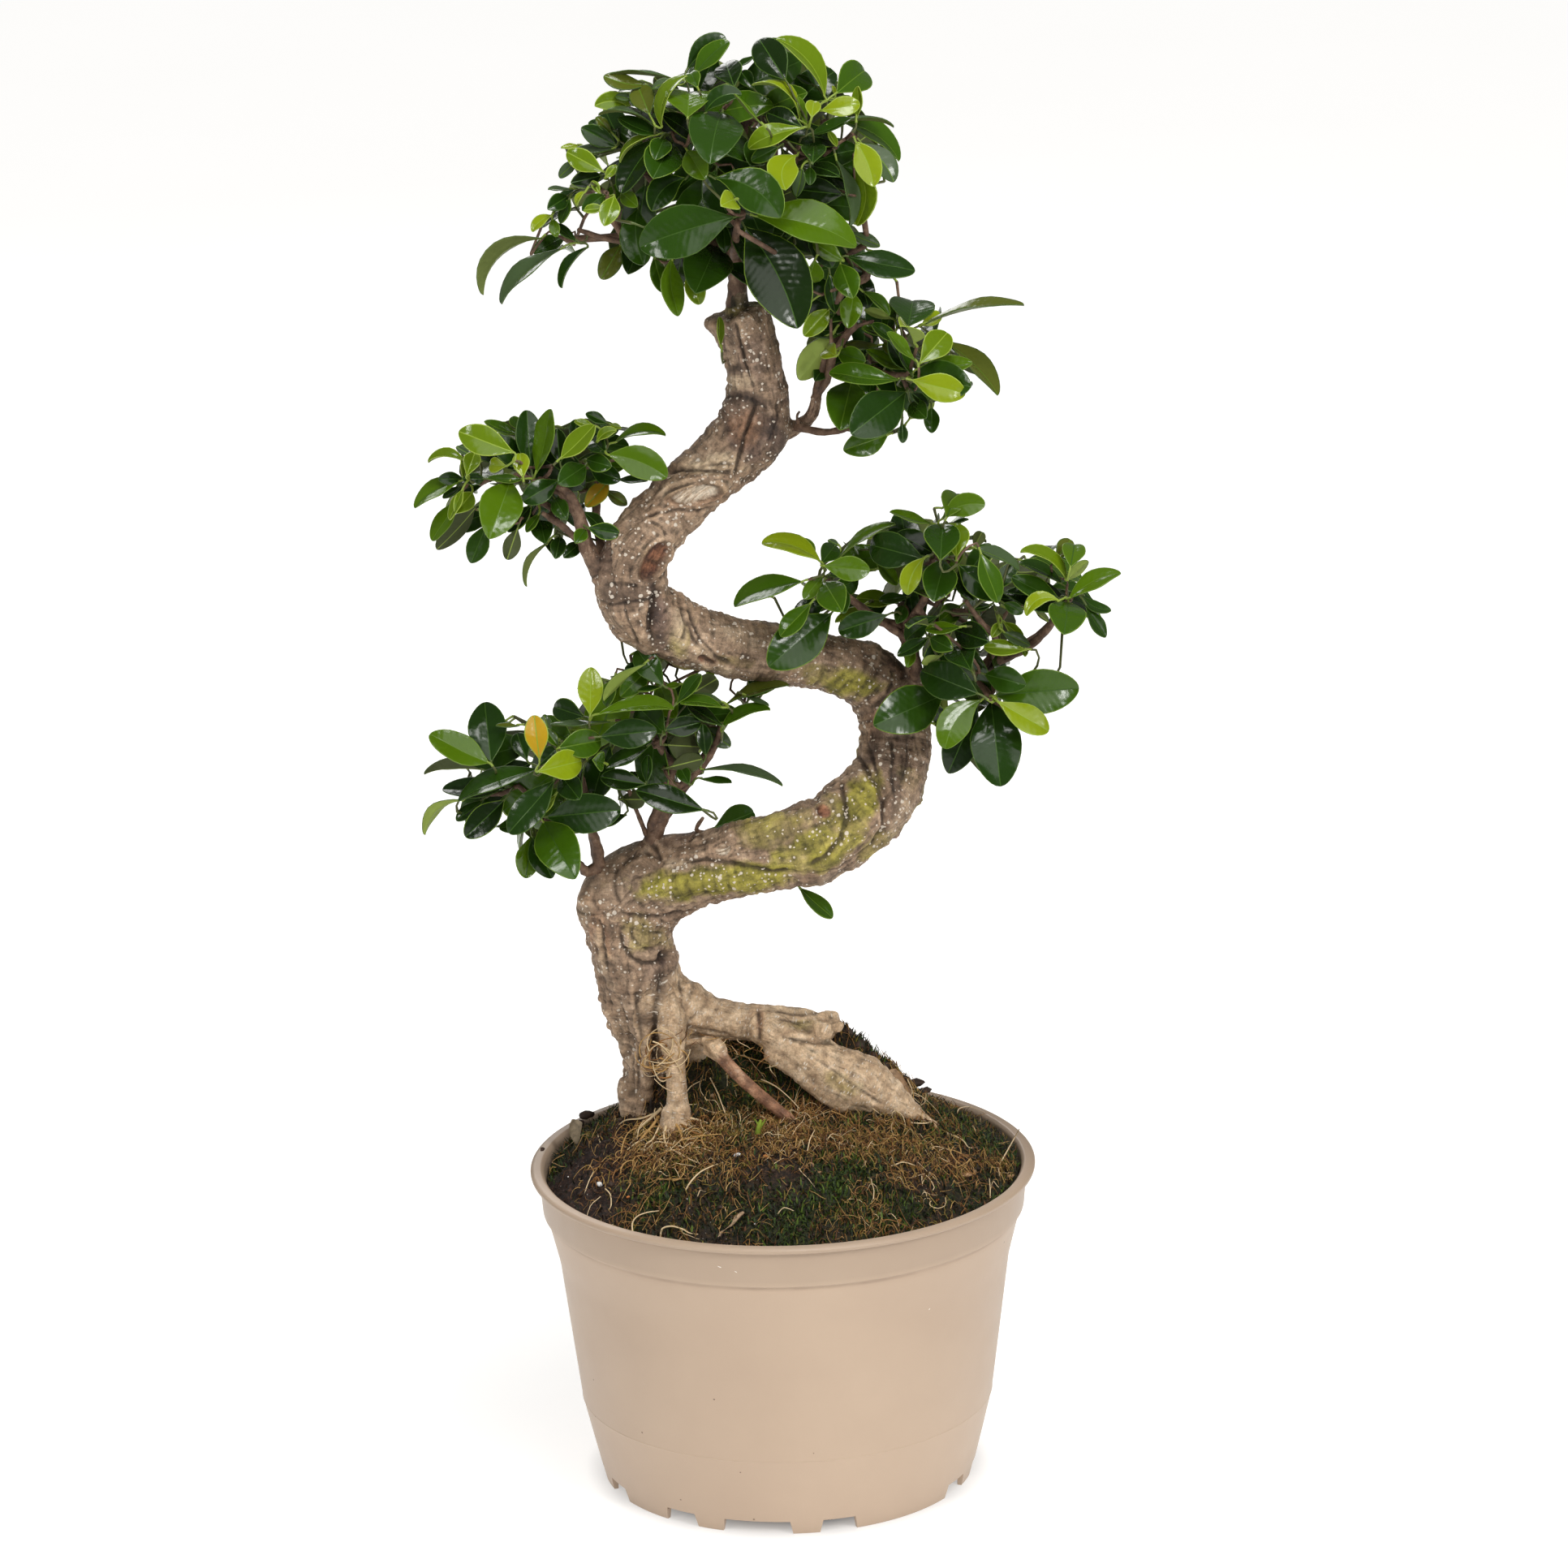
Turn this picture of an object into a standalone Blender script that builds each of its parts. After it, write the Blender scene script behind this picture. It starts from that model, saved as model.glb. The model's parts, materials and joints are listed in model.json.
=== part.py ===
"""Ficus ginseng bonsai with an S-shaped grafted trunk, standing in a round tapered pot.

Frame: metres, +Z up, the origin is the centre of the pot's flat underside.
The plant's front faces -Y and its long sweeps run along X.
The station tables below are in millimetres and are scaled by MM when they are used.
"""
import math

import bmesh
import bpy
from mathutils import Vector, noise

MM = 0.001
GAP = 0.00035            # clearance between neighbouring solids

# ---------------------------------------------------------------- pot
POT_HEIGHT = 0.1415
RIM_R = 0.110            # outer radius of the flat rim flange
RIM_INNER_R = 0.1042
RIM_DROP = 0.0026        # height of the flange's outer edge
COLLAR_TOP_R = 0.1062
COLLAR_R = 0.1049        # collar just above its lower step
COLLAR_Z = 0.1222
SHOULDER_R = 0.0982      # where the chamfer under the collar meets the body
SHOULDER_Z = 0.1005
LOW_R = 0.0862
LOW_Z = 0.0205
BASE_R = 0.0812
WALL = 0.0020
SKIRT_H = 0.0066         # height of the ring channel under the base
DISC_R = 0.0570          # flat disc in the middle of the underside
POT_STEPS = 44
WINDOW_H = 0.0062
# skirt windows of one group, in degrees from the group's centre
WINDOW_GROUP = ((-30, -20), (-10, 10), (20, 30))
GROUP_CENTRES = (-100, -3, 90, 180)      # degrees from +X, counter-clockwise
DRAIN_R = 0.0036
DRAIN_RING = 0.0690
DRAINS = 6

# ---------------------------------------------------------------- soil
SOIL_STEPS = 28
SOIL_RINGS = 8
SOIL_CROWN = 0.1640      # level of the middle of the root ball
# mossy ridge under the arching root: stations in plan and the height added there
RIDGE = ((-0.060, 0.024, 0.004), (-0.030, 0.020, 0.026), (0.012, 0.018, 0.031), (0.050, 0.014, 0.013))
RIDGE_W = 0.0170
# height of the soil against the wall, by direction (degrees from +X)
SOIL_EDGE = ((-90, 0.1345), (-30, 0.1345), (10, 0.1365), (45, 0.1350), (75, 0.1355), (110, 0.1385), (135, 0.1400), (165, 0.1360), (190, 0.1320), (230, 0.1330))

# ---------------------------------------------------------------- trunk
# one row: centre x, y, z, half width, heading of growth in the XZ plane (degrees, 90 is up)
TRUNK = (
    (-58.0, 25.0, 160.0, 11.0, 90),
    (-57.0, 24.0, 174.0, 11.5, 90),
    (-57.0, 22.5, 186.5, 12.0, 91),
    (-58.0, 20.0, 199.0, 15.5, 95),
    (-59.0, 18.0, 207.5, 17.5, 96),
    (-61.0, 15.0, 223.5, 18.5, 96),
    (-64.0, 12.0, 241.5, 19.0, 85),
    (-66.0, 11.0, 252.0, 21.5, 70),
    (-61.0, 9.0, 262.5, 21.5, 50),
    (-48.0, 5.0, 271.0, 18.5, 34),
    (-31.5, 0.0, 276.0, 16.0, 22),
    (-19.5, -3.0, 279.5, 16.0, 17),
    (-2.0, -6.0, 285.0, 16.5, 13),
    (15.5, -6.0, 288.5, 17.5, 15),
    (33.0, -3.0, 296.5, 17.5, 30),
    (48.0, 6.0, 309.5, 17.0, 49),
    (53.0, 14.0, 324.0, 16.5, 81),
    (52.0, 20.0, 337.5, 15.5, 102),
    (44.5, 22.0, 350.0, 14.5, 126),
    (32.5, 19.0, 358.0, 14.0, 150),
    (17.0, 13.0, 365.0, 12.5, 165),
    (-0.5, 7.0, 370.5, 12.5, 172),
    (-17.5, 2.0, 373.5, 13.0, 170),
    (-32.0, -4.0, 379.5, 13.5, 160),
    (-44.5, -8.0, 386.5, 14.0, 145),
    (-55.0, -12.0, 394.5, 15.0, 123),
    (-58.5, -13.0, 407.0, 15.5, 94),
    (-56.5, -12.0, 419.5, 14.5, 72),
    (-48.5, -9.0, 431.5, 14.0, 52),
    (-35.0, -4.0, 443.5, 13.5, 48),
    (-20.5, 1.0, 455.0, 13.5, 50),
    (-7.0, 6.0, 467.5, 15.5, 64),
    (-4.5, 8.0, 478.5, 14.0, 88),
    (-4.5, 8.0, 492.5, 12.5, 95),
    (-7.0, 7.0, 507.0, 12.5, 102),
    (-12.5, 6.0, 520.0, 12.5, 107),
)
TRUNK_SIDES = 12
TRUNK_SUB = 2            # rings between two stations
TRUNK_DEPTH = 0.95       # depth of the trunk as a share of its width
TRUNK_NODES = (          # first and last station of each solid
    ("trunk_base", 0, 6),
    ("trunk_lower_bend", 6, 9),
    ("trunk_lower_sweep", 9, 14),
    ("trunk_right_bend", 14, 19),
    ("trunk_middle_sweep", 19, 24),
    ("trunk_left_bend", 24, 28),
    ("trunk_upper", 28, 35),
)

# ---------------------------------------------------------------- roots and boughs
# one row: x, y, z, radius
ROOTS = {
    "root_arch": ((-57.0, 15.0, 219.0, 11.0), (-41.0, 13.5, 208.5, 11.0), (-30.0, 12.0, 204.0, 8.6), (-19.5, 10.0, 203.0, 7.5),
                  (-7.5, 9.0, 202.0, 7.5), (8.5, 12.0, 199.5, 7.5), (26.0, 18.0, 195.0, 4.5)),
    "root_thick": ((-14.0, 9.0, 203.0, 6.0), (-3.0, 4.0, 199.0, 8.0), (8.5, 0.0, 192.0, 8.5), (20.5, -2.0, 185.0, 11.5), (32.5, -3.0, 177.5, 13.0),
                   (45.0, -3.0, 170.0, 10.0), (55.5, -4.0, 164.0, 5.5), (62.5, -5.0, 159.5, 3.0)),
    "root_front": ((-50.0, 12.0, 217.0, 6.0), (-48.5, 2.0, 207.0, 7.5), (-48.5, -4.0, 195.0, 7.5), (-49.5, -6.0, 180.5, 5.5), (-49.5, -7.0, 170.0, 6.5),
                   (-50.0, -8.0, 160.5, 9.5)),
    "root_thin": ((-29.5, -5.0, 197.0, 3.2), (-18.5, -12.0, 185.5, 3.0), (-4.5, -15.0, 173.0, 2.8), (6.5, -17.0, 163.5, 2.6)),
}
BOUGHS = {
    "bough_crown": ((-12.0, 6.0, 517.0, 5.0), (-11.0, 5.0, 532.5, 4.0), (-12.0, 4.0, 550.0, 3.5), (-12.5, 4.0, 567.5, 2.8), (-8.0, 5.0, 595.0, 2.2)),
    "bough_crown_left": ((-13.0, 3.0, 550.0, 2.5), (-27.0, 0.0, 556.5, 2.4), (-51.0, -6.0, 556.5, 2.0), (-82.0, -8.0, 556.0, 1.5)),
    "bough_right_upper": ((4.0, 8.0, 465.5, 4.0), (13.5, 6.0, 470.0, 3.0), (19.5, 4.0, 476.0, 2.5), (22.5, 4.0, 489.5, 2.0), (27.0, 3.0, 504.5, 1.8), (35.0, 4.0, 511.0, 1.5)),
    "bough_right_upper_low": ((13.0, 2.0, 470.5, 2.0), (24.0, -4.0, 469.5, 1.6), (34.0, -6.0, 471.5, 1.5)),
    "bough_left_upper": ((-65.0, -13.0, 403.0, 5.0), (-71.0, -14.0, 411.0, 4.0), (-77.5, -16.0, 424.5, 3.0), (-80.5, -16.0, 438.5, 2.5), (-88.0, -14.0, 449.0, 2.0)),
    "bough_left_upper_back": ((-64.0, -6.0, 409.0, 3.0), (-69.5, -1.0, 415.5, 2.5), (-73.0, 6.0, 427.0, 2.0), (-73.0, 9.0, 439.0, 1.8), (-69.0, 8.0, 450.0, 1.5)),
    "bough_right_mid": ((58.0, 20.0, 345.0, 5.0), (61.0, 18.0, 355.5, 4.0), (59.0, 14.0, 370.0, 3.2), (56.0, 10.0, 382.0, 3.0), (64.0, 8.0, 393.0, 2.2)),
    "bough_right_mid_left": ((55.5, 8.5, 380.0, 2.4), (46.5, 2.0, 384.5, 2.0), (36.5, -4.0, 394.0, 1.7), (27.0, -8.0, 403.0, 1.5)),
    "bough_right_mid_right": ((60.0, 22.0, 347.0, 4.5), (70.0, 24.0, 352.0, 3.5), (86.5, 22.0, 355.0, 3.0), (102.5, 20.0, 363.5, 2.4), (117.0, 16.0, 374.5, 1.8), (122.0, 12.0, 384.0, 1.5)),
    "bough_left_low": ((-57.5, 4.0, 280.0, 5.0), (-54.0, 4.0, 287.0, 3.8), (-49.0, 2.0, 297.5, 3.0), (-47.0, 2.0, 308.5, 2.8), (-47.5, 0.0, 324.0, 2.2), (-50.0, 2.0, 339.0, 1.8)),
    "bough_left_low_left": ((-74.0, 5.0, 268.0, 3.4), (-76.0, 4.0, 275.5, 2.8), (-78.0, 2.0, 285.5, 2.0), (-79.5, 1.0, 297.0, 1.7), (-82.0, 2.0, 317.0, 1.5)),
    "bough_left_low_right": ((-48.5, 5.0, 297.0, 2.5), (-36.5, 10.0, 313.0, 2.0), (-28.5, 12.0, 325.0, 1.8), (-22.5, 12.0, 336.0, 1.5)),
}

# ---------------------------------------------------------------- foliage masses
# one row: centre x, y, z, half extents along x, y, z, tilt about Y (degrees), unevenness
MASSES = {
    "foliage_crown_top": (1, 6, 614, 31, 36, 24, -6, 0.16),
    "foliage_crown_top_left": (-46, -4, 605, 23, 36, 20, 20, 0.16),
    "foliage_crown_right": (37, 2, 593, 22, 38, 29, 0, 0.15),
    "foliage_crown_left": (-65, -8, 580, 22, 36, 21, 25, 0.16),
    "foliage_crown_front": (-22, -42, 582, 30, 22, 24, 0, 0.14),
    "foliage_crown_front_right": (20, -38, 568, 26, 21, 24, -10, 0.14),
    "foliage_crown_back": (-12, 47, 573, 42, 24, 33, 0, 0.15),
    "foliage_crown_left_tip": (-98, -8, 551, 23, 14, 12, 22, 0.12),
    "foliage_crown_hang_left": (-40, -12, 545, 22, 20, 18, 0, 0.14),
    "foliage_crown_hang_front": (8, -32, 540, 17, 13, 21, 8, 0.12),
    "foliage_crown_hang_right": (46, 2, 544, 20, 22, 15, -15, 0.14),
    "foliage_right_upper_top": (54, 8, 511, 28, 28, 14, 0, 0.15),
    "foliage_right_upper_tip": (92, 5, 507, 19, 20, 17, -20, 0.13),
    "foliage_right_upper_core": (58, -8, 488, 29, 27, 17, 0, 0.15),
    "foliage_right_upper_low": (46, -2, 468, 20, 20, 12, 0, 0.13),
    "foliage_left_upper_main": (-101, 0, 464, 29, 42, 22, 8, 0.16),
    "foliage_left_upper_right": (-62, -4, 460, 20, 34, 18, -12, 0.15),
    "foliage_left_upper_left": (-134, -4, 446, 17, 28, 21, 28, 0.14),
    "foliage_left_upper_low": (-108, -14, 434, 22, 24, 14, 10, 0.14),
    "foliage_right_mid_left": (11, -12, 410, 29, 26, 16, -4, 0.14),
    "foliage_right_mid_left_low": (14, -16, 385, 16, 14, 15, -30, 0.12),
    "foliage_right_mid_top": (76, -2, 423, 23, 28, 20, 0, 0.16),
    "foliage_right_mid_core": (66, -8, 396, 26, 32, 19, 0, 0.15),
    "foliage_right_mid_back": (84, 42, 389, 33, 24, 26, 0, 0.15),
    "foliage_right_mid_right": (126, 6, 397, 23, 30, 20, -8, 0.15),
    "foliage_right_mid_low": (93, -8, 368, 20, 22, 14, 0, 0.14),
    "foliage_right_mid_front": (88, -16, 341, 25, 22, 24, 0, 0.14),
    "foliage_right_mid_low_right": (121, 0, 355, 14, 18, 13, 0, 0.13),
    "foliage_left_low_top": (-57, 6, 353, 27, 36, 20, -6, 0.16),
    "foliage_left_low_right": (-20, 8, 340, 24, 26, 19, -12, 0.15),
    "foliage_left_low_core": (-84, 4, 333, 28, 44, 22, 6, 0.16),
    "foliage_left_low_left": (-132, -6, 328, 22, 32, 25, 22, 0.15),
    "foliage_left_low_front": (-93, -24, 306, 30, 26, 17, 4, 0.15),
    "foliage_left_low_drop": (-98, -16, 287, 15, 15, 12, 0, 0.12),
}
BLOB_U = 8
BLOB_V = 7


# ================================================================ helpers
def clear():
    for ob in list(bpy.data.objects):
        bpy.data.objects.remove(ob, do_unlink=True)


def material(name, rgb, rough, metallic=0.0):
    mat = bpy.data.materials.new(name)
    mat.use_nodes = True
    bsdf = mat.node_tree.nodes["Principled BSDF"]
    bsdf.inputs["Base Color"].default_value = (*rgb, 1.0)
    bsdf.inputs["Roughness"].default_value = rough
    bsdf.inputs["Metallic"].default_value = metallic
    mat.diffuse_color = (*rgb, 1.0)
    return mat


def to_object(name, bm, mat=None, smooth=True, angle=35):
    bmesh.ops.recalc_face_normals(bm, faces=bm.faces[:])
    bmesh.ops.triangulate(bm, faces=bm.faces[:], quad_method="FIXED")
    me = bpy.data.meshes.new(name)
    bm.to_mesh(me)
    bm.free()
    ob = bpy.data.objects.new(name, me)
    bpy.context.scene.collection.objects.link(ob)
    if mat:
        me.materials.append(mat)
    if smooth:
        me.shade_smooth()
        me.set_sharp_from_angle(angle=math.radians(angle))
    return ob


def loft(rings, foot_z=None):
    """Closed solid through a row of rings, each a list of points in the same order."""
    bm = bmesh.new()
    loops = []
    for k, ring in enumerate(rings):
        if foot_z is not None and k == 0:
            ring = [Vector((p.x, p.y, foot_z)) for p in ring]
        loops.append([bm.verts.new(p) for p in ring])
    n = len(loops[0])
    for a, b in zip(loops, loops[1:]):
        for i in range(n):
            j = (i + 1) % n
            bm.faces.new((a[i], a[j], b[j], b[i]))
    bm.faces.new(loops[0][::-1])
    bm.faces.new(loops[-1])
    return bm


def catmull(rows, i, t):
    """Smooth value between row i and row i + 1 of a table."""
    p0 = rows[max(i - 1, 0)]
    p1, p2 = rows[i], rows[i + 1]
    p3 = rows[min(i + 2, len(rows) - 1)]
    out = []
    for a, b, c, d in zip(p0, p1, p2, p3):
        out.append(0.5 * ((2 * b) + (c - a) * t + (2 * a - 5 * b + 4 * c - d) * t * t + (3 * b - a - 3 * c + d) * t ** 3))
    return out


# ================================================================ trunk
def trunk_point(u):
    i = min(int(u), len(TRUNK) - 2)
    return catmull(TRUNK, i, u - i)


def trunk_ring(u, grow=0.0, shift=0.0):
    """Cross-section of the trunk at station u, an uneven oval whose width follows the heading."""
    x, y, z, w, head = trunk_point(u)
    lo = trunk_point(max(u - 0.25, 0.0))
    hi = trunk_point(min(u + 0.25, len(TRUNK) - 1.0))
    along = (Vector(hi[:3]) - Vector(lo[:3])).normalized()
    h = math.radians(head)
    side = Vector((math.sin(h), 0.0, -math.cos(h)))
    deep = along.cross(side).normalized()
    normal = side.cross(deep).normalized()
    centre = Vector((x, y, z)) * MM + normal * shift
    ring = []
    for k in range(TRUNK_SIDES):
        a = 2 * math.pi * k / TRUNK_SIDES
        swell = 1.0 + 0.03 * math.sin(3 * a - 1.3 * u)
        r = w * MM * swell + grow
        ring.append(centre + side * (r * math.cos(a)) + deep * (r * TRUNK_DEPTH * math.sin(a)))
    return ring


def trunk_rings(first, last, grow=0.0):
    """Rings of one trunk solid; its two ends stop short of the neighbours' cuts by half the gap."""
    steps = (last - first) * TRUNK_SUB
    rings = []
    for k in range(steps + 1):
        u = first + k / TRUNK_SUB
        shift = 0.0
        if k == 0:
            shift = (GAP / 2 if first else 0.0) - grow
        elif k == steps:
            shift = grow - (GAP / 2 if last < len(TRUNK) - 1 else 0.0)
        rings.append(trunk_ring(u, grow, shift))
    return rings


def trunk_bmesh(first, last, grow=0.0):
    foot = TRUNK[0][2] * MM - grow if first == 0 else None
    return loft(trunk_rings(first, last, grow), foot)


# ================================================================ roots and boughs
def limb_bmesh(rows, sides, sub, grow=0.0, uneven=0.04, foot=False):
    """Tapering limb through its stations, with round sections square to its path."""
    samples = []
    for i in range(len(rows) - 1):
        for k in range(sub):
            samples.append(catmull(rows, i, k / sub))
    samples.append(list(rows[-1]))
    pts = [Vector(s[:3]) * MM for s in samples]
    tangents = []
    for i in range(len(pts)):
        a, b = pts[max(i - 1, 0)], pts[min(i + 1, len(pts) - 1)]
        tangents.append((b - a).normalized())
    side = tangents[0].orthogonal().normalized()
    rings = []
    for i, (p, t) in enumerate(zip(pts, tangents)):
        side = (side - t * side.dot(t)).normalized()
        up = t.cross(side)
        centre = p.copy()
        if i == 0:
            centre -= t * grow
        if i == len(pts) - 1:
            centre += t * grow
        ring = []
        for k in range(sides):
            a = 2 * math.pi * k / sides
            r = samples[i][3] * MM * (1 + uneven * math.sin(2 * a + 0.8 * i) + uneven * math.sin(3 * a + i)) + grow
            ring.append(centre + side * (r * math.cos(a)) + up * (r * math.sin(a)))
        rings.append(ring)
    if foot:
        level = rows[-1][2] * MM - grow
        rings[-1] = [Vector((q.x, q.y, level)) for q in rings[-1]]
    return loft(rings)


# ================================================================ foliage
def blob_bmesh(row, seed, grow=0.0):
    """Uneven closed mass: a sphere stretched to its half extents, with lumps of its own."""
    x, y, z, a, b, c, tilt, rough = row
    bm = bmesh.new()
    bmesh.ops.create_uvsphere(bm, u_segments=BLOB_U, v_segments=BLOB_V, radius=1.0)
    turn = math.radians(tilt)
    off = Vector((3.7 * seed, 1.9 * seed, 0.0))
    for v in bm.verts:
        n = v.co.normalized()
        lump = 1.0 + rough * noise.noise(n * 1.7 + off) * 1.6
        # a mass is fuller above and flatter below
        flat = 1.0 if n.z > 0 else 0.88
        p = Vector((n.x * a, n.y * b, n.z * c * flat)) * (lump * MM)
        p += n * grow
        p = Vector((p.x * math.cos(turn) + p.z * math.sin(turn), p.y, -p.x * math.sin(turn) + p.z * math.cos(turn)))
        v.co = p + Vector((x, y, z)) * MM
    return bm


# ================================================================ cutting
def bounds(ob):
    pts = [v.co for v in ob.data.vertices]
    return [(min(p[i] for p in pts), max(p[i] for p in pts)) for i in range(3)]


def near(a, b):
    return all(p[0] <= q[1] + 0.002 and q[0] <= p[1] + 0.002 for p, q in zip(bounds(a), bounds(b)))


def cut(ob, cutters, smooth_angle=35):
    """Subtract each cutter that comes near the object, then keep the largest remaining piece."""
    hit = [c for c in cutters if near(ob, c)]
    for c in hit:
        mod = ob.modifiers.new("cut", "BOOLEAN")
        mod.operation = "DIFFERENCE"
        mod.solver = "EXACT"
        mod.object = c
        c.hide_render = True
        c.display_type = "WIRE"
        dg = bpy.context.evaluated_depsgraph_get()
        me = bpy.data.meshes.new_from_object(ob.evaluated_get(dg))
        ob.modifiers.clear()
        old = ob.data
        ob.data = me
        bpy.data.meshes.remove(old)
        keep_largest(ob)
    ob.data.name = ob.name
    ob.data.shade_smooth()
    ob.data.set_sharp_from_angle(angle=math.radians(smooth_angle))
    return ob


def keep_largest(ob):
    bm = bmesh.new()
    bm.from_mesh(ob.data)
    bmesh.ops.remove_doubles(bm, verts=bm.verts[:], dist=0.00002)
    bmesh.ops.dissolve_degenerate(bm, edges=bm.edges[:], dist=0.00002)
    bm.verts.ensure_lookup_table()
    seen, islands = set(), []
    for v in bm.verts:
        if v in seen:
            continue
        stack, island = [v], []
        seen.add(v)
        while stack:
            w = stack.pop()
            island.append(w)
            for e in w.link_edges:
                o = e.other_vert(w)
                if o not in seen:
                    seen.add(o)
                    stack.append(o)
        islands.append(island)
    if len(islands) > 1:
        def size(island):
            spans = [max(v.co[i] for v in island) - min(v.co[i] for v in island) for i in range(3)]
            return spans[0] * spans[1] * spans[2]
        islands.sort(key=size, reverse=True)
        for island in islands[1:]:
            bmesh.ops.delete(bm, geom=island, context="VERTS")
    bmesh.ops.triangulate(bm, faces=bm.faces[:], quad_method="FIXED")
    bm.to_mesh(ob.data)
    bm.free()


# ================================================================ pot and soil
def revolve(profile, steps):
    bm = bmesh.new()
    verts = [bm.verts.new((r, 0.0, z)) for r, z in profile]
    edges = [bm.edges.new((a, b)) for a, b in zip(verts, verts[1:])]
    bmesh.ops.spin(bm, geom=verts + edges, cent=(0, 0, 0), axis=(0, 0, 1), angle=2 * math.pi, steps=steps, use_merge=True)
    bmesh.ops.remove_doubles(bm, verts=bm.verts[:], dist=0.00001)
    return bm


def wedge(name, a0, a1, r0, r1, z0, z1, lean):
    """Prism over an angular range, a little wider at its bottom by lean degrees on each side."""
    bm = bmesh.new()
    rings = []
    for z, extra in ((z0, lean), (z1, 0.0)):
        ring = []
        for r, a in ((r0, a0 - extra), (r1, a0 - extra), (r1, (a0 + a1) / 2), (r1, a1 + extra), (r0, a1 + extra)):
            a = math.radians(a)
            ring.append(Vector((r * math.cos(a), r * math.sin(a), z)))
        rings.append(ring)
    bm.free()
    return to_object(name, loft(rings), smooth=False)


def make_pot(mat):
    outer = (
        (RIM_INNER_R, POT_HEIGHT),
        (RIM_R - 0.0006, POT_HEIGHT),
        (RIM_R, POT_HEIGHT - 0.0007),
        (RIM_R, POT_HEIGHT - RIM_DROP),
        (COLLAR_TOP_R, POT_HEIGHT - RIM_DROP - 0.0004),
        (COLLAR_R, COLLAR_Z),
        (COLLAR_R - 0.0010, COLLAR_Z - 0.0010),
        (SHOULDER_R, SHOULDER_Z),
        (LOW_R, LOW_Z),
        (BASE_R + 0.0022, 0.0090),
        (BASE_R, 0.0),
        (BASE_R - 0.0020, 0.0),
        (BASE_R - 0.0014, SKIRT_H),
        (DISC_R + 0.0030, SKIRT_H),
        (DISC_R, 0.0),
        (0.0, 0.0),
    )
    inner = (
        (0.0, WALL),
        (DISC_R - 0.0012, WALL),
        (DISC_R + 0.0018, SKIRT_H + WALL),
        (BASE_R + 0.0004, SKIRT_H + WALL + 0.0006),
        (LOW_R - WALL, LOW_Z + 0.0010),
        (SHOULDER_R - WALL, SHOULDER_Z + 0.0004),
        (COLLAR_R - WALL - 0.0005, COLLAR_Z - 0.0002),
        (RIM_INNER_R, POT_HEIGHT),
    )
    ob = to_object("pot", revolve(outer + inner, POT_STEPS), mat, angle=25)
    cutters = []
    for c in GROUP_CENTRES:
        for a0, a1 in WINDOW_GROUP:
            cutters.append(wedge("cut_window", c + a0, c + a1, BASE_R - 0.0040, BASE_R + 0.0120, -0.002, WINDOW_H, 1.2))
    for k in range(DRAINS):
        a = 2 * math.pi * (k + 0.5) / DRAINS
        bm = bmesh.new()
        bmesh.ops.create_cone(bm, cap_ends=True, segments=8, radius1=DRAIN_R, radius2=DRAIN_R, depth=0.012)
        bmesh.ops.translate(bm, verts=bm.verts[:], vec=(DRAIN_RING * math.cos(a), DRAIN_RING * math.sin(a), SKIRT_H + 0.001))
        cutters.append(to_object("cut_drain", bm, smooth=False))
    cut(ob, cutters, 25)
    for c in cutters:
        bpy.data.objects.remove(c, do_unlink=True)
    return ob


def soil_edge(angle):
    """Level of the soil against the wall in a direction, blended between the table's rows."""
    rows = sorted(SOIL_EDGE)
    ext = [(rows[-1][0] - 360, rows[-1][1])] + list(rows) + [(rows[0][0] + 360, rows[0][1])]
    a = (math.degrees(angle) - ext[0][0]) % 360 + ext[0][0]
    for (a0, z0), (a1, z1) in zip(ext, ext[1:]):
        if a0 <= a <= a1:
            t = (a - a0) / (a1 - a0)
            t = t * t * (3 - 2 * t)
            return z0 + (z1 - z0) * t
    return rows[0][1]


def segment_distance(x, y, a, b):
    ax, ay = a
    bx, by = b
    t = ((x - ax) * (bx - ax) + (y - ay) * (by - ay)) / ((bx - ax) ** 2 + (by - ay) ** 2)
    t = max(0.0, min(1.0, t))
    return math.hypot(x - ax - t * (bx - ax), y - ay - t * (by - ay)), t


def soil_height(x, y, radius):
    """Root ball: a low dome, with a mossy ridge under the arching root and the thick root."""
    r = math.hypot(x, y)
    q = min(r / radius, 1.0)
    edge = soil_edge(math.atan2(y, x))
    h = edge + (SOIL_CROWN - edge) * (1 - q ** 2.6)
    best = None
    for a, b in zip(RIDGE, RIDGE[1:]):
        d, t = segment_distance(x, y, a[:2], b[:2])
        lift = (a[2] + (b[2] - a[2]) * t) * math.exp(-(d / RIDGE_W) ** 2)
        best = lift if best is None else max(best, lift)
    h += best * (1 - q ** 5)
    h += 0.0012 * noise.noise(Vector((x * 60, y * 60, 3.0))) * (1 - q ** 6)
    return h


def wall_inner(z):
    """Inner radius of the pot at a height."""
    rows = ((SKIRT_H + WALL + 0.0006, BASE_R + 0.0004), (LOW_Z + 0.0010, LOW_R - WALL), (SHOULDER_Z + 0.0004, SHOULDER_R - WALL),
            (COLLAR_Z - 0.0002, COLLAR_R - WALL - 0.0005), (POT_HEIGHT, RIM_INNER_R))
    for (z0, r0), (z1, r1) in zip(rows, rows[1:]):
        if z <= z1:
            t = max(0.0, (z - z0) / (z1 - z0))
            return r0 + (r1 - r0) * t
    return rows[-1][1]


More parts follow.
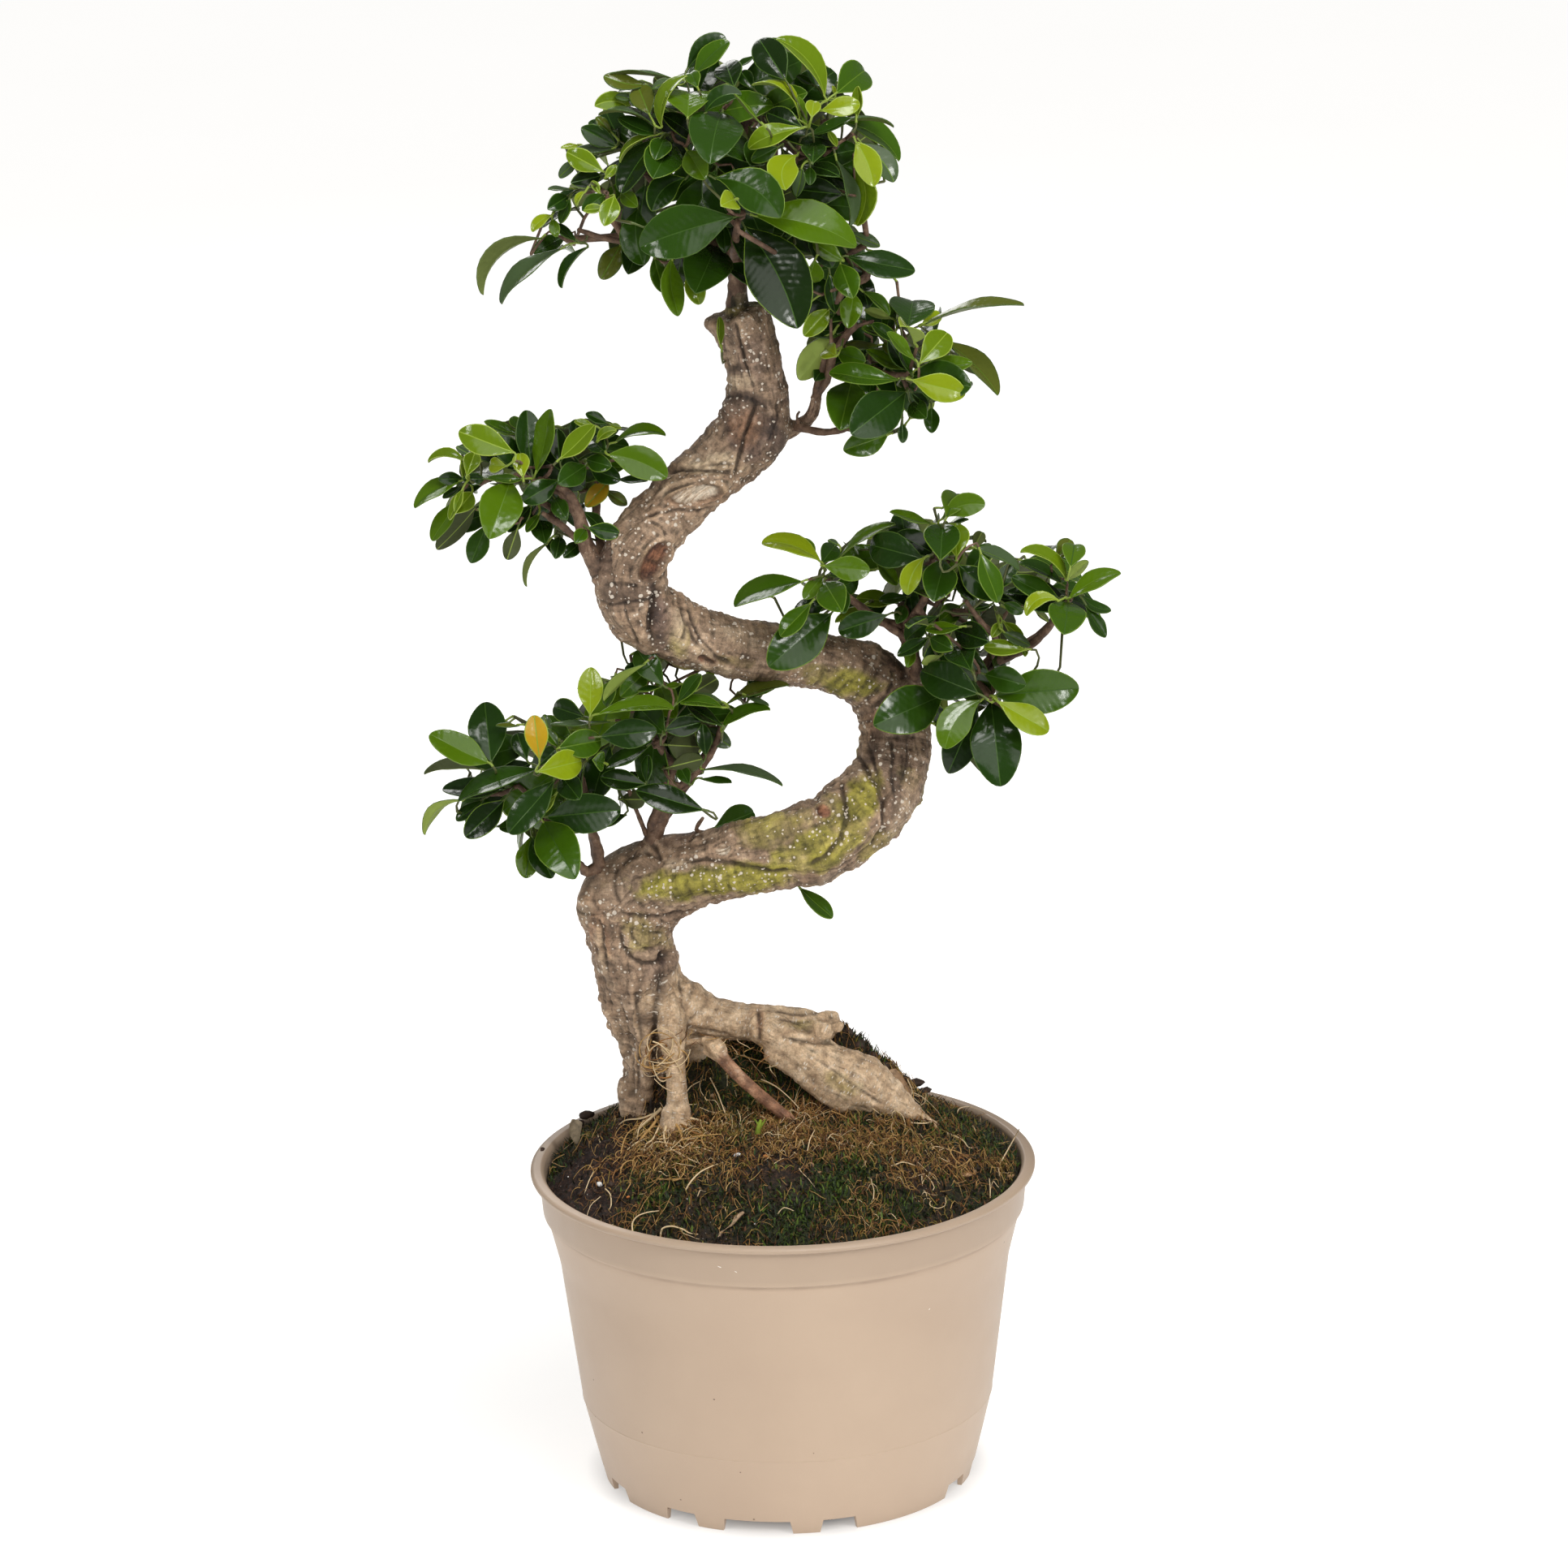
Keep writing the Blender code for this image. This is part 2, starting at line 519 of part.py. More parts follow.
def make_soil(mat):
    clear_r = 0.0006
    bm = bmesh.new()
    rings = []
    floor = SKIRT_H + WALL + 0.0006 + GAP
    lower = (
        (DISC_R - 0.0018, WALL + GAP),
        (DISC_R + 0.0012, floor),
        (BASE_R - 0.0004, floor),
        (LOW_R - WALL - clear_r, LOW_Z + 0.0010),
        (SHOULDER_R - WALL - clear_r, SHOULDER_Z + 0.0004),
        (COLLAR_R - WALL - 0.0005 - clear_r, COLLAR_Z - 0.0002),
    )
    angles = [2 * math.pi * k / SOIL_STEPS for k in range(SOIL_STEPS)]
    for r, z in lower:
        rings.append([bm.verts.new((r * math.cos(a), r * math.sin(a), z)) for a in angles])
    for k in range(SOIL_RINGS):
        q = 1 - k / SOIL_RINGS
        ring = []
        for a in angles:
            top = soil_edge(a)
            radius = wall_inner(top) - clear_r
            x, y = q * radius * math.cos(a), q * radius * math.sin(a)
            ring.append(bm.verts.new((x, y, soil_height(x, y, radius))))
        rings.append(ring)
    for a, b in zip(rings, rings[1:]):
        for i in range(SOIL_STEPS):
            j = (i + 1) % SOIL_STEPS
            bm.faces.new((a[i], a[j], b[j], b[i]))
    bm.faces.new(rings[0][::-1])
    peak = bm.verts.new((0, 0, soil_height(0, 0, 0.1)))
    last = rings[-1]
    for i in range(SOIL_STEPS):
        bm.faces.new((last[i], last[(i + 1) % SOIL_STEPS], peak))
    return to_object("soil", bm, mat, angle=50)


# ================================================================ build
def main():
    clear()
    bark = material("bark", (0.27, 0.215, 0.155), 0.75)
    root_mat = material("root_bark", (0.36, 0.27, 0.17), 0.75)
    twig = material("twig", (0.17, 0.11, 0.07), 0.7)
    leaf = material("leaf", (0.035, 0.11, 0.015), 0.3)
    plastic = material("pot_plastic", (0.60, 0.47, 0.35), 0.45)
    peat = material("peat", (0.045, 0.03, 0.014), 0.9)

    make_pot(plastic)
    cutters = []

    for name, first, last in TRUNK_NODES:
        to_object(name, trunk_bmesh(first, last), bark.copy())
    trunk_cutters = [to_object("cut_" + n, trunk_bmesh(a, b, GAP), smooth=False) for n, a, b in TRUNK_NODES]
    cutters += trunk_cutters

    for name, rows in ROOTS.items():
        foot = name in ("root_front",)
        ob = to_object(name, limb_bmesh(rows, 10, 2, foot=foot), root_mat.copy())
        cut(ob, cutters)
        cutters.append(to_object("cut_" + name, limb_bmesh(rows, 10, 2, GAP, foot=foot), smooth=False))

    root_cutters = list(cutters)
    soil = make_soil(peat)
    cut(soil, root_cutters, 50)

    for name, rows in BOUGHS.items():
        ob = to_object(name, limb_bmesh(rows, 7, 2), twig.copy())
        cut(ob, cutters)
        cutters.append(to_object("cut_" + name, limb_bmesh(rows, 7, 2, GAP), smooth=False))

    for k, (name, row) in enumerate(MASSES.items()):
        ob = to_object(name, blob_bmesh(row, k + 1), leaf.copy(), angle=60)
        cut(ob, cutters, 60)
        cutters.append(to_object("cut_" + name, blob_bmesh(row, k + 1, 0.0006), smooth=False))

    for c in cutters:
        bpy.data.objects.remove(c, do_unlink=True)
    for me in list(bpy.data.meshes):
        if me.users == 0:
            bpy.data.meshes.remove(me)


main()
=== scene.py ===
"""Looks of the ficus ginseng bonsai in its round pot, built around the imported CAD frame.

World: metres, the origin is the centre of the pot's underside, +Z up, the plant's front faces -Y.
Station tables are in millimetres. Pixel places are in the 1932 x 1932 frame of the camera below.
"""
import json
import math
import random

import bmesh
import bpy
import numpy as np
from mathutils import Matrix, Vector, noise
from mathutils.kdtree import KDTree

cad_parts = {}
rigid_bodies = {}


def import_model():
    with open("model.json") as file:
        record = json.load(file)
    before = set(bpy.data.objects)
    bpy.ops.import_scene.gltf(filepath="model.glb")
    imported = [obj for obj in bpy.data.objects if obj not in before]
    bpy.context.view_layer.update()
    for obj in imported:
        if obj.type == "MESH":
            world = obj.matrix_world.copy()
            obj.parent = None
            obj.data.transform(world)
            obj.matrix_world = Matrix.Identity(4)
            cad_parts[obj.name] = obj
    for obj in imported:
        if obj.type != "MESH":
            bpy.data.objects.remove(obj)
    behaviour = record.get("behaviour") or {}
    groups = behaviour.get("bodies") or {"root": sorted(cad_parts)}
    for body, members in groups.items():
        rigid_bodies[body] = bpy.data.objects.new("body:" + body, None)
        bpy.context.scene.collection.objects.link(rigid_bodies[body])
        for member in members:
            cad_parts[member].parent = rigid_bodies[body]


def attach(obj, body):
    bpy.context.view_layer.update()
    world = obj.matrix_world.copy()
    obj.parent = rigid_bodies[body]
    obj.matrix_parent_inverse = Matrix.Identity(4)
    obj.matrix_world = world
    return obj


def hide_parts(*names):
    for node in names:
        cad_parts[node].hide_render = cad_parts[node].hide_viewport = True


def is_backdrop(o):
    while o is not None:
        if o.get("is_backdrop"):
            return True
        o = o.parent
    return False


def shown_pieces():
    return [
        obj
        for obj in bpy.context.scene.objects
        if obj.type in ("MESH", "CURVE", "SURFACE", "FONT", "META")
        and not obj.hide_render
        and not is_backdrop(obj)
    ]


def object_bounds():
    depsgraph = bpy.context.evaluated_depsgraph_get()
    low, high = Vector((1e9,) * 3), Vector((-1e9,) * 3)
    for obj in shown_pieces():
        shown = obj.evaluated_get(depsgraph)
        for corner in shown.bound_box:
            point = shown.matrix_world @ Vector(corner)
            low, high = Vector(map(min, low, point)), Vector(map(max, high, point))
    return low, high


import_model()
CAD_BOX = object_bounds()
MM = 0.001
rnd = random.Random(71)

# ================================================================ camera
FOCAL = 9189.0           # pixels
DISTANCE = 3.2
TILT = math.radians(17.1)
ROLL = math.radians(1.2)
AIM = Vector((0.0040, 0.0, 0.3132))
FWD = Vector((0.0, math.cos(TILT), -math.sin(TILT)))
_right = Vector((1.0, 0.0, 0.0))
_up = Vector((0.0, math.sin(TILT), math.cos(TILT)))
RIGHT = _right * math.cos(ROLL) - _up * math.sin(ROLL)
UP = _up * math.cos(ROLL) + _right * math.sin(ROLL)
EYE = AIM - FWD * DISTANCE


def make_camera():
    data = bpy.data.cameras.new("camera")
    data.sensor_width = 36.0
    data.lens = FOCAL / 1932.0 * 36.0
    data.clip_start = 0.05
    data.clip_end = 20.0
    cam = bpy.data.objects.new("camera", data)
    rot = Matrix((RIGHT, UP, -FWD)).transposed().to_4x4()
    cam.matrix_world = Matrix.Translation(EYE) @ rot
    bpy.context.scene.collection.objects.link(cam)
    bpy.context.scene.camera = cam


def to_px(p):
    r = Vector(p) - EYE
    d = r.dot(FWD)
    return 966 + FOCAL * r.dot(RIGHT) / d, 966 - FOCAL * r.dot(UP) / d


def many_px(co):
    r = co - np.array(EYE)
    d = r @ np.array(FWD)
    return 966 + FOCAL * (r @ np.array(RIGHT)) / d, 966 - FOCAL * (r @ np.array(UP)) / d


def at(px, py, y):
    """World point seen at a pixel, in the plane y (millimetres)."""
    d = FWD + RIGHT * ((px - 966) / FOCAL) + UP * ((966 - py) / FOCAL)
    t = (y * MM - EYE.y) / d.y
    return EYE + d * t


PX = DISTANCE / FOCAL    # metres per pixel at the middle of the plant

# ================================================================ leaves seen from the front
# one row: base and tip pixel, seen width in pixels, sideways bow in pixels (positive to the right of base-to-tip),
# tone, and depth of the leaf's middle (y in millimetres)
LEAVES = {
    "crown": """
846 86 894 45 33 -4 D 6
855 92 898 50 25 -4 M 0
832 97 748 90 6 5 G 4
798 104 744 92 21 -3 O 2
785 122 758 117 10 0 G -2
801 144 785 103 32 0 O -6
778 134 733 131 25 8 L -2
818 165 738 138 10 14 G -14
815 158 845 92 17 -15 L -18
848 149 849 105 58 0 N -20
860 110 850 86 20 0 M -10
840 105 803 108 14 4 G -8
812 165 762 144 20 0 D -16
795 190 760 158 26 0 D -4
812 165 762 198 10 10 L -20
815 168 765 238 34 8 K -24
818 168 808 197 28 0 E -26
828 170 806 221 50 0 D -28
846 183 868 221 32 0 N -34
846 218 804 261 36 10 D -26
890 133 876 202 68 3 D -36
868 140 914 116 24 -11 D -26
905 110 893 73 36 0 K -2
760 180 716 157 26 0 D -8
755 165 735 143 14 0 O -6
758 160 725 150 16 0 D 0
715 178 691 181 7 0 Y 0
757 183 700 190 12 4 G -10
745 212 698 187 28 0 L -18
712 195 688 218 14 0 G -10
742 215 704 226 24 0 K -12
745 220 760 203 12 0 L -20
740 240 730 222 10 0 L -20
722 235 710 253 8 4 Y -30
745 238 718 260 22 0 E -26
745 255 718 258 12 0 L -30
757 240 745 278 26 0 L -34
765 236 785 255 20 0 M -24
705 232 675 231 6 0 G -4
700 240 676 258 22 0 D -12
702 243 689 275 14 0 E -12
680 265 655 285 14 4 Y -16
680 268 686 292 14 0 M -14
712 297 683 275 12 0 D -12
668 293 592 361 21 25 P -8
693 305 615 372 22 12 G -14
725 303 690 354 12 10 D -18
765 300 741 344 28 0 O -10
790 295 775 337 36 0 D -6
786 254 793 326 42 6 D -24
907 267 788 304 65 3 D -44
879 218 961 269 54 -14 E -48
930 266 1056 301 51 -13 M -40
917 278 982 404 79 -9 K -42
882 298 858 362 62 0 D -24
850 330 862 375 26 0 L -14
828 318 839 389 28 5 N -26
806 316 818 360 22 0 M -20
1040 322 1002 298 22 0 M -20
1045 285 1085 302 16 0 G 0
1042 315 1128 332 34 1 D -16
1035 322 1050 366 34 0 M -30
1052 360 1045 404 28 0 M -22
1022 335 1030 385 20 0 D -12
1022 380 991 414 26 0 L -18
1062 358 1097 388 14 -5 M -8
968 101 934 44 42 0 K -6
1017 120 957 47 27 17 L -4
1030 118 1067 83 44 0 M 6
1030 118 1027 105 5 0 Y 0
930 68 905 82 8 0 D 6
930 112 912 86 20 0 D 0
1003 105 982 92 10 0 D 0
986 149 926 104 13 22 Y -20
1000 146 1003 122 20 0 Y -26
1010 136 1060 127 25 0 Y -22
1055 145 1056 106 14 0 L -12
990 158 944 137 30 0 K -22
990 157 921 180 28 5 L -28
998 165 1048 143 14 0 E -16
995 158 985 118 10 0 M -18
1030 150 1102 152 6 -6 G -4
1037 150 1109 197 26 -14 M 2
1060 175 1102 224 30 -6 G -8
1054 173 1076 230 34 -4 Y -26
1020 158 1032 180 9 0 L -16
1030 195 1050 278 18 -11 G -22
1052 203 1053 278 30 -13 L -18
1001 204 1003 176 32 0 D -30
983 188 968 235 40 12 Y -38
988 205 980 242 16 0 G -36
998 203 998 228 16 0 D -34
960 180 925 198 20 0 E -30
889 428 888 390 9 0 L -10
1040 240 975 232 36 0 K -20
940 153 905 115 5 0 M -34
1000 270 1025 330 34 0 D -16
940 165 925 205 34 0 E -20
""",
    "right_upper": """
        1140 398 1262 375 14 -12 O -4
        1165 420 1231 486 26 -10 O -6
        1118 405 1125 365 56 0 D 6
        1100 392 1065 380 12 0 P 4
        1135 402 1160 385 18 0 Y 2
        1115 425 1075 398 16 0 D -8
        1100 412 1062 402 12 0 M -4
1130 445 1095 407 16 0 N -26
1132 450 1168 408 36 0 L -18
1122 458 1095 418 22 0 K -14
        1105 440 1088 422 14 0 O -4
1125 462 1108 420 14 0 E -20
1128 455 1198 445 24 0 N -16
1122 460 1195 478 52 0 E -24
        1122 468 1190 485 36 0 Y -34
        1110 467 1022 455 26 0 M -26
        1030 432 1066 446 26 0 M -12
1118 455 1068 430 18 0 M -8
        1030 440 1015 428 24 0 Y -14
        1030 405 983 467 34 0 P 0
        1020 445 1005 468 22 0 D 4
        1062 448 1022 458 14 0 O 2
        1085 425 1038 425 12 0 O 4
        1035 412 1000 412 10 0 D 2
1050 466 1035 530 52 0 M -20
        1118 480 1050 535 56 0 D -32
1095 535 1040 555 34 0 M -16
        1112 520 1113 546 13 0 D -14
        1122 495 1140 515 26 0 D -22
1148 500 1148 533 20 0 E -10
        1122 482 1145 500 14 0 K -18
        1030 385 1010 392 12 0 D -6
    """,
    "left_upper": """
        635 558 565 531 38 0 L -26
        655 580 650 505 34 0 D -10
        660 583 675 503 28 0 M -14
640 535 597 518 14 0 M 0
        640 530 630 512 14 0 M 2
        705 545 712 516 18 0 D -4
        690 572 686 528 24 0 K -8
        690 565 732 523 26 0 L -22
        735 525 708 518 10 0 L -10
        750 522 722 508 14 0 D -2
        750 522 766 527 7 0 L 2
        735 545 760 530 14 -5 L -14
        748 560 728 540 24 0 D -12
        757 545 820 533 16 -10 M -4
        748 560 822 588 40 -6 M -22
        760 590 798 590 10 0 D -10
        725 575 764 592 26 0 D -10
720 565 752 575 24 0 E -16
722 572 690 596 32 0 E -24
        750 592 722 624 24 0 A 2
        745 603 773 622 16 0 O 4
575 588 585 556 22 0 L -16
        575 570 527 568 12 12 L -8
        572 592 570 565 6 0 L -10
        580 560 562 550 10 0 G -2
        625 575 602 572 20 0 Y -22
        645 590 640 557 22 0 Y -26
        628 590 605 662 54 0 M -32
645 590 600 588 12 0 M -18
        572 590 540 590 18 0 D -8
        568 592 510 625 22 8 M -10
        568 598 545 613 10 0 D -6
        598 590 570 590 16 0 D -14
582 605 562 632 26 0 L -18
        570 602 552 640 14 0 L -22
        565 612 530 665 22 0 M -12
        585 625 537 676 26 0 B -10
600 645 580 694 28 0 E -14
        638 650 625 690 22 0 B -16
655 622 625 655 20 0 K -8
        665 632 647 655 12 0 M -12
        690 590 645 618 30 0 D -20
682 612 698 640 22 0 D -18
        665 640 672 668 28 0 D -8
        675 668 646 722 9 10 P -10
        690 660 685 688 20 0 D -14
        715 668 695 687 18 0 D -12
        722 650 710 668 18 0 M -22
        722 650 764 658 22 0 D -20
    """,
    "right_mid": """
        1012 692 939 667 24 10 Y -22
        1005 685 990 663 14 0 M -8
1012 695 1030 670 26 0 E -14
        1035 672 1020 665 8 0 G -6
1030 690 1102 643 14 -8 N -6
        1013 697 1072 703 32 0 M -28
        990 716 903 743 28 8 M -24
1015 708 990 738 20 0 N -20
        1020 708 1045 705 10 0 D -16
        1015 715 1036 752 40 0 M -30
1030 720 1040 755 26 0 E -18
1000 742 960 783 26 0 M -26
        1025 755 948 821 58 0 D -20
        1095 757 1033 778 34 0 D -12
1110 740 1055 735 22 0 L 8
1120 735 1083 738 14 0 E 0
1065 745 1028 765 12 0 L 2
        1140 690 1070 670 46 0 D -16
1078 686 1107 720 18 0 M -6
        1140 686 1118 733 26 6 Y -28
1150 645 1097 628 12 0 M -6
        1115 745 1105 768 18 0 D -4
        1143 785 1105 807 18 0 D -14
        1125 800 1118 822 14 0 M -10
1165 640 1180 605 34 0 N -10
        1160 640 1214 622 30 -8 M -14
1158 692 1162 643 46 0 E -30
        1178 688 1178 642 34 0 L -22
        1200 675 1210 655 16 0 P -8
        1170 645 1193 638 5 0 D -6
        1200 675 1257 700 16 -6 G -18
1208 680 1232 742 28 0 M -30
        1180 695 1230 738 36 0 D -22
        1182 700 1200 738 30 0 K -18
1165 688 1150 740 44 0 E -28
        1152 700 1130 706 12 0 D -12
1306 738 1247 710 26 0 E -14
1310 720 1256 692 16 6 E -8
        1235 742 1260 755 16 0 D -16
        1306 740 1264 758 20 12 Y -28
        1275 750 1293 765 8 0 P -10
        1318 740 1310 780 48 0 M -32
1316 738 1380 703 24 -6 N -24
        1333 732 1370 750 14 6 D -12
1338 745 1363 785 18 0 E -16
1318 700 1325 668 30 0 N -14
        1300 690 1320 664 22 0 O -6
        1315 715 1258 678 16 14 L -18
        1312 715 1340 690 14 0 P -20
        1185 772 1140 774 16 0 M -22
        1175 775 1216 790 36 0 K -18
        1235 765 1222 785 14 0 L -10
1236 765 1262 785 12 0 L -6
        1235 778 1270 795 16 0 G -14
        1265 800 1212 796 20 0 L -18
1145 785 1172 800 24 0 D -24
1185 745 1158 765 26 0 M 10
        1222 745 1200 750 10 0 K -4
1165 855 1078 893 60 0 E -10
        1205 855 1133 825 48 0 D -16
        1197 828 1180 793 38 0 D -22
        1212 830 1262 844 34 0 D -20
        1225 857 1330 848 56 0 M -18
1210 862 1165 922 42 10 N -26
        1228 863 1293 900 34 0 Y -28
        1222 862 1232 967 64 0 D -22
1205 868 1168 953 44 0 K -12
        1160 807 1135 817 12 0 P -8
        1222 866 1228 858 7 0 L -24
        1263 800 1263 808 8 0 L -6
    """,
    "left_low": """
        727 882 728 822 32 0 Y -22
        722 884 680 870 30 0 D -10
        752 888 678 892 8 0 G -20
        688 922 742 912 36 0 M -26
        662 951 718 937 38 0 Y -36
        665 938 658 881 30 0 A -28
        606 940 596 864 48 0 D -14
603 940 530 903 36 0 N -24
        592 947 522 950 14 8 B -14
665 947 563 984 26 8 D -28
        650 938 636 902 24 0 D -12
        655 940 612 955 22 0 K -8
        625 970 545 970 26 0 D -8
        572 985 522 1028 16 14 P -20
        595 985 561 1010 16 0 D -12
622 985 573 1031 34 0 K -18
        684 960 626 1026 40 0 D -30
        690 955 714 984 32 0 D -22
        672 1007 765 998 50 0 D -16
        668 1012 708 1080 54 0 M -28
655 1028 648 1081 32 0 N -18
        655 1030 680 1081 34 0 D -22
660 1010 615 1020 20 0 E -16
        685 978 664 1003 12 0 L -22
        690 922 672 897 14 0 M -20
        678 905 670 880 14 0 G -8
        640 893 611 893 6 0 O -20
        798 820 770 824 16 0 D -6
800 822 765 858 28 0 M -12
        795 817 742 862 14 6 P -22
        818 846 784 800 32 0 D -16
735 880 830 869 20 -8 M -30
        815 845 785 850 8 0 D -18
        757 835 745 870 16 0 M -16
        840 842 818 846 8 0 M -12
832 868 862 829 18 0 E -20
        848 857 884 836 26 0 B -12
        866 838 880 828 10 0 L -8
        892 865 848 854 12 0 G -18
        892 872 838 864 15 5 M -24
        893 895 848 868 18 0 K -16
        818 900 864 890 26 0 K -20
        870 932 866 892 20 0 D -4
        868 897 900 920 22 0 G 4
        893 868 972 843 16 -8 O -6
        888 897 949 873 15 -10 M -14
        920 857 948 868 6 0 G -8
        738 908 810 900 38 0 D -24
820 905 785 870 40 0 D -14
800 918 745 943 20 0 E -14
        822 918 862 920 36 0 B -8
        826 945 866 935 24 0 B -12
        850 968 838 945 18 0 D -14
        864 948 965 966 13 -10 G -14
        862 958 902 962 9 0 D -12
797 966 740 956 26 0 K -18
        778 968 780 950 14 0 K -10
        796 966 797 930 14 0 D -16
868 998 784 972 34 0 K -26
        762 985 796 985 24 0 B -8
        772 1003 738 1016 14 0 D -10
880 1020 930 1000 34 0 E 25
        985 1093 1027 1130 20 0 M 0
    """,
}

# ================================================================ measures of the frame
# ---------------------------------------------------------------- pot
POT_HEIGHT = 0.1415
RIM_R = 0.110            # outer radius of the flat rim flange
RIM_INNER_R = 0.1042
RIM_DROP = 0.0026        # height of the flange's outer edge
COLLAR_TOP_R = 0.1062
COLLAR_R = 0.1049        # collar just above its lower step
COLLAR_Z = 0.1222
SHOULDER_R = 0.0982      # where the chamfer under the collar meets the body
SHOULDER_Z = 0.1005
LOW_R = 0.0862
LOW_Z = 0.0205
BASE_R = 0.0812
WALL = 0.0020
SKIRT_H = 0.0066         # height of the ring channel under the base
DISC_R = 0.0570          # flat disc in the middle of the underside
POT_STEPS = 240
WINDOW_H = 0.0062
# skirt windows of one group, in degrees from the group's centre
WINDOW_GROUP = ((-30, -20), (-10, 10), (20, 30))
GROUP_CENTRES = (-100, -3, 90, 180)      # degrees from +X, counter-clockwise
DRAIN_R = 0.0036
DRAIN_RING = 0.0690
DRAINS = 6

# ---------------------------------------------------------------- soil
SOIL_CROWN = 0.1640      # level of the middle of the root ball
# mossy ridge under the arching root: stations in plan and the height added there
RIDGE = ((-0.058, 0.022, 0.008), (-0.044, 0.020, 0.024), (-0.030, 0.018, 0.028), (0.0, 0.018, 0.028), (0.026, 0.016, 0.0340),
         (0.0335, 0.014, 0.0290), (0.0428, 0.010, 0.0230), (0.0487, 0.009, 0.0130), (0.056, 0.008, 0.004))
RIDGE_W = 0.0170
# height of the soil against the wall, by direction (degrees from +X)
SOIL_EDGE = ((-90, 0.1360), (-30, 0.1372), (10, 0.1385), (45, 0.1350), (75, 0.1350), (110, 0.1390), (135, 0.1400), (165, 0.1362), (190, 0.1330), (230, 0.1345))

# ---------------------------------------------------------------- trunk
# one row: centre x, y, z, half width, heading of growth in the XZ plane (degrees, 90 is up)
TRUNK = (
    (-58.0, 25.0, 160.0, 11.0, 90),
    (-57.0, 24.0, 174.0, 11.5, 90),
    (-57.0, 22.5, 186.5, 12.0, 91),
    (-58.0, 20.0, 199.0, 15.5, 95),
    (-59.0, 18.0, 207.5, 17.5, 96),
    (-61.0, 15.0, 223.5, 18.5, 96),
    (-64.0, 12.0, 241.5, 19.0, 85),
    (-66.0, 11.0, 252.0, 21.5, 70),
    (-61.0, 9.0, 262.5, 21.5, 50),
    (-48.0, 5.0, 271.0, 18.5, 34),
    (-31.5, 0.0, 276.0, 16.0, 22),
    (-19.5, -3.0, 279.5, 16.0, 17),
    (-2.0, -6.0, 285.0, 16.5, 13),
    (15.5, -6.0, 288.5, 17.5, 15),
    (33.0, -3.0, 296.5, 17.5, 30),
    (48.0, 6.0, 309.5, 17.0, 49),
    (53.0, 14.0, 324.0, 16.5, 81),
    (52.0, 20.0, 337.5, 15.5, 102),
    (44.5, 22.0, 350.0, 14.5, 126),
    (32.5, 19.0, 358.0, 14.0, 150),
    (17.0, 13.0, 365.0, 12.5, 165),
    (-0.5, 7.0, 370.5, 12.5, 172),
    (-17.5, 2.0, 373.5, 13.0, 170),
    (-32.0, -4.0, 379.5, 13.5, 160),
    (-44.5, -8.0, 386.5, 14.0, 145),
    (-55.0, -12.0, 394.5, 15.0, 123),
    (-58.5, -13.0, 407.0, 15.5, 94),
    (-56.5, -12.0, 419.5, 14.5, 72),
    (-48.5, -9.0, 431.5, 14.0, 52),
    (-35.0, -4.0, 443.5, 13.5, 48),
    (-20.5, 1.0, 455.0, 13.5, 50),
    (-7.0, 6.0, 467.5, 15.5, 64),
    (-4.5, 8.0, 478.5, 14.0, 88),
    (-4.5, 8.0, 492.5, 12.5, 95),
    (-7.0, 7.0, 507.0, 12.5, 102),
    (-12.5, 6.0, 520.0, 12.5, 107),
)
TRUNK_SIDES = 48
TRUNK_SUB = 8            # rings between two stations
TRUNK_DEPTH = 0.95       # depth of the trunk as a share of its width
TRUNK_NODES = (          # first and last station of each solid
    ("trunk_base", 0, 6),
    ("trunk_lower_bend", 6, 9),
    ("trunk_lower_sweep", 9, 14),
    ("trunk_right_bend", 14, 19),
    ("trunk_middle_sweep", 19, 24),
    ("trunk_left_bend", 24, 28),
    ("trunk_upper", 28, 35),
)

# ---------------------------------------------------------------- roots and boughs
# one row: x, y, z, radius
ROOTS = {
    "root_arch": ((-57.0, 15.0, 219.0, 11.0), (-41.0, 13.5, 208.5, 11.0), (-30.0, 12.0, 204.0, 8.6), (-19.5, 10.0, 203.0, 7.5),
                  (-7.5, 9.0, 202.0, 7.5), (8.5, 12.0, 199.5, 7.5), (26.0, 18.0, 195.0, 4.5)),
    "root_thick": ((-14.0, 9.0, 203.0, 6.0), (-3.0, 4.0, 199.0, 8.0), (8.5, 0.0, 192.0, 8.5), (20.5, -2.0, 185.0, 11.5), (32.5, -3.0, 177.5, 13.0),
                   (45.0, -3.0, 170.0, 10.0), (55.5, -4.0, 164.0, 5.5), (62.5, -5.0, 159.5, 3.0)),
    "root_front": ((-50.0, 12.0, 217.0, 6.0), (-48.5, 2.0, 207.0, 7.5), (-48.5, -4.0, 195.0, 7.5), (-49.5, -6.0, 180.5, 5.5), (-49.5, -7.0, 170.0, 6.5),
                   (-50.0, -8.0, 160.5, 9.5)),
    "root_thin": ((-29.5, -5.0, 197.0, 3.2), (-18.5, -12.0, 185.5, 3.0), (-4.5, -15.0, 173.0, 2.8), (6.5, -17.0, 163.5, 2.6)),
}
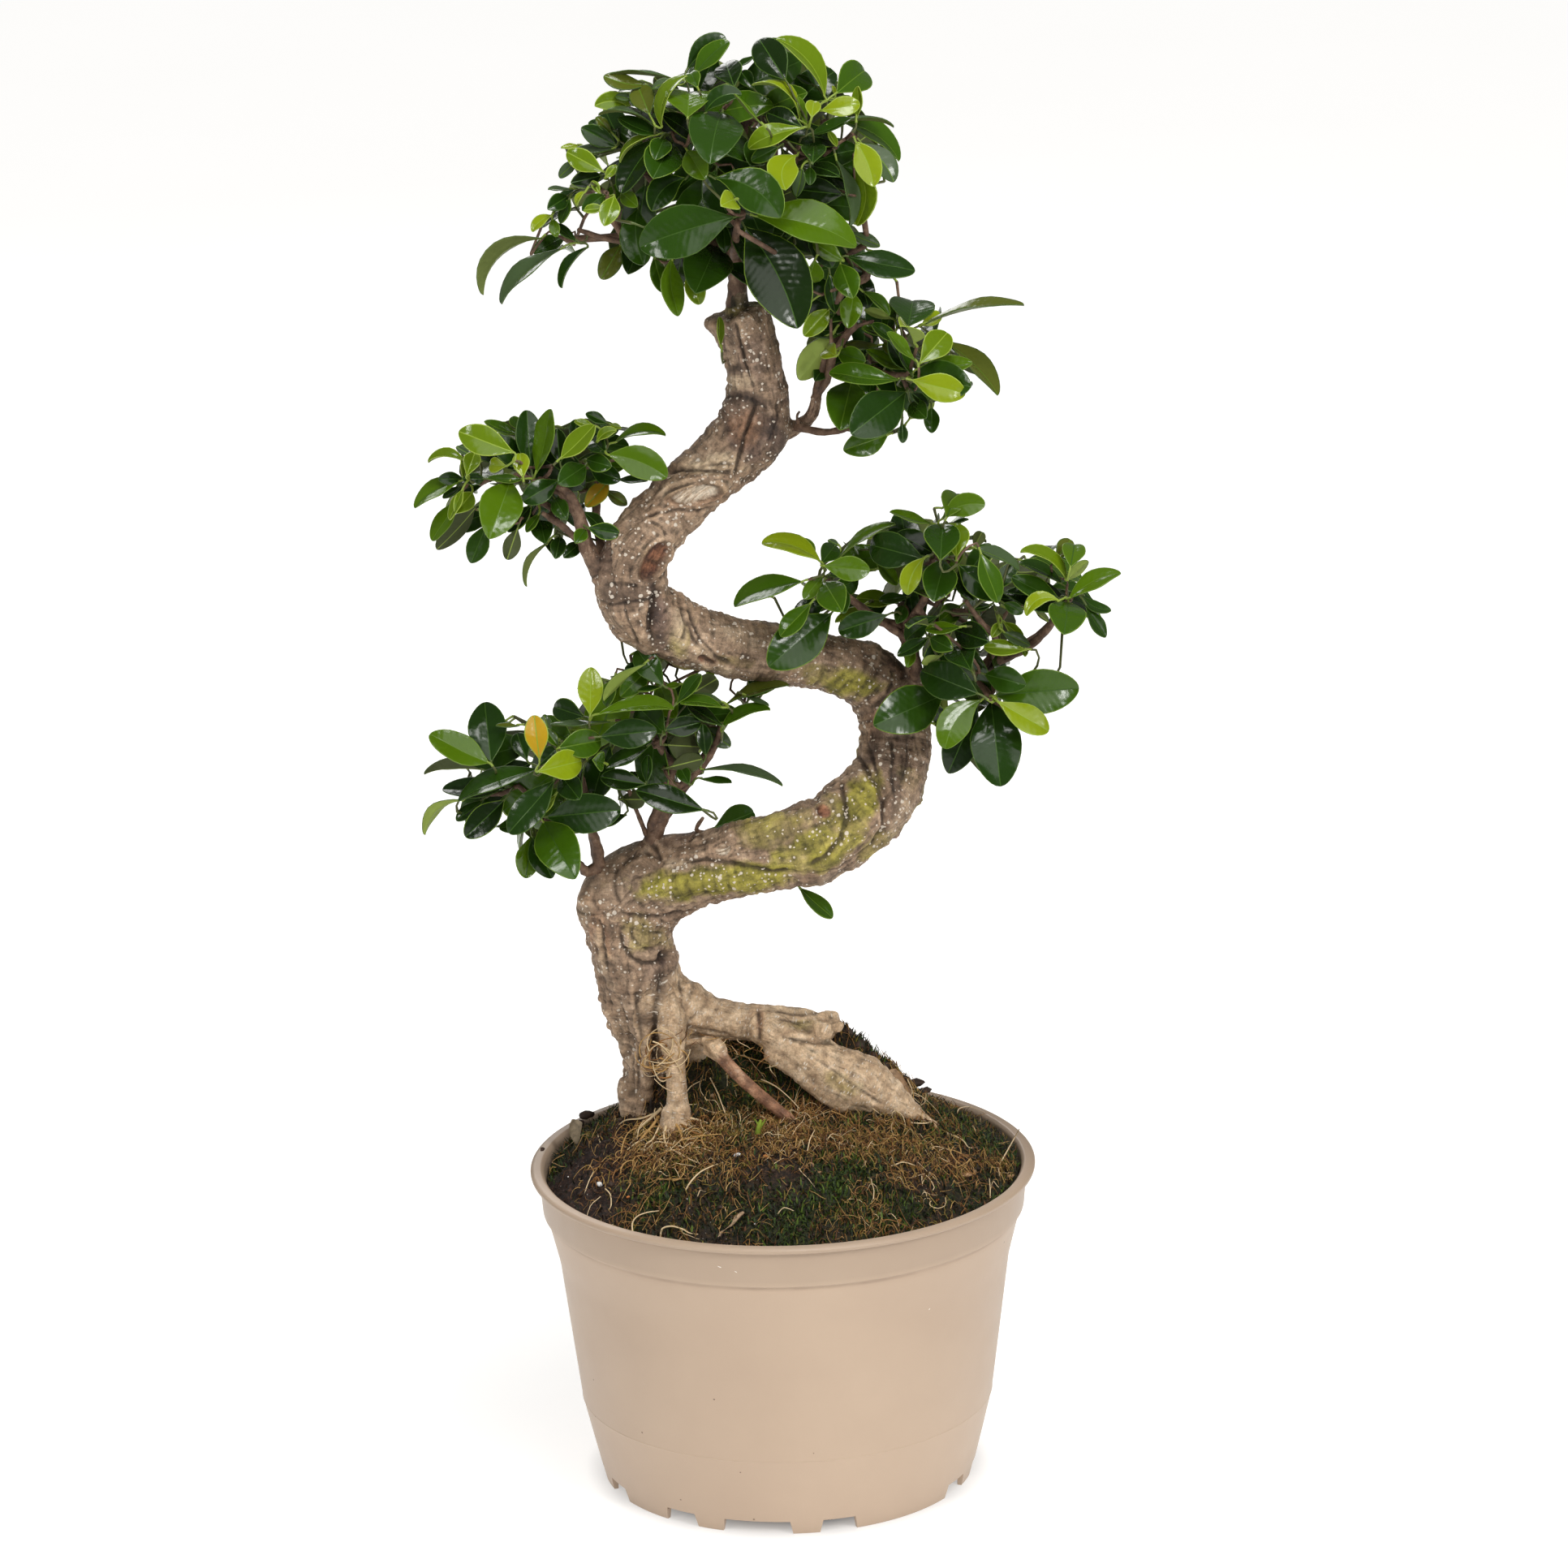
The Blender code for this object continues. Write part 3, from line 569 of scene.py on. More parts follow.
BOUGHS = {
    "bough_crown": ((-12.0, 6.0, 517.0, 5.0), (-11.0, 5.0, 532.5, 4.0), (-12.0, 4.0, 550.0, 3.5), (-12.5, 4.0, 567.5, 2.8), (-8.0, 5.0, 595.0, 2.2)),
    "bough_crown_left": ((-13.0, 3.0, 550.0, 2.5), (-27.0, 0.0, 556.5, 2.4), (-51.0, -6.0, 556.5, 2.0), (-82.0, -8.0, 556.0, 1.5)),
    "bough_right_upper": ((4.0, 8.0, 465.5, 4.0), (13.5, 6.0, 470.0, 3.0), (19.5, 4.0, 476.0, 2.5), (22.5, 4.0, 489.5, 2.0), (27.0, 3.0, 504.5, 1.8), (35.0, 4.0, 511.0, 1.5)),
    "bough_right_upper_low": ((13.0, 2.0, 470.5, 2.0), (24.0, -4.0, 469.5, 1.6), (34.0, -6.0, 471.5, 1.5)),
    "bough_left_upper": ((-65.0, -13.0, 403.0, 5.0), (-71.0, -14.0, 411.0, 4.0), (-77.5, -16.0, 424.5, 3.0), (-80.5, -16.0, 438.5, 2.5), (-88.0, -14.0, 449.0, 2.0)),
    "bough_left_upper_back": ((-64.0, -6.0, 409.0, 3.0), (-69.5, -1.0, 415.5, 2.5), (-73.0, 6.0, 427.0, 2.0), (-73.0, 9.0, 439.0, 1.8), (-69.0, 8.0, 450.0, 1.5)),
    "bough_right_mid": ((58.0, 20.0, 345.0, 5.0), (61.0, 18.0, 355.5, 4.0), (59.0, 14.0, 370.0, 3.2), (56.0, 10.0, 382.0, 3.0), (64.0, 8.0, 393.0, 2.2)),
    "bough_right_mid_left": ((55.5, 8.5, 380.0, 2.4), (46.5, 2.0, 384.5, 2.0), (36.5, -4.0, 394.0, 1.7), (27.0, -8.0, 403.0, 1.5)),
    "bough_right_mid_right": ((60.0, 22.0, 347.0, 4.5), (70.0, 24.0, 352.0, 3.5), (86.5, 22.0, 355.0, 3.0), (102.5, 20.0, 363.5, 2.4), (117.0, 16.0, 374.5, 1.8), (122.0, 12.0, 384.0, 1.5)),
    "bough_left_low": ((-57.5, 4.0, 280.0, 5.0), (-54.0, 4.0, 287.0, 3.8), (-49.0, 2.0, 297.5, 3.0), (-47.0, 2.0, 308.5, 2.8), (-47.5, 0.0, 324.0, 2.2), (-50.0, 2.0, 339.0, 1.8)),
    "bough_left_low_left": ((-74.0, 5.0, 268.0, 3.4), (-76.0, 4.0, 275.5, 2.8), (-78.0, 2.0, 285.5, 2.0), (-79.5, 1.0, 297.0, 1.7), (-82.0, 2.0, 317.0, 1.5)),
    "bough_left_low_right": ((-48.5, 5.0, 297.0, 2.5), (-36.5, 10.0, 313.0, 2.0), (-28.5, 12.0, 325.0, 1.8), (-22.5, 12.0, 336.0, 1.5)),
}

# ---------------------------------------------------------------- foliage masses
# one row: centre x, y, z, half extents along x, y, z, tilt about Y (degrees), unevenness
MASSES = {
    "foliage_crown_top": (1, 6, 614, 31, 36, 24, -6, 0.16),
    "foliage_crown_top_left": (-46, -4, 605, 23, 36, 20, 20, 0.16),
    "foliage_crown_right": (37, 2, 593, 22, 38, 29, 0, 0.15),
    "foliage_crown_left": (-65, -8, 580, 22, 36, 21, 25, 0.16),
    "foliage_crown_front": (-22, -42, 582, 30, 22, 24, 0, 0.14),
    "foliage_crown_front_right": (20, -38, 568, 26, 21, 24, -10, 0.14),
    "foliage_crown_back": (-12, 47, 573, 42, 24, 33, 0, 0.15),
    "foliage_crown_left_tip": (-98, -8, 551, 23, 14, 12, 22, 0.12),
    "foliage_crown_hang_left": (-40, -12, 545, 22, 20, 18, 0, 0.14),
    "foliage_crown_hang_front": (8, -32, 540, 17, 13, 21, 8, 0.12),
    "foliage_crown_hang_right": (46, 2, 544, 20, 22, 15, -15, 0.14),
    "foliage_right_upper_top": (54, 8, 511, 28, 28, 14, 0, 0.15),
    "foliage_right_upper_tip": (92, 5, 507, 19, 20, 17, -20, 0.13),
    "foliage_right_upper_core": (58, -8, 488, 29, 27, 17, 0, 0.15),
    "foliage_right_upper_low": (46, -2, 468, 20, 20, 12, 0, 0.13),
    "foliage_left_upper_main": (-101, 0, 464, 29, 42, 22, 8, 0.16),
    "foliage_left_upper_right": (-62, -4, 460, 20, 34, 18, -12, 0.15),
    "foliage_left_upper_left": (-134, -4, 446, 17, 28, 21, 28, 0.14),
    "foliage_left_upper_low": (-108, -14, 434, 22, 24, 14, 10, 0.14),
    "foliage_right_mid_left": (11, -12, 410, 29, 26, 16, -4, 0.14),
    "foliage_right_mid_left_low": (14, -16, 385, 16, 14, 15, -30, 0.12),
    "foliage_right_mid_top": (76, -2, 423, 23, 28, 20, 0, 0.16),
    "foliage_right_mid_core": (66, -8, 396, 26, 32, 19, 0, 0.15),
    "foliage_right_mid_back": (84, 42, 389, 33, 24, 26, 0, 0.15),
    "foliage_right_mid_right": (126, 6, 397, 23, 30, 20, -8, 0.15),
    "foliage_right_mid_low": (93, -8, 368, 20, 22, 14, 0, 0.14),
    "foliage_right_mid_front": (88, -16, 341, 25, 22, 24, 0, 0.14),
    "foliage_right_mid_low_right": (121, 0, 355, 14, 18, 13, 0, 0.13),
    "foliage_left_low_top": (-57, 6, 353, 27, 36, 20, -6, 0.16),
    "foliage_left_low_right": (-20, 8, 340, 24, 26, 19, -12, 0.15),
    "foliage_left_low_core": (-84, 4, 333, 28, 44, 22, 6, 0.16),
    "foliage_left_low_left": (-132, -6, 328, 22, 32, 25, 22, 0.15),
    "foliage_left_low_front": (-93, -24, 306, 30, 26, 17, 4, 0.15),
    "foliage_left_low_drop": (-98, -16, 287, 15, 15, 12, 0, 0.12),
}

def soil_edge(angle):
    """Level of the soil against the wall in a direction, blended between the table's rows."""
    rows = sorted(SOIL_EDGE)
    ext = [(rows[-1][0] - 360, rows[-1][1])] + list(rows) + [(rows[0][0] + 360, rows[0][1])]
    a = (math.degrees(angle) - ext[0][0]) % 360 + ext[0][0]
    for (a0, z0), (a1, z1) in zip(ext, ext[1:]):
        if a0 <= a <= a1:
            t = (a - a0) / (a1 - a0)
            t = t * t * (3 - 2 * t)
            return z0 + (z1 - z0) * t
    return rows[0][1]


def segment_distance(x, y, a, b):
    ax, ay = a
    bx, by = b
    t = ((x - ax) * (bx - ax) + (y - ay) * (by - ay)) / ((bx - ax) ** 2 + (by - ay) ** 2)
    t = max(0.0, min(1.0, t))
    return math.hypot(x - ax - t * (bx - ax), y - ay - t * (by - ay)), t


# ================================================================ small tools
def catmull(rows, i, t):
    p0 = rows[max(i - 1, 0)]
    p1, p2 = rows[i], rows[i + 1]
    p3 = rows[min(i + 2, len(rows) - 1)]
    return [0.5 * ((2 * b) + (c - a) * t + (2 * a - 5 * b + 4 * c - d) * t * t + (3 * b - a - 3 * c + d) * t ** 3)
            for a, b, c, d in zip(p0, p1, p2, p3)]


def hashed(ix, iy, iz, seed):
    h = (ix.astype(np.int64) * 374761393 + iy.astype(np.int64) * 668265263 + iz.astype(np.int64) * 2147483647 + seed * 974634777) & 0xFFFFFFFF
    h = ((h ^ (h >> 13)) * 1274126177) & 0xFFFFFFFF
    h = ((h ^ (h >> 16)) * 2246822519) & 0xFFFFFFFF
    return ((h >> 8) & 0xFFFF) / 32767.5 - 1.0


def noise3(p, seed=0):
    """Smooth value noise in -1..1 for an (n, 3) array."""
    i = np.floor(p).astype(np.int64)
    f = p - i
    f = f * f * f * (f * (f * 6 - 15) + 10)
    out = np.zeros(len(p))
    for dx in (0, 1):
        wx = f[:, 0] if dx else 1 - f[:, 0]
        for dy in (0, 1):
            wy = f[:, 1] if dy else 1 - f[:, 1]
            for dz in (0, 1):
                wz = f[:, 2] if dz else 1 - f[:, 2]
                out += wx * wy * wz * hashed(i[:, 0] + dx, i[:, 1] + dy, i[:, 2] + dz, seed)
    return out


def fbm(p, octaves=4, seed=0, gain=0.5):
    out, amp, total = np.zeros(len(p)), 1.0, 0.0
    for k in range(octaves):
        out += amp * noise3(p * (2.03 ** k) + 17.3 * k, seed + k)
        total += amp
        amp *= gain
    return out / total


def smoothstep(a, b, x):
    t = np.clip((x - a) / (b - a), 0, 1)
    return t * t * (3 - 2 * t)


class Soup:
    """Vertices, faces and material numbers of one joined piece."""

    def __init__(self):
        self.v, self.f, self.m, self.uv, self.n = [], [], [], [], 0

    def add(self, verts, faces, mats, uv=None):
        verts = np.asarray(verts, float)
        faces = np.asarray(faces, int)
        self.v.append(verts)
        self.f.append(faces + self.n)
        self.m.append(np.full(len(faces), mats, int) if np.isscalar(mats) else np.asarray(mats, int))
        if uv is not None:
            self.uv.append(uv)
        self.n += len(verts)

    def build(self, name, materials, smooth=True, sharp=None):
        me = bpy.data.meshes.new(name)
        v = np.concatenate(self.v)
        faces = [f for block in self.f for f in block.tolist()]
        me.from_pydata(v.tolist(), [], faces)
        for m in materials:
            me.materials.append(m)
        me.polygons.foreach_set("material_index", np.concatenate(self.m).astype(np.int32))
        if smooth:
            me.shade_smooth()
        if sharp is not None:
            me.set_sharp_from_angle(angle=math.radians(sharp))
        me.update()
        ob = bpy.data.objects.new(name, me)
        bpy.context.scene.collection.objects.link(ob)
        return ob


def carry(ob, slot, *nodes):
    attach(ob, "root")
    if nodes:
        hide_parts(*nodes)
    return ob


def frame_along(points):
    """Tangent, side and up vectors along a path, carried without twist."""
    n = len(points)
    tang = np.gradient(points, axis=0)
    tang /= np.linalg.norm(tang, axis=1)[:, None] + 1e-12
    side = np.cross(tang[0], [0.0, 0.0, 1.0])
    if np.linalg.norm(side) < 0.2:
        side = np.cross(tang[0], [0.0, 1.0, 0.0])
    sides = np.zeros((n, 3))
    for i in range(n):
        side = side - tang[i] * np.dot(side, tang[i])
        side /= np.linalg.norm(side) + 1e-12
        sides[i] = side
    return tang, sides, np.cross(tang, sides)


def tube(soup, points, radii, sides, mat, cap=True, flat=1.0):
    """Round tube through points, joined to a soup."""
    points = np.asarray(points, float)
    radii = np.asarray(radii, float)
    tang, sd, up = frame_along(points)
    a = np.arange(sides) * (2 * math.pi / sides)
    ring = (sd[:, None, :] * np.cos(a)[None, :, None] + up[:, None, :] * (np.sin(a) * flat)[None, :, None]) * radii[:, None, None] + points[:, None, :]
    n = len(points)
    verts = ring.reshape(-1, 3)
    faces = []
    for i in range(n - 1):
        for k in range(sides):
            j = (k + 1) % sides
            faces.append((i * sides + k, i * sides + j, (i + 1) * sides + j, (i + 1) * sides + k))
    soup.add(verts, faces, mat)
    if cap:
        for end, order in ((0, -1), (n - 1, 1)):
            mid = soup.n
            tip = points[end] + tang[end] * (radii[end] * 0.5 * (1 if end else -1))
            fan = []
            for k in range(sides):
                j = (k + 1) % sides
                fan.append((k, j, sides) if order > 0 else (j, k, sides))
            soup.add(np.vstack([ring[end], tip[None]]), fan, mat)


# ================================================================ materials
class Shader:
    def __init__(self, name, colour=(0.5, 0.5, 0.5), rough=0.5, **sockets):
        self.mat = bpy.data.materials.new(name)
        self.mat.use_nodes = True
        self.nt = self.mat.node_tree
        self.bsdf = self.nt.nodes["Principled BSDF"]
        self.bsdf.inputs["Base Color"].default_value = (*colour, 1.0)
        self.bsdf.inputs["Roughness"].default_value = rough
        for k, v in sockets.items():
            self.bsdf.inputs[k.replace("_", " ")].default_value = v
        self.mat.diffuse_color = (*colour, 1.0)

    def node(self, kind, **props):
        n = self.nt.nodes.new(kind)
        for k, v in props.items():
            setattr(n, k, v)
        return n

    def link(self, a, b):
        self.nt.links.new(a, b)

    def place(self, kind="Object"):
        n = self.node("ShaderNodeTexCoord")
        return n.outputs[kind]

    def scaled(self, vector, scale):
        n = self.node("ShaderNodeMapping")
        n.inputs["Scale"].default_value = scale if hasattr(scale, "__len__") else (scale, scale, scale)
        self.link(vector, n.inputs["Vector"])
        return n.outputs["Vector"]

    def noise(self, vector, scale, detail=4.0, rough=0.55, distortion=0.0):
        n = self.node("ShaderNodeTexNoise")
        n.inputs["Scale"].default_value = scale
        n.inputs["Detail"].default_value = detail
        n.inputs["Roughness"].default_value = rough
        n.inputs["Distortion"].default_value = distortion
        self.link(vector, n.inputs["Vector"])
        return n.outputs["Fac"]

    def voronoi(self, vector, scale, feature="F1", randomness=1.0):
        n = self.node("ShaderNodeTexVoronoi", feature=feature)
        n.inputs["Scale"].default_value = scale
        n.inputs["Randomness"].default_value = randomness
        self.link(vector, n.inputs["Vector"])
        return n

    def ramp(self, fac, stops, interpolation="LINEAR"):
        n = self.node("ShaderNodeValToRGB")
        n.color_ramp.interpolation = interpolation
        el = n.color_ramp.elements
        while len(el) < len(stops):
            el.new(0.5)
        for e, (pos, col) in zip(el, stops):
            e.position = pos
            e.color = (*col, 1.0) if hasattr(col, "__len__") else (col, col, col, 1.0)
        self.link(fac, n.inputs["Fac"])
        return n.outputs["Color"]

    def attr(self, name):
        n = self.node("ShaderNodeAttribute", attribute_name=name)
        return n.outputs["Fac"]

    def math(self, op, a, b=None, clamp=False):
        n = self.node("ShaderNodeMath", operation=op, use_clamp=clamp)
        for k, x in enumerate((a, b)):
            if x is None:
                continue
            if isinstance(x, (int, float)):
                n.inputs[k].default_value = x
            else:
                self.link(x, n.inputs[k])
        return n.outputs[0]

    def mix(self, fac, a, b, blend="MIX"):
        n = self.node("ShaderNodeMix", data_type="RGBA", blend_type=blend)
        for sock, x in ((n.inputs[0], fac), (n.inputs[6], a), (n.inputs[7], b)):
            if isinstance(x, (int, float)):
                sock.default_value = x
            elif hasattr(x, "__len__"):
                sock.default_value = (*x, 1.0)
            else:
                self.link(x, sock)
        return n.outputs[2]

    def colour(self, c):
        self.link(c, self.bsdf.inputs["Base Color"])

    def rough(self, fac, lo, hi):
        n = self.node("ShaderNodeMapRange")
        n.inputs["To Min"].default_value = lo
        n.inputs["To Max"].default_value = hi
        self.link(fac, n.inputs["Value"])
        self.link(n.outputs["Result"], self.bsdf.inputs["Roughness"])

    def bump(self, height, strength, distance, before=None):
        n = self.node("ShaderNodeBump")
        n.inputs["Strength"].default_value = strength
        n.inputs["Distance"].default_value = distance
        self.link(height, n.inputs["Height"])
        if before is not None:
            self.link(before, n.inputs["Normal"])
        self.link(n.outputs["Normal"], self.bsdf.inputs["Normal"])
        return n.outputs["Normal"]


# leaf blades: plain base colours, dealt out leaf by leaf, under one waxy finish
TONES = {
    # K: the darkest green, partly painted shade, for blades that sit in shade
    "K": (0.007, 0.020, 0.002),
    "D": (0.012, 0.037, 0.003),
    "E": (0.019, 0.054, 0.003),
    "M": (0.038, 0.092, 0.003),
    "N": (0.067, 0.134, 0.003),
    "L": (0.108, 0.178, 0.004),
    "Y": (0.200, 0.268, 0.006),
    "O": (0.085, 0.105, 0.012),
    "A": (0.420, 0.260, 0.012),
    # G: grey-green, painted sheen, for blades that show a pale reflection
    "G": (0.060, 0.095, 0.040),
}
UNDER = {
    "under_dark": (0.060, 0.075, 0.024),
    "under_mid": (0.120, 0.150, 0.040),
    "under_light": (0.230, 0.300, 0.060),
}
EDGES = {
    "rim_dark": (0.050, 0.100, 0.012),
    "rim_mid": (0.120, 0.200, 0.018),
    "rim_light": (0.270, 0.360, 0.045),
    "rib_dark": (0.034, 0.082, 0.008),
    "rib_mid": (0.085, 0.160, 0.010),
    "rib_light": (0.210, 0.300, 0.024),
}


def leaf_material(name, colour, rough_lo, rough_hi, coat, veins=0.35):
    s = Shader("leaf_" + name, colour, 0.3)
    s.bsdf.inputs["Coat Weight"].default_value = coat
    s.bsdf.inputs["Coat Roughness"].default_value = 0.09
    s.bsdf.inputs["Specular IOR Level"].default_value = 0.22
    uv = s.node("ShaderNodeUVMap", uv_map="Blade").outputs["UV"]
    obj = s.place("Object")
    s.rough(s.noise(obj, 220.0, 3.0), rough_lo, rough_hi)
    # side veins run out from the midrib at a slant; a slow swell lies under them
    parts = s.node("ShaderNodeSeparateXYZ")
    s.link(uv, parts.inputs[0])
    slant = s.math("SUBTRACT", parts.outputs["Y"], s.math("MULTIPLY", s.math("ABSOLUTE", parts.outputs["X"]), 0.55))
    wave = s.math("SINE", s.math("MULTIPLY", slant, 2 * math.pi / 0.0030))
    swell = s.noise(obj, 95.0, 2.0)
    fine = s.noise(obj, 900.0, 2.0)
    h = s.math("ADD", s.math("MULTIPLY", wave, 0.05), s.math("ADD", s.math("MULTIPLY", swell, 2.2), s.math("MULTIPLY", fine, 0.10)))
    s.bump(h, veins, 0.0011)
    return s.mat


# ================================================================ leaves
class Weave:
    """How a blade is divided: rows along it, columns across half of it."""

    def __init__(self, rows, inner):
        self.u = np.array(rows)
        self.inner = inner                       # shares between rib and rim, from the rim inwards
        self.cols = cols = 2 * (len(inner) + 3)
        n = len(rows)
        grid = np.arange(n * cols).reshape(n, cols)
        top = np.stack([grid[:-1, :-1], grid[:-1, 1:], grid[1:, 1:], grid[1:, :-1]], -1).reshape(-1, 4)
        strip = np.tile(np.arange(cols - 1), n - 1)
        off = n * cols
        edge = []
        for i in range(n - 1):
            for c, flip in ((0, False), (cols - 1, True)):
                q = (grid[i, c], grid[i + 1, c], grid[i + 1, c] + off, grid[i, c] + off)
                edge.append(q[::-1] if flip else q)
        for c in range(cols - 1):
            edge.append((grid[0, c + 1], grid[0, c], grid[0, c] + off, grid[0, c + 1] + off))
            edge.append((grid[-1, c], grid[-1, c + 1], grid[-1, c + 1] + off, grid[-1, c] + off))
        self.top, self.n_edge = top, len(edge)
        self.faces = np.vstack([top, top[:, ::-1] + off, np.array(edge)])
        self.rim = np.isin(strip, (0, cols - 2))
        self.rib = strip == (cols - 2) // 2


FINE = Weave([0, .03, .08, .16, .26, .37, .48, .59, .69, .78, .86, .92, .965, .99, 1.0], (0.62, 0.30))
PLAIN = Weave([0, .05, .14, .27, .42, .57, .71, .83, .92, .98, 1.0], ())


def outline(u, wide_at, base_pow, tip_pow):
    """Half width of a blade along its length, 0..1."""
    a = math.log(0.5) / math.log(wide_at)
    s = np.sin(math.pi * np.clip(u, 0, 1) ** a)
    p = np.where(u < wide_at, base_pow, tip_pow)
    return np.clip(s, 0, 1) ** p


class Leaf:
    """One blade: base, chord to the tip, normal of the upper side, and its curves."""

    __slots__ = ("base", "tip", "normal", "width", "sway", "bend", "fold", "cup", "wave", "phase", "wide_at", "tip_pow", "curl", "twist", "tone", "under", "rim", "rib", "region", "weave")

    def __init__(self, base, tip, normal, width, tone, **kw):
        self.base, self.tip, self.width, self.tone = np.array(base, float), np.array(tip, float), width, tone
        self.normal = np.array(normal, float)
        self.sway = np.array(kw.get("sway", (0, 0, 0)), float)
        self.bend = kw.get("bend", 0.06)
        self.fold = kw.get("fold", 0.2)
        self.cup = kw.get("cup", 0.06)
        self.wave = kw.get("wave", 0.02)
        self.phase = kw.get("phase", 0.0)
        self.wide_at = kw.get("wide_at", 0.56)
        self.tip_pow = kw.get("tip_pow", 0.62)
        self.curl = kw.get("curl", 0.0)
        self.twist = kw.get("twist", 0.0)
        self.under = kw.get("under", "under_dark")
        self.rim = kw.get("rim", "rim_dark")
        self.rib = kw.get("rib", "rib_dark")
        self.region = kw.get("region", "")
        self.weave = kw.get("weave", FINE)

    def sheet(self, weave=None):
        """Upper surface: (rows, columns, 3) points, and its local normals."""
        weave = weave or self.weave
        u, cols = weave.u, weave.cols
        chord = self.tip - self.base
        length = np.linalg.norm(chord)
        axis = chord / length
        nrm = self.normal - axis * np.dot(self.normal, axis)
        nrm /= np.linalg.norm(nrm)
        arch = 4 * u * (1 - u)
        mid = self.base[None] + chord[None] * u[:, None] + self.sway[None] * arch[:, None]
        mid = mid + nrm[None] * (arch * self.bend * length)[:, None]
        # the end droops a little more than the arch
        mid = mid - nrm[None] * (self.curl * length * np.clip((u - 0.7) / 0.3, 0, 1) ** 2)[:, None]
        tang = np.gradient(mid, u, axis=0)
        tang /= np.linalg.norm(tang, axis=1)[:, None]
        side = np.cross(axis, nrm)
        side = side[None] - tang * (tang @ side)[:, None]
        side /= np.linalg.norm(side, axis=1)[:, None]
        up = np.cross(side, tang)
        if self.twist:
            a = self.twist * (u - 0.4)
            side, up = side * np.cos(a)[:, None] + up * np.sin(a)[:, None], up * np.cos(a)[:, None] - side * np.sin(a)[:, None]
        half = outline(u, self.wide_at, 1.0, self.tip_pow) * self.width / 2
        half = np.maximum(half, 0.00045)
        half[-1] = 0.0002
        rib = np.clip(0.00024 / half, 0.02, 0.5)
        rim = np.clip(1 - 0.00042 / half, 0.55, 0.97)
        v = np.zeros((len(u), cols))
        steps = [np.ones(len(u)), rim] + [rib + (rim - rib) * f for f in weave.inner] + [rib]
        for k, x in enumerate(steps):
            v[:, k] = -x
            v[:, cols - 1 - k] = x
        av = np.abs(v)
        hw = half[:, None]
        ripple = np.sin(u[:, None] * 9.0 + self.phase + np.sign(v) * 1.3) * self.wave * length * av ** 3 * arch[:, None]
        rise = av * hw * math.sin(self.fold) - (av ** 2) * hw * self.cup + ripple
        groove = -0.00022 * np.exp(-(av * hw / 0.0007) ** 2)
        pts = mid[:, None, :] + side[:, None, :] * (v * hw * math.cos(self.fold))[:, :, None] + up[:, None, :] * (rise + groove)[:, :, None]
        return pts, side, up, v * hw, u * length

    def spots(self):
        """A few points over the blade, to keep leaves apart."""
        pts = self.sheet(PLAIN)[0]
        mids = (pts[:-1] + pts[1:]) / 2
        return np.concatenate([pts[1:-1, :2], pts[1:-1, 2:4], pts[1:-1, 4:], (pts[1:-1, 1:2] + pts[1:-1, 2:3]) / 2, (pts[1:-1, 3:4] + pts[1:-1, 4:5]) / 2, mids[1:, ::5]], 1).reshape(-1, 3)


LEAF_SLOTS = list(TONES) + list(UNDER) + list(EDGES)


def add_leaf(soup, leaf, index, uvs):
    pts, side, up, x, y = leaf.sheet()
    w = leaf.weave
    thick = 0.00032 + 0.00016 * np.exp(-(x / 0.0008) ** 2)
    low = pts - up[:, None, :] * thick[:, :, None]
    verts = np.concatenate([pts.reshape(-1, 3), low.reshape(-1, 3)])
    slot = {n: i for i, n in enumerate(LEAF_SLOTS)}
    top = np.full(len(w.top), slot[leaf.tone])
    top[w.rim] = slot[leaf.rim]
    top[w.rib] = slot[leaf.rib]
    bottom = np.full(len(w.top), slot[leaf.under])
    bottom[w.rib] = slot["under_light"]
    soup.add(verts, w.faces, np.concatenate([top, bottom, np.full(w.n_edge, slot[leaf.rim])]))
    blade = np.stack([x, np.broadcast_to(y[:, None], x.shape)], -1).reshape(-1, 2)
    uvs.append(np.vstack([blade, blade]))


def rims_for(tone):
    if tone in "LYA":
        return {"rim": "rim_light", "rib": "rib_light", "under": "under_light"}
    if tone in "MN":
        return {"rim": "rim_mid", "rib": "rib_mid" if rnd.random() < 0.6 else "rib_dark", "under": "under_mid"}
    if tone in "OG":
        return {"rim": "rim_dark", "rib": "rib_mid", "under": "under_mid"}
    return {"rim": "rim_mid" if rnd.random() < 0.25 else "rim_dark", "rib": "rib_dark", "under": "under_dark"}


SHAPE = 0.54             # width of a blade as a share of its length
LONGEST = 0.050


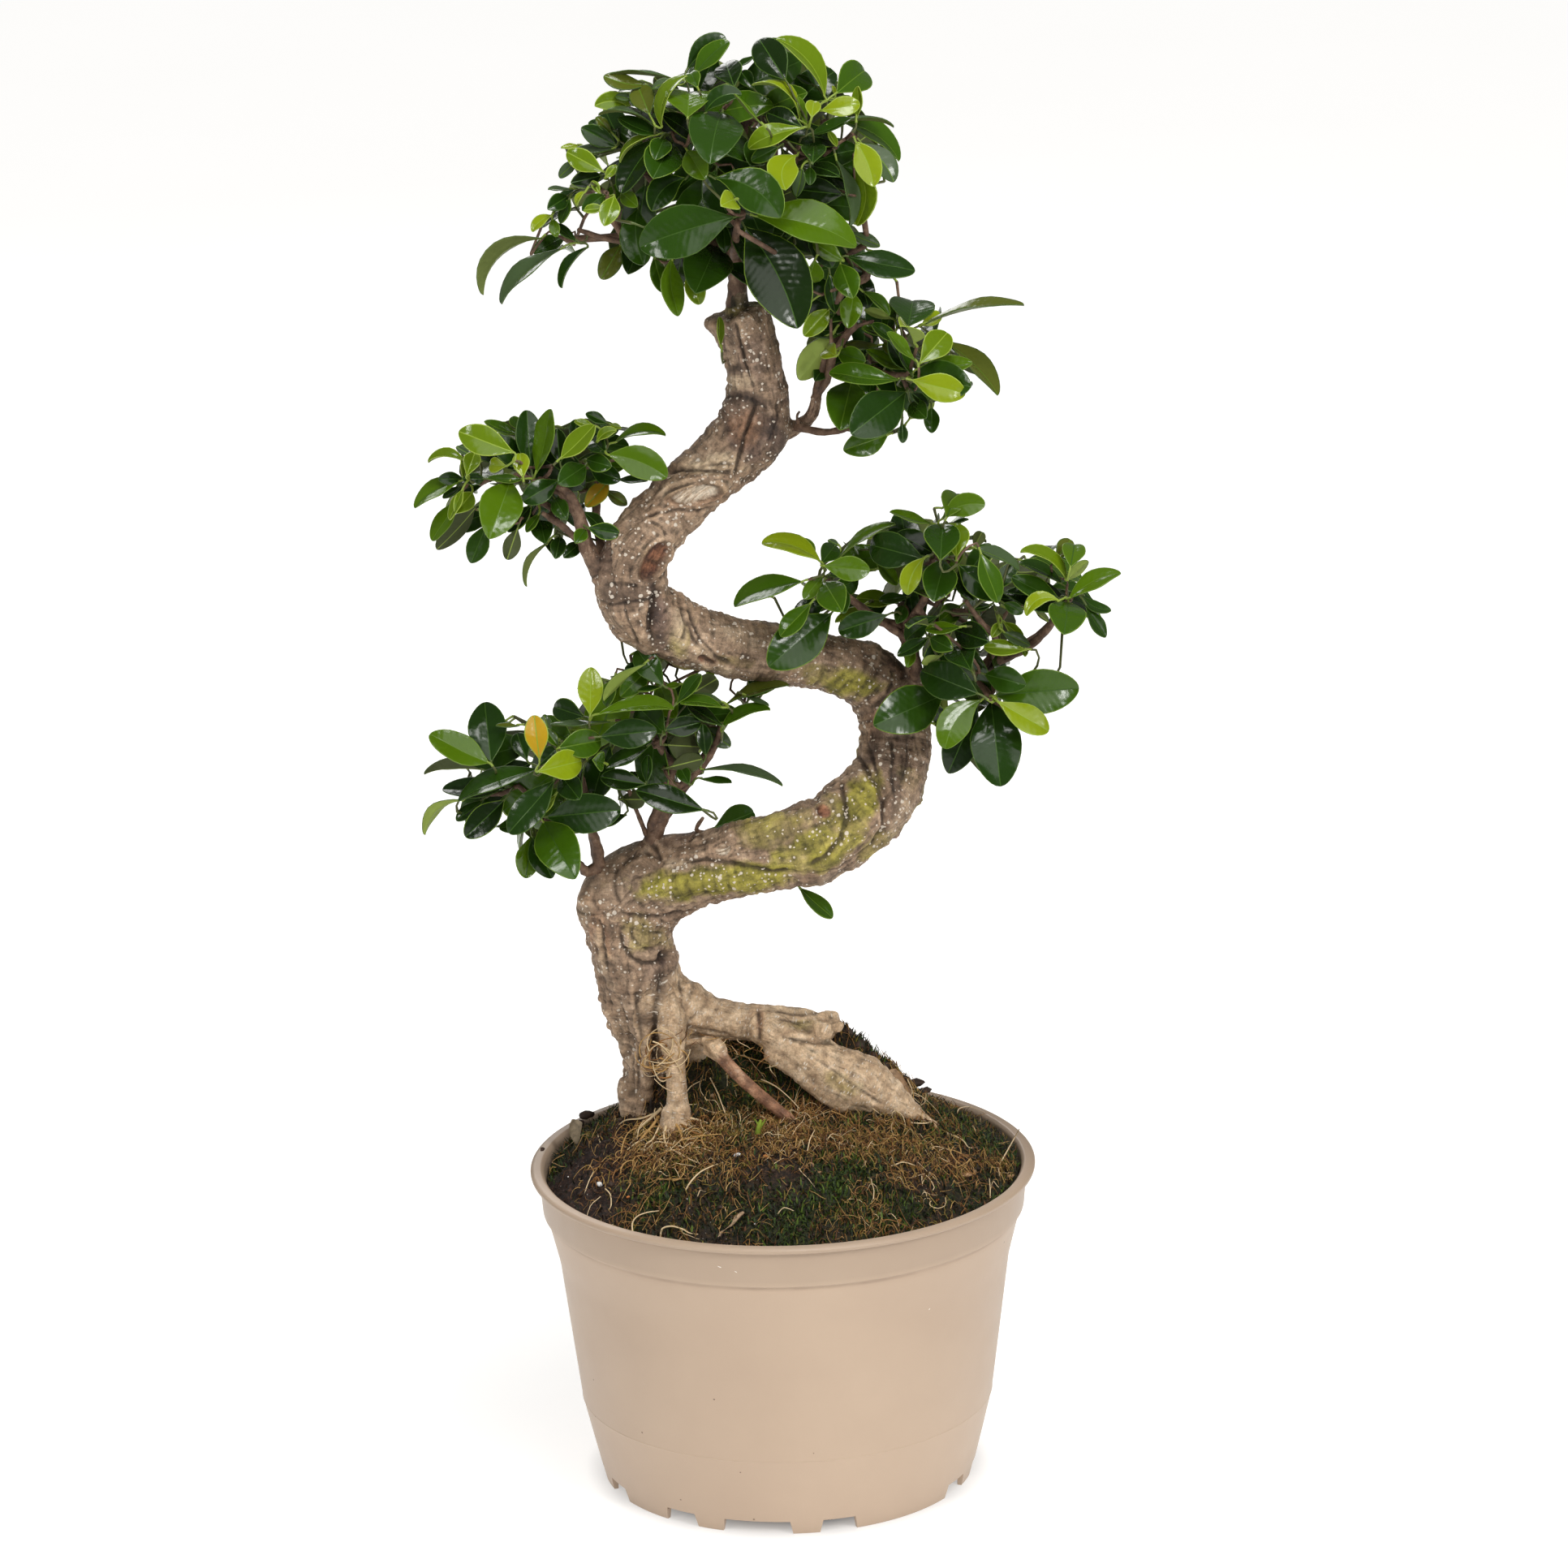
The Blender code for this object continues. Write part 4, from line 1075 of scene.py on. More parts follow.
def traced_leaf(region, row):
    bx, by, tx, ty, w, c, tone, y = row
    rng = random.Random(int(bx * 7 + by * 13 + tx * 17 + ty * 19))
    below = tone in "PB"          # the lower side faces the viewer
    mid = at((bx + tx) / 2, (by + ty) / 2, y)
    depth = (mid - EYE).dot(FWD)
    mpp = depth / FOCAL
    seen = math.hypot(tx - bx, ty - by) * mpp
    wide = w * mpp
    d = RIGHT * ((tx - bx) * mpp / seen) + UP * ((by - ty) * mpp / seen)
    if wide > seen * SHAPE:
        length = min(wide / SHAPE, LONGEST)
        length = max(length, seen)
        lean = math.acos(min(1.0, seen / length))
        lean = min(lean, math.radians(64))
        length = seen / math.cos(lean)
        roll, width = 0.0, wide
    else:
        length, lean = seen, 0.0
        width = seen * SHAPE * (0.88 if seen > 0.03 else 0.95)
        width = max(width, wide)
        roll = math.acos(max(0.12, min(1.0, wide / width)))
    back = -FWD
    best = None
    for sl in ((1, -1) if lean > 0.02 else (1,)):
        axis = d * math.cos(lean) + back * (sl * math.sin(lean))
        face = back * math.cos(lean) - d * (sl * math.sin(lean))
        side = axis.cross(face)
        for sr in ((1, -1) if roll > 0.02 else (1,)):
            n = face * math.cos(roll) + side * (sr * math.sin(roll))
            n_up = -n if below else n
            score = n_up.z + 0.02 * sl * (1 if y < 0 else -1)
            if best is None or score > best[0]:
                best = (score, axis, n_up, sl)
    _, axis, n_up, sl = best
    base = mid - axis * (length / 2)
    tip = mid + axis * (length / 2)
    # sideways bow, to the right of base-to-tip as it is seen
    rt = RIGHT * (-(by - ty) * mpp / seen * -1) + UP * (-(tx - bx) * mpp / seen)
    sway = rt * (c * mpp)
    fold = math.radians(rng.uniform(8, 17))
    if roll > 0.9:
        fold = math.radians(rng.uniform(14, 24))
    if tone == "D" and rng.random() < 0.35:
        tone = "E"
    if tone == "M" and rng.random() < 0.4:
        tone = "N"
    kind = {"P": "G", "B": "D"}.get(tone, tone)
    kw = rims_for(kind)
    if tone == "P":
        kw["under"] = "under_light" if rng.random() < 0.5 else "under_mid"
    bend = rng.uniform(0.03, 0.08) if roll < 0.8 else rng.uniform(0.0, 0.03)
    if abs(c) > 3:
        bend *= 0.3
    leaf = Leaf(base, tip, n_up, width / math.cos(fold) * (1.0 if roll < 0.9 else 0.97), kind, sway=sway, bend=bend, fold=fold, cup=rng.uniform(0.02, 0.12),
                wave=rng.uniform(0.004, 0.016), phase=rng.uniform(0, 6.3), wide_at=rng.uniform(0.50, 0.58), tip_pow=rng.uniform(0.50, 0.64),
                curl=rng.uniform(0.0, 0.06), twist=rng.uniform(-0.25, 0.25), region=region, **kw)
    # settle its outline, as seen, on the drawn axis and width
    span = math.hypot(tx - bx, ty - by)
    ex, ey = (tx - bx) / span, (ty - by) / span
    most = leaf.width * 1.35
    right = np.array(RIGHT) * (-ey * mpp) - np.array(UP) * (ex * mpp)
    for _ in range(5):
        x, y_ = many_px(leaf.sheet(PLAIN)[0].reshape(-1, 3))
        along = ((x - bx) * ex + (y_ - by) * ey) / span
        s = (x - bx) * -ey + (y_ - by) * ex
        mid_ = (along > 0.3) & (along < 0.8)
        if not mid_.any():
            break
        hi, lo = s[mid_].max(), s[mid_].min()
        leaf.sway = leaf.sway + right * (c - (hi + lo) / 2) * 0.9
        leaf.width = min(max(leaf.width * (w / max(hi - lo, 1.0)) ** 0.8, wide), most)
    return leaf


def traced_leaves():
    out = []
    for region, text in LEAVES.items():
        for line in text.strip().splitlines():
            p = line.split()
            row = [float(x) for x in p[:6]] + [p[6], float(p[7])]
            out.append(traced_leaf(region, row))
    return out


REGION_OF = {"foliage_crown": "crown", "foliage_right_upper": "right_upper", "foliage_left_upper": "left_upper", "foliage_right_mid": "right_mid", "foliage_left_low": "left_low"}


def region_of(node):
    return next(r for k, r in REGION_OF.items() if node.startswith(k))


# places where the sky shows between the leaves: centre px, half axes px, turn degrees (up from the right)
SKY = (
    ((625, 330), (40, 9), 45), ((1070, 714), (33, 12), -6), ((982, 696), (26, 13), -8), ((646, 677), (26, 10), 70), ((1097, 350), (27, 11), -2),
    ((1264, 766), (21, 12), 1), ((566, 663), (27, 11), 44), ((545, 569), (18, 12), 2), ((679, 323), (26, 8), 34), ((749, 624), (14, 12), -85),
    ((532, 626), (18, 11), 84), ((1355, 729), (23, 11), 48), ((772, 942), (19, 10), 12), ((1198, 637), (18, 13), -64), ((800, 544), (22, 9), 0),
    ((554, 953), (23, 8), 0), ((906, 888), (31, 8), 39), ((707, 275), (19, 10), -75), ((888, 933), (20, 9), 11), ((605, 676), (24, 8), 47),
    ((968, 737), (17, 9), 13), ((1269, 684), (28, 6), -9), ((1260, 818), (15, 10), -13), ((1046, 165), (17, 8), -15), ((724, 315), (17, 9), 9),
    ((1205, 466), (23, 6), -38), ((1335, 772), (22, 10), -5), ((1066, 123), (20, 7), 80), ((1126, 525), (13, 9), 17), ((900, 65), (13, 9), 11),
    ((547, 1004), (27, 6), 26), ((924, 85), (15, 7), -60), ((847, 371), (13, 8), -71), ((767, 598), (18, 5), 8), ((858, 967), (14, 7), 14),
    ((1212, 850), (14, 8), -71), ((627, 901), (11, 9), 14), ((1057, 666), (14, 6), 8), ((892, 955), (26, 3), -1), ((1085, 231), (17, 6), 80),
    ((1071, 272), (16, 6), 62), ((1269, 905), (13, 7), -3), ((696, 219), (18, 4), 34), ((597, 1026), (18, 4), 23), ((891, 853), (9, 7), -60),
    ((702, 860), (16, 5), 18), ((616, 880), (15, 4), -55), ((1165, 394), (13, 6), 68), ((714, 1033), (12, 6), -88), ((1170, 757), (7, 6), 0),
    ((1177, 741), (10, 5), 12), ((1044, 741), (8, 5), 20), ((1180, 744), (6, 4), 0), ((1132, 779), (7, 5), 0),
)

# and places too wide to close by themselves that are thick with leaves
THICK = (
    ((926, 135), (28, 28), 0), ((875, 242), (28, 28), 0), ((1011, 243), (30, 28), 0), ((860, 300), (40, 26), 0), ((930, 200), (30, 40), 0),
)


class Cover:
    """What the front view may show: leaves that are added only for depth stay inside it."""

    STEP = 2

    def __init__(self):
        self.mask = np.zeros((1000, 1000), bool)
        self.front = np.full((1000, 1000), 9.0)      # distance from the eye of what must stay in view

    def polygon(self, leaf):
        pts = leaf.sheet(PLAIN)[0]
        rim = np.vstack([pts[:, 0], pts[::-1, -1]])
        return np.stack(many_px(rim), -1) / self.STEP

    def cells(self, poly):
        lo = np.maximum(np.floor(poly.min(0)).astype(int) - 1, 0)
        hi = np.minimum(np.ceil(poly.max(0)).astype(int) + 1, 999)
        gx, gy = np.meshgrid(np.arange(lo[0], hi[0] + 1), np.arange(lo[1], hi[1] + 1))
        inside = np.zeros(gx.shape, bool)
        n = len(poly)
        for i in range(n):
            x0, y0 = poly[i]
            x1, y1 = poly[(i + 1) % n]
            if y0 == y1:
                continue
            crosses = (gy >= min(y0, y1)) & (gy < max(y0, y1))
            xs = x0 + (gy - y0) * (x1 - x0) / (y1 - y0)
            inside ^= crosses & (gx < xs)
        return slice(lo[1], hi[1] + 1), slice(lo[0], hi[0] + 1), inside

    def fill(self, poly, leaf):
        ys, xs, inside = self.cells(poly)
        self.mask[ys, xs] |= inside
        d = self.distance(leaf, ys, xs)
        self.front[ys, xs] = np.where(inside, np.minimum(self.front[ys, xs], d), self.front[ys, xs])

    def distance(self, leaf, ys, xs):
        """Distance of a blade from the eye over its cells, from base to tip."""
        ends = np.stack([leaf.base, leaf.tip])
        x, y = many_px(ends)
        far = (ends - np.array(EYE)) @ np.array(FWD)
        gx, gy = np.meshgrid(np.arange(xs.start, xs.stop) * self.STEP, np.arange(ys.start, ys.stop) * self.STEP)
        dx, dy = x[1] - x[0], y[1] - y[0]
        t = np.clip(((gx - x[0]) * dx + (gy - y[0]) * dy) / max(dx * dx + dy * dy, 36.0), 0, 1)
        return (far[0] + (far[1] - far[0]) * t)[: self.front[ys, xs].shape[0], : self.front[ys, xs].shape[1]]

    def behind(self, leaf, poly, share=0.03):
        """Whether a blade leaves the drawn ones in view."""
        ys, xs, inside = self.cells(poly)
        if not inside.any():
            return False
        d = self.distance(leaf, ys, xs)
        front = self.front[ys, xs]
        return ((front < 8) & (front > d - 0.0035))[inside].mean() <= share

    def holds(self, poly, share=0.97):
        p = np.clip(np.round(poly).astype(int), 0, 999)
        return self.mask[p[:, 1], p[:, 0]].mean() >= share

    def closed(self, radius):
        """The mask with its narrow gaps filled."""
        off = [(dx, dy) for dx in range(-radius, radius + 1) for dy in range(-radius, radius + 1) if dx * dx + dy * dy <= radius * radius]
        wide = np.zeros_like(self.mask)
        for dx, dy in off:
            wide |= np.roll(self.mask, (dy, dx), (0, 1))
        tight = np.ones_like(self.mask)
        for dx, dy in off:
            tight &= np.roll(wide, (dy, dx), (0, 1))
        out = Cover()
        out.mask = tight | self.mask
        gy, gx = np.mgrid[0:1000, 0:1000] * self.STEP
        for c, half, turn in THICK:
            out.mask |= oval(gx, gy, c, half, turn)[0] < 1
        for c, half, turn in SKY:
            q, _, _ = oval(gx, gy, c, half, turn)
            out.mask &= ~((q < 1) & ~self.mask)
        return out


def oval(px, py, c, half, turn):
    a = math.radians(turn)
    dx, dy = px - c[0], -(py - c[1])
    u = (dx * math.cos(a) + dy * math.sin(a)) / half[0]
    v = (-dx * math.sin(a) + dy * math.cos(a)) / half[1]
    return np.hypot(u, v), u, v


class Room:
    """Cells of space that a blade has taken."""

    CELL = 0.0022

    def __init__(self):
        self.low = np.array(CAD_BOX[0]) - 0.02
        size = ((np.array(CAD_BOX[1]) + 0.02 - self.low) / self.CELL).astype(int) + 2
        self.full = np.zeros(size, bool)

    def index(self, spots):
        return np.clip(((spots - self.low) / self.CELL).round().astype(int), 1, np.array(self.full.shape) - 2)

    def free(self, spots, share=0.0):
        i = self.index(spots)
        return self.full[i[:, 0], i[:, 1], i[:, 2]].mean() <= share

    def take(self, spots):
        i = self.index(spots)
        for dx in (-1, 0, 1):
            for dy in (-1, 0, 1):
                for dz in (-1, 0, 1):
                    if abs(dx) + abs(dy) + abs(dz) < 2:
                        self.full[i[:, 0] + dx, i[:, 1] + dy, i[:, 2] + dz] = True


def likely(base, tip, cover, room):
    """A cheap first look at a blade's place."""
    three = np.array([base + (tip - base) * t for t in (0.15, 0.55, 0.92)])
    x, y = many_px(three)
    ix, iy = np.clip((x / cover.STEP).astype(int), 0, 999), np.clip((y / cover.STEP).astype(int), 0, 999)
    return cover.mask[iy, ix].all() and room.free(three)


def off_trunk(spots, gap=0.0015):
    mid = spots.mean(0)
    if (np.linalg.norm(TRUNK_LINE[:, :3] - mid, axis=1) - TRUNK_LINE[:, 3]).min() > 0.030:
        return True
    return (np.linalg.norm(TRUNK_LINE[None, :, :3] - spots[:, None], axis=2) - TRUNK_LINE[None, :, 3]).min() > gap


def backing_leaves(traced, seen, cover, room):
    """Leaves deeper in each mass, in darker tones that are partly painted shade, set where the front view would
    otherwise look through it.
    """
    rng = random.Random(99)
    out = []
    centres = np.array([(l.base + l.tip) / 2 for l in traced])
    cpx, cpy = many_px(centres)
    hubs = {}
    for region in LEAVES:
        hubs[region] = np.mean([centres[i] for i, l in enumerate(traced) if l.region == region], axis=0)
    for rounds, size in ((1500, (0.026, 0.036)), (2500, (0.020, 0.030)), (2500, (0.014, 0.024))):
        open_y, open_x = np.nonzero(cover.mask & ~seen.mask)
        if not len(open_x):
            break
        pick = [rng.randrange(len(open_x)) for _ in range(rounds)]
        for k in pick:
            mx, my = open_x[k], open_y[k]
            if seen.mask[my, mx]:
                continue
            px, py = mx * cover.STEP, my * cover.STEP
            d = np.hypot(cpx - px, cpy - py)
            near = np.argsort(d)[:5]
            if d[near[0]] > 60:
                continue
            region = traced[near[0]].region
            y = float(centres[near, 1].mean()) / MM + rng.uniform(3, 20)
            c = np.array(at(px, py, y))
            out_ = c - hubs[region]
            out_ = out_ / (np.linalg.norm(out_) + 1e-9)
            axis = out_ * np.array([1, 0.35, 1]) + np.array([rng.gauss(0, 0.45), rng.gauss(-0.15, 0.35), rng.gauss(-0.1, 0.4)])
            axis /= np.linalg.norm(axis)
            length = rng.uniform(*size)
            nrm = np.array([rng.gauss(0, 0.35), -0.75 + rng.gauss(0, 0.3), 0.75 + rng.gauss(0, 0.3)])
            shift = rng.uniform(0.35, 0.6)
            if not likely(c - axis * length * shift, c + axis * length * (1 - shift), cover, room):
                continue
            # mostly dark tones: partly painted shade deep in the mass
            tone = rng.choices("KDEMN", (3, 7, 6, 3, 1))[0]
            leaf = Leaf(c - axis * length * shift, c + axis * length * (1 - shift), nrm, length * rng.uniform(0.50, 0.60), tone, bend=rng.uniform(0.03, 0.09), fold=math.radians(rng.uniform(6, 20)),
                        cup=rng.uniform(0.0, 0.12), wave=rng.uniform(0.004, 0.016), phase=rng.uniform(0, 6.3), wide_at=rng.uniform(0.5, 0.58),
                        tip_pow=rng.uniform(0.5, 0.66), curl=rng.uniform(0, 0.06), twist=rng.uniform(-0.3, 0.3), region=region, weave=PLAIN, **rims_for(tone))
            poly = cover.polygon(leaf)
            if not cover.holds(poly, 0.94):
                continue
            ys, xs, inside = cover.cells(poly)
            area = inside.sum()
            gain = (inside & ~seen.mask[ys, xs]).sum()
            if area < 20 or gain < area * 0.16 or not seen.behind(leaf, poly):
                continue
            spots = leaf.spots()
            if not room.free(spots, 0.06) or not off_trunk(spots):
                continue
            room.take(spots)
            seen.mask[ys, xs] |= inside
            out.append(leaf)
    return out


def fill_leaves(traced, cover, room, seen):
    """Whorls of leaves on shoots spread through each mass, wherever they don't close a gap of the front view."""
    rng = random.Random(2024)
    out, shoots = [], []
    for node, (cx, cy, cz, ax, ay, az, tilt, _) in MASSES.items():
        region = region_of(node)
        c = np.array([cx, cy, cz]) * MM
        half = np.array([ax, ay, az]) * MM
        volume = ax * ay * az
        wanted = int(6 + (volume / 2600.0) ** 0.75 * 2.6)
        turn = math.radians(tilt)
        made = 0
        for attempt in range(wanted * 12):
            if made >= wanted:
                break
            # shoots start inside the mass and reach outwards, more of them towards the back
            while True:
                q = np.array([rng.uniform(-1, 1) for _ in range(3)])
                r = np.linalg.norm(q)
                if 0.15 < r < 0.86 and q[1] > -0.55:
                    break
            p = q * half
            p = np.array([p[0] * math.cos(turn) + p[2] * math.sin(turn), p[1], -p[0] * math.sin(turn) + p[2] * math.cos(turn)]) + c
            outward = q / r * half / half.max()
            outward = outward / np.linalg.norm(outward) + np.array([0, 0, 0.55])
            outward += np.array([rng.gauss(0, 0.25) for _ in range(3)])
            outward /= np.linalg.norm(outward)
            side = np.cross(outward, [0.3, 0.2, 0.9])
            side /= np.linalg.norm(side)
            other = np.cross(outward, side)
            count = rng.choice((5, 6, 7, 7, 8))
            phase = rng.uniform(0, 6.28)
            kept = []
            for k in range(count):
                a = phase + k * 2.3998
                rise = k / (count - 1)
                open_ = math.radians(78 - 44 * rise + rng.uniform(-10, 10))
                ray = side * math.cos(a) + other * math.sin(a)
                axis = outward * math.cos(open_) + ray * math.sin(open_)
                axis[2] -= 0.12
                axis /= np.linalg.norm(axis)
                length = rng.uniform(0.022, 0.035) * (1.0 - 0.28 * rise)
                if rng.random() < 0.14:
                    length *= 1.2
                node_at = p + outward * (0.003 + 0.0035 * k) * 0.9
                base = node_at + axis * 0.0045
                if not likely(base, base + axis * length, cover, room):
                    continue
                nrm = outward - axis * np.dot(outward, axis)
                nrm = nrm / (np.linalg.norm(nrm) + 1e-9) + np.array([0, 0, 0.35])
                young = rise > 0.75
                tone = rng.choices("KDEMNLY", (1, 7, 7, 5, 3, 1, 0.3) if not young else (0, 2, 3, 5, 5, 5, 3))[0]
                leaf = Leaf(base, base + axis * length, nrm, length * rng.uniform(0.50, 0.60), tone, bend=rng.uniform(0.04, 0.11), fold=math.radians(rng.uniform(8, 24)),
                            cup=rng.uniform(0.0, 0.15), wave=rng.uniform(0.004, 0.018), phase=rng.uniform(0, 6.3), wide_at=rng.uniform(0.5, 0.58),
                            tip_pow=rng.uniform(0.52, 0.7), curl=rng.uniform(0, 0.08), twist=rng.uniform(-0.4, 0.4), region=region, weave=PLAIN, **rims_for(tone))
                poly = cover.polygon(leaf)
                if not cover.holds(poly, 0.95) or not seen.behind(leaf, poly):
                    continue
                spots = leaf.spots()
                if not room.free(spots, 0.02) or not off_trunk(spots):
                    continue
                kept.append((leaf, spots, node_at))
            if len(kept) >= 2 or (len(kept) == 1 and attempt > wanted * 3):
                for leaf, spots, node_at in kept:
                    room.take(spots)
                    out.append(leaf)
                shoots.append((p, outward, [n for _, _, n in kept], [l for l, _, _ in kept], region))
                made += 1
    return out, shoots


def all_leaves():
    traced = traced_leaves()
    seen = Cover()
    room = Room()
    for leaf in traced:
        seen.fill(seen.polygon(leaf), leaf)
        room.take(leaf.spots())
    cover = seen.closed(9)
    # the trunk stays in view too
    px, py = many_px(TRUNK_LINE[:, :3])
    far = (TRUNK_LINE[:, :3] - np.array(EYE)) @ np.array(FWD)
    gy, gx = np.mgrid[0:1000, 0:1000] * Cover.STEP
    trunk = np.zeros((1000, 1000), bool)
    for x, y, r, d in zip(px, py, TRUNK_LINE[:, 3] / PX, far):
        ys, xs = slice(max(int((y - r) / 2), 0), int((y + r) / 2) + 1), slice(max(int((x - r) / 2), 0), int((x + r) / 2) + 1)
        disc = np.hypot(gx[ys, xs] - x, gy[ys, xs] - y) < r * 0.97
        seen.front[ys, xs] = np.where(disc, np.minimum(seen.front[ys, xs], d), seen.front[ys, xs])
        trunk[ys, xs] |= disc
    behind = backing_leaves(traced, seen, cover, room)
    wider = cover.closed(1)
    wider.mask |= trunk
    extra, shoots = fill_leaves(traced, wider, room, seen)
    return traced, behind, extra, shoots, wider, seen


# ================================================================ limbs
def sampled(rows, sub):
    out = []
    for i in range(len(rows) - 1):
        for k in range(sub):
            out.append(catmull(rows, i, k / sub))
    out.append(list(rows[-1]))
    return np.array(out, float)


_line = sampled(TRUNK, 6)
TRUNK_LINE = np.column_stack([_line[:, :3] * MM, _line[:, 3] * MM])

# limbs seen in the photograph beyond the boughs: pixel, pixel, y (mm), radius (mm)
LIMBS = {
    "right_upper": (
        ((1003, 490, 4, 1.5), (1018, 470, 2, 1.3), (1026, 440, 0, 1.1), (1038, 420, -2, 1.0), (1052, 404, -2, 0.9), (1075, 396, 0, 0.8)),
        ((1026, 440, 0, 1.0), (1024, 415, -2, 0.8), (1024, 388, -4, 0.5)),
        ((985, 524, 2, 1.0), (982, 513, 0, 0.6), (986, 506, -1, 0.4)),
        ((1078, 455, -4, 1.3), (1100, 462, -10, 1.1), (1118, 462, -16, 0.9)),
    ),
    "left_upper": (
        ((742, 700, -12, 3.0), (725, 672, -15, 2.7), (716, 640, -16, 2.4), (703, 612, -16, 2.0), (685, 597, -14, 1.6), (665, 590, -14, 1.2)),
        ((724, 676, -15, 1.6), (706, 660, -16, 1.4), (690, 646, -16, 1.2), (668, 632, -16, 1.0)),
        ((742, 690, -6, 1.8), (737, 660, 0, 1.6), (733, 640, 5, 1.4), (733, 618, 8, 1.2), (735, 596, 4, 1.0)),
    ),
    "right_mid": (
        ((1120, 800, 12, 3.2), (1118, 780, 8, 2.8), (1118, 762, 4, 2.4), (1110, 744, 2, 1.9)),
        ((1118, 786, 8, 2.0), (1092, 770, 2, 1.6), (1062, 748, -4, 1.4), (1040, 735, -8, 1.1), (1015, 710, -14, 1.0)),
        ((1118, 772, 4, 2.0), (1128, 755, 0, 1.8), (1140, 737, -6, 1.6), (1150, 715, -12, 1.2), (1160, 696, -16, 1.0)),
        ((1130, 835, 10, 2.6), (1127, 812, 8, 2.4), (1120, 790, 8, 2.2)),
        ((1204, 826, 0, 2.2), (1235, 812, 6, 2.2), (1262, 799, 8, 2.2), (1282, 784, 4, 1.9), (1300, 763, -4, 1.5), (1314, 742, -14, 1.1)),
        ((1208, 826, 0, 1.9), (1222, 806, 0, 1.7), (1226, 785, -4, 1.4), (1212, 770, -8, 1.3), (1200, 755, -10, 1.1), (1190, 740, -12, 0.9)),
        ((1225, 785, -4, 1.2), (1232, 768, -4, 1.0), (1241, 754, -6, 0.8)),
        ((1204, 828, 0, 1.6), (1210, 845, -8, 1.4), (1222, 862, -18, 1.1)),
    ),
    "left_low": (
        ((738, 1068, 2, 3.0), (736, 1045, 0, 2.4), (729, 1022, -4, 1.8), (722, 1000, -10, 1.5), (700, 975, -14, 1.2)),
        ((803, 1032, 4, 2.9), (806, 1010, 2, 2.6), (816, 988, 0, 2.2), (824, 962, -2, 2.2), (827, 945, -2, 2.4), (818, 928, -4, 1.7), (808, 912, -8, 1.4), (800, 890, -10, 1.1)),
        ((797, 1030, 4, 1.3), (788, 1008, 0, 1.1), (780, 988, -4, 1.0), (772, 965, -8, 0.8)),
        ((838, 968, 0, 1.6), (860, 950, 2, 1.7), (874, 932, 2, 1.6), (884, 912, 2, 1.4), (888, 895, 0, 1.1)),
        ((722, 1075, 0, 2.4), (716, 1066, -2, 1.5), (712, 1060, -4, 0.9)),
        ((903, 1022, 6, 1.0), (872, 1026, 4, 1.0), (858, 1022, 0, 1.0), (866, 1008, -8, 0.8)),
    ),
    "crown": (
        ((906, 372, 5, 4.0), (908, 345, 4, 3.6), (905, 315, 3, 3.2), (903, 290, 2, 2.9)),
        ((884, 300, -6, 2.0), (850, 296, -10, 1.8), (800, 300, -12, 1.6), (768, 298, -12, 1.4), (740, 292, -12, 1.2), (712, 283, -10, 1.0)),
        ((768, 292, -12, 1.3), (752, 265, -22, 1.2), (748, 238, -26, 1.0)),
        ((905, 318, 3, 2.3), (905, 303, -14, 2.0), (907, 288, -30, 1.6), (909, 272, -41, 1.1)),
    ),
}


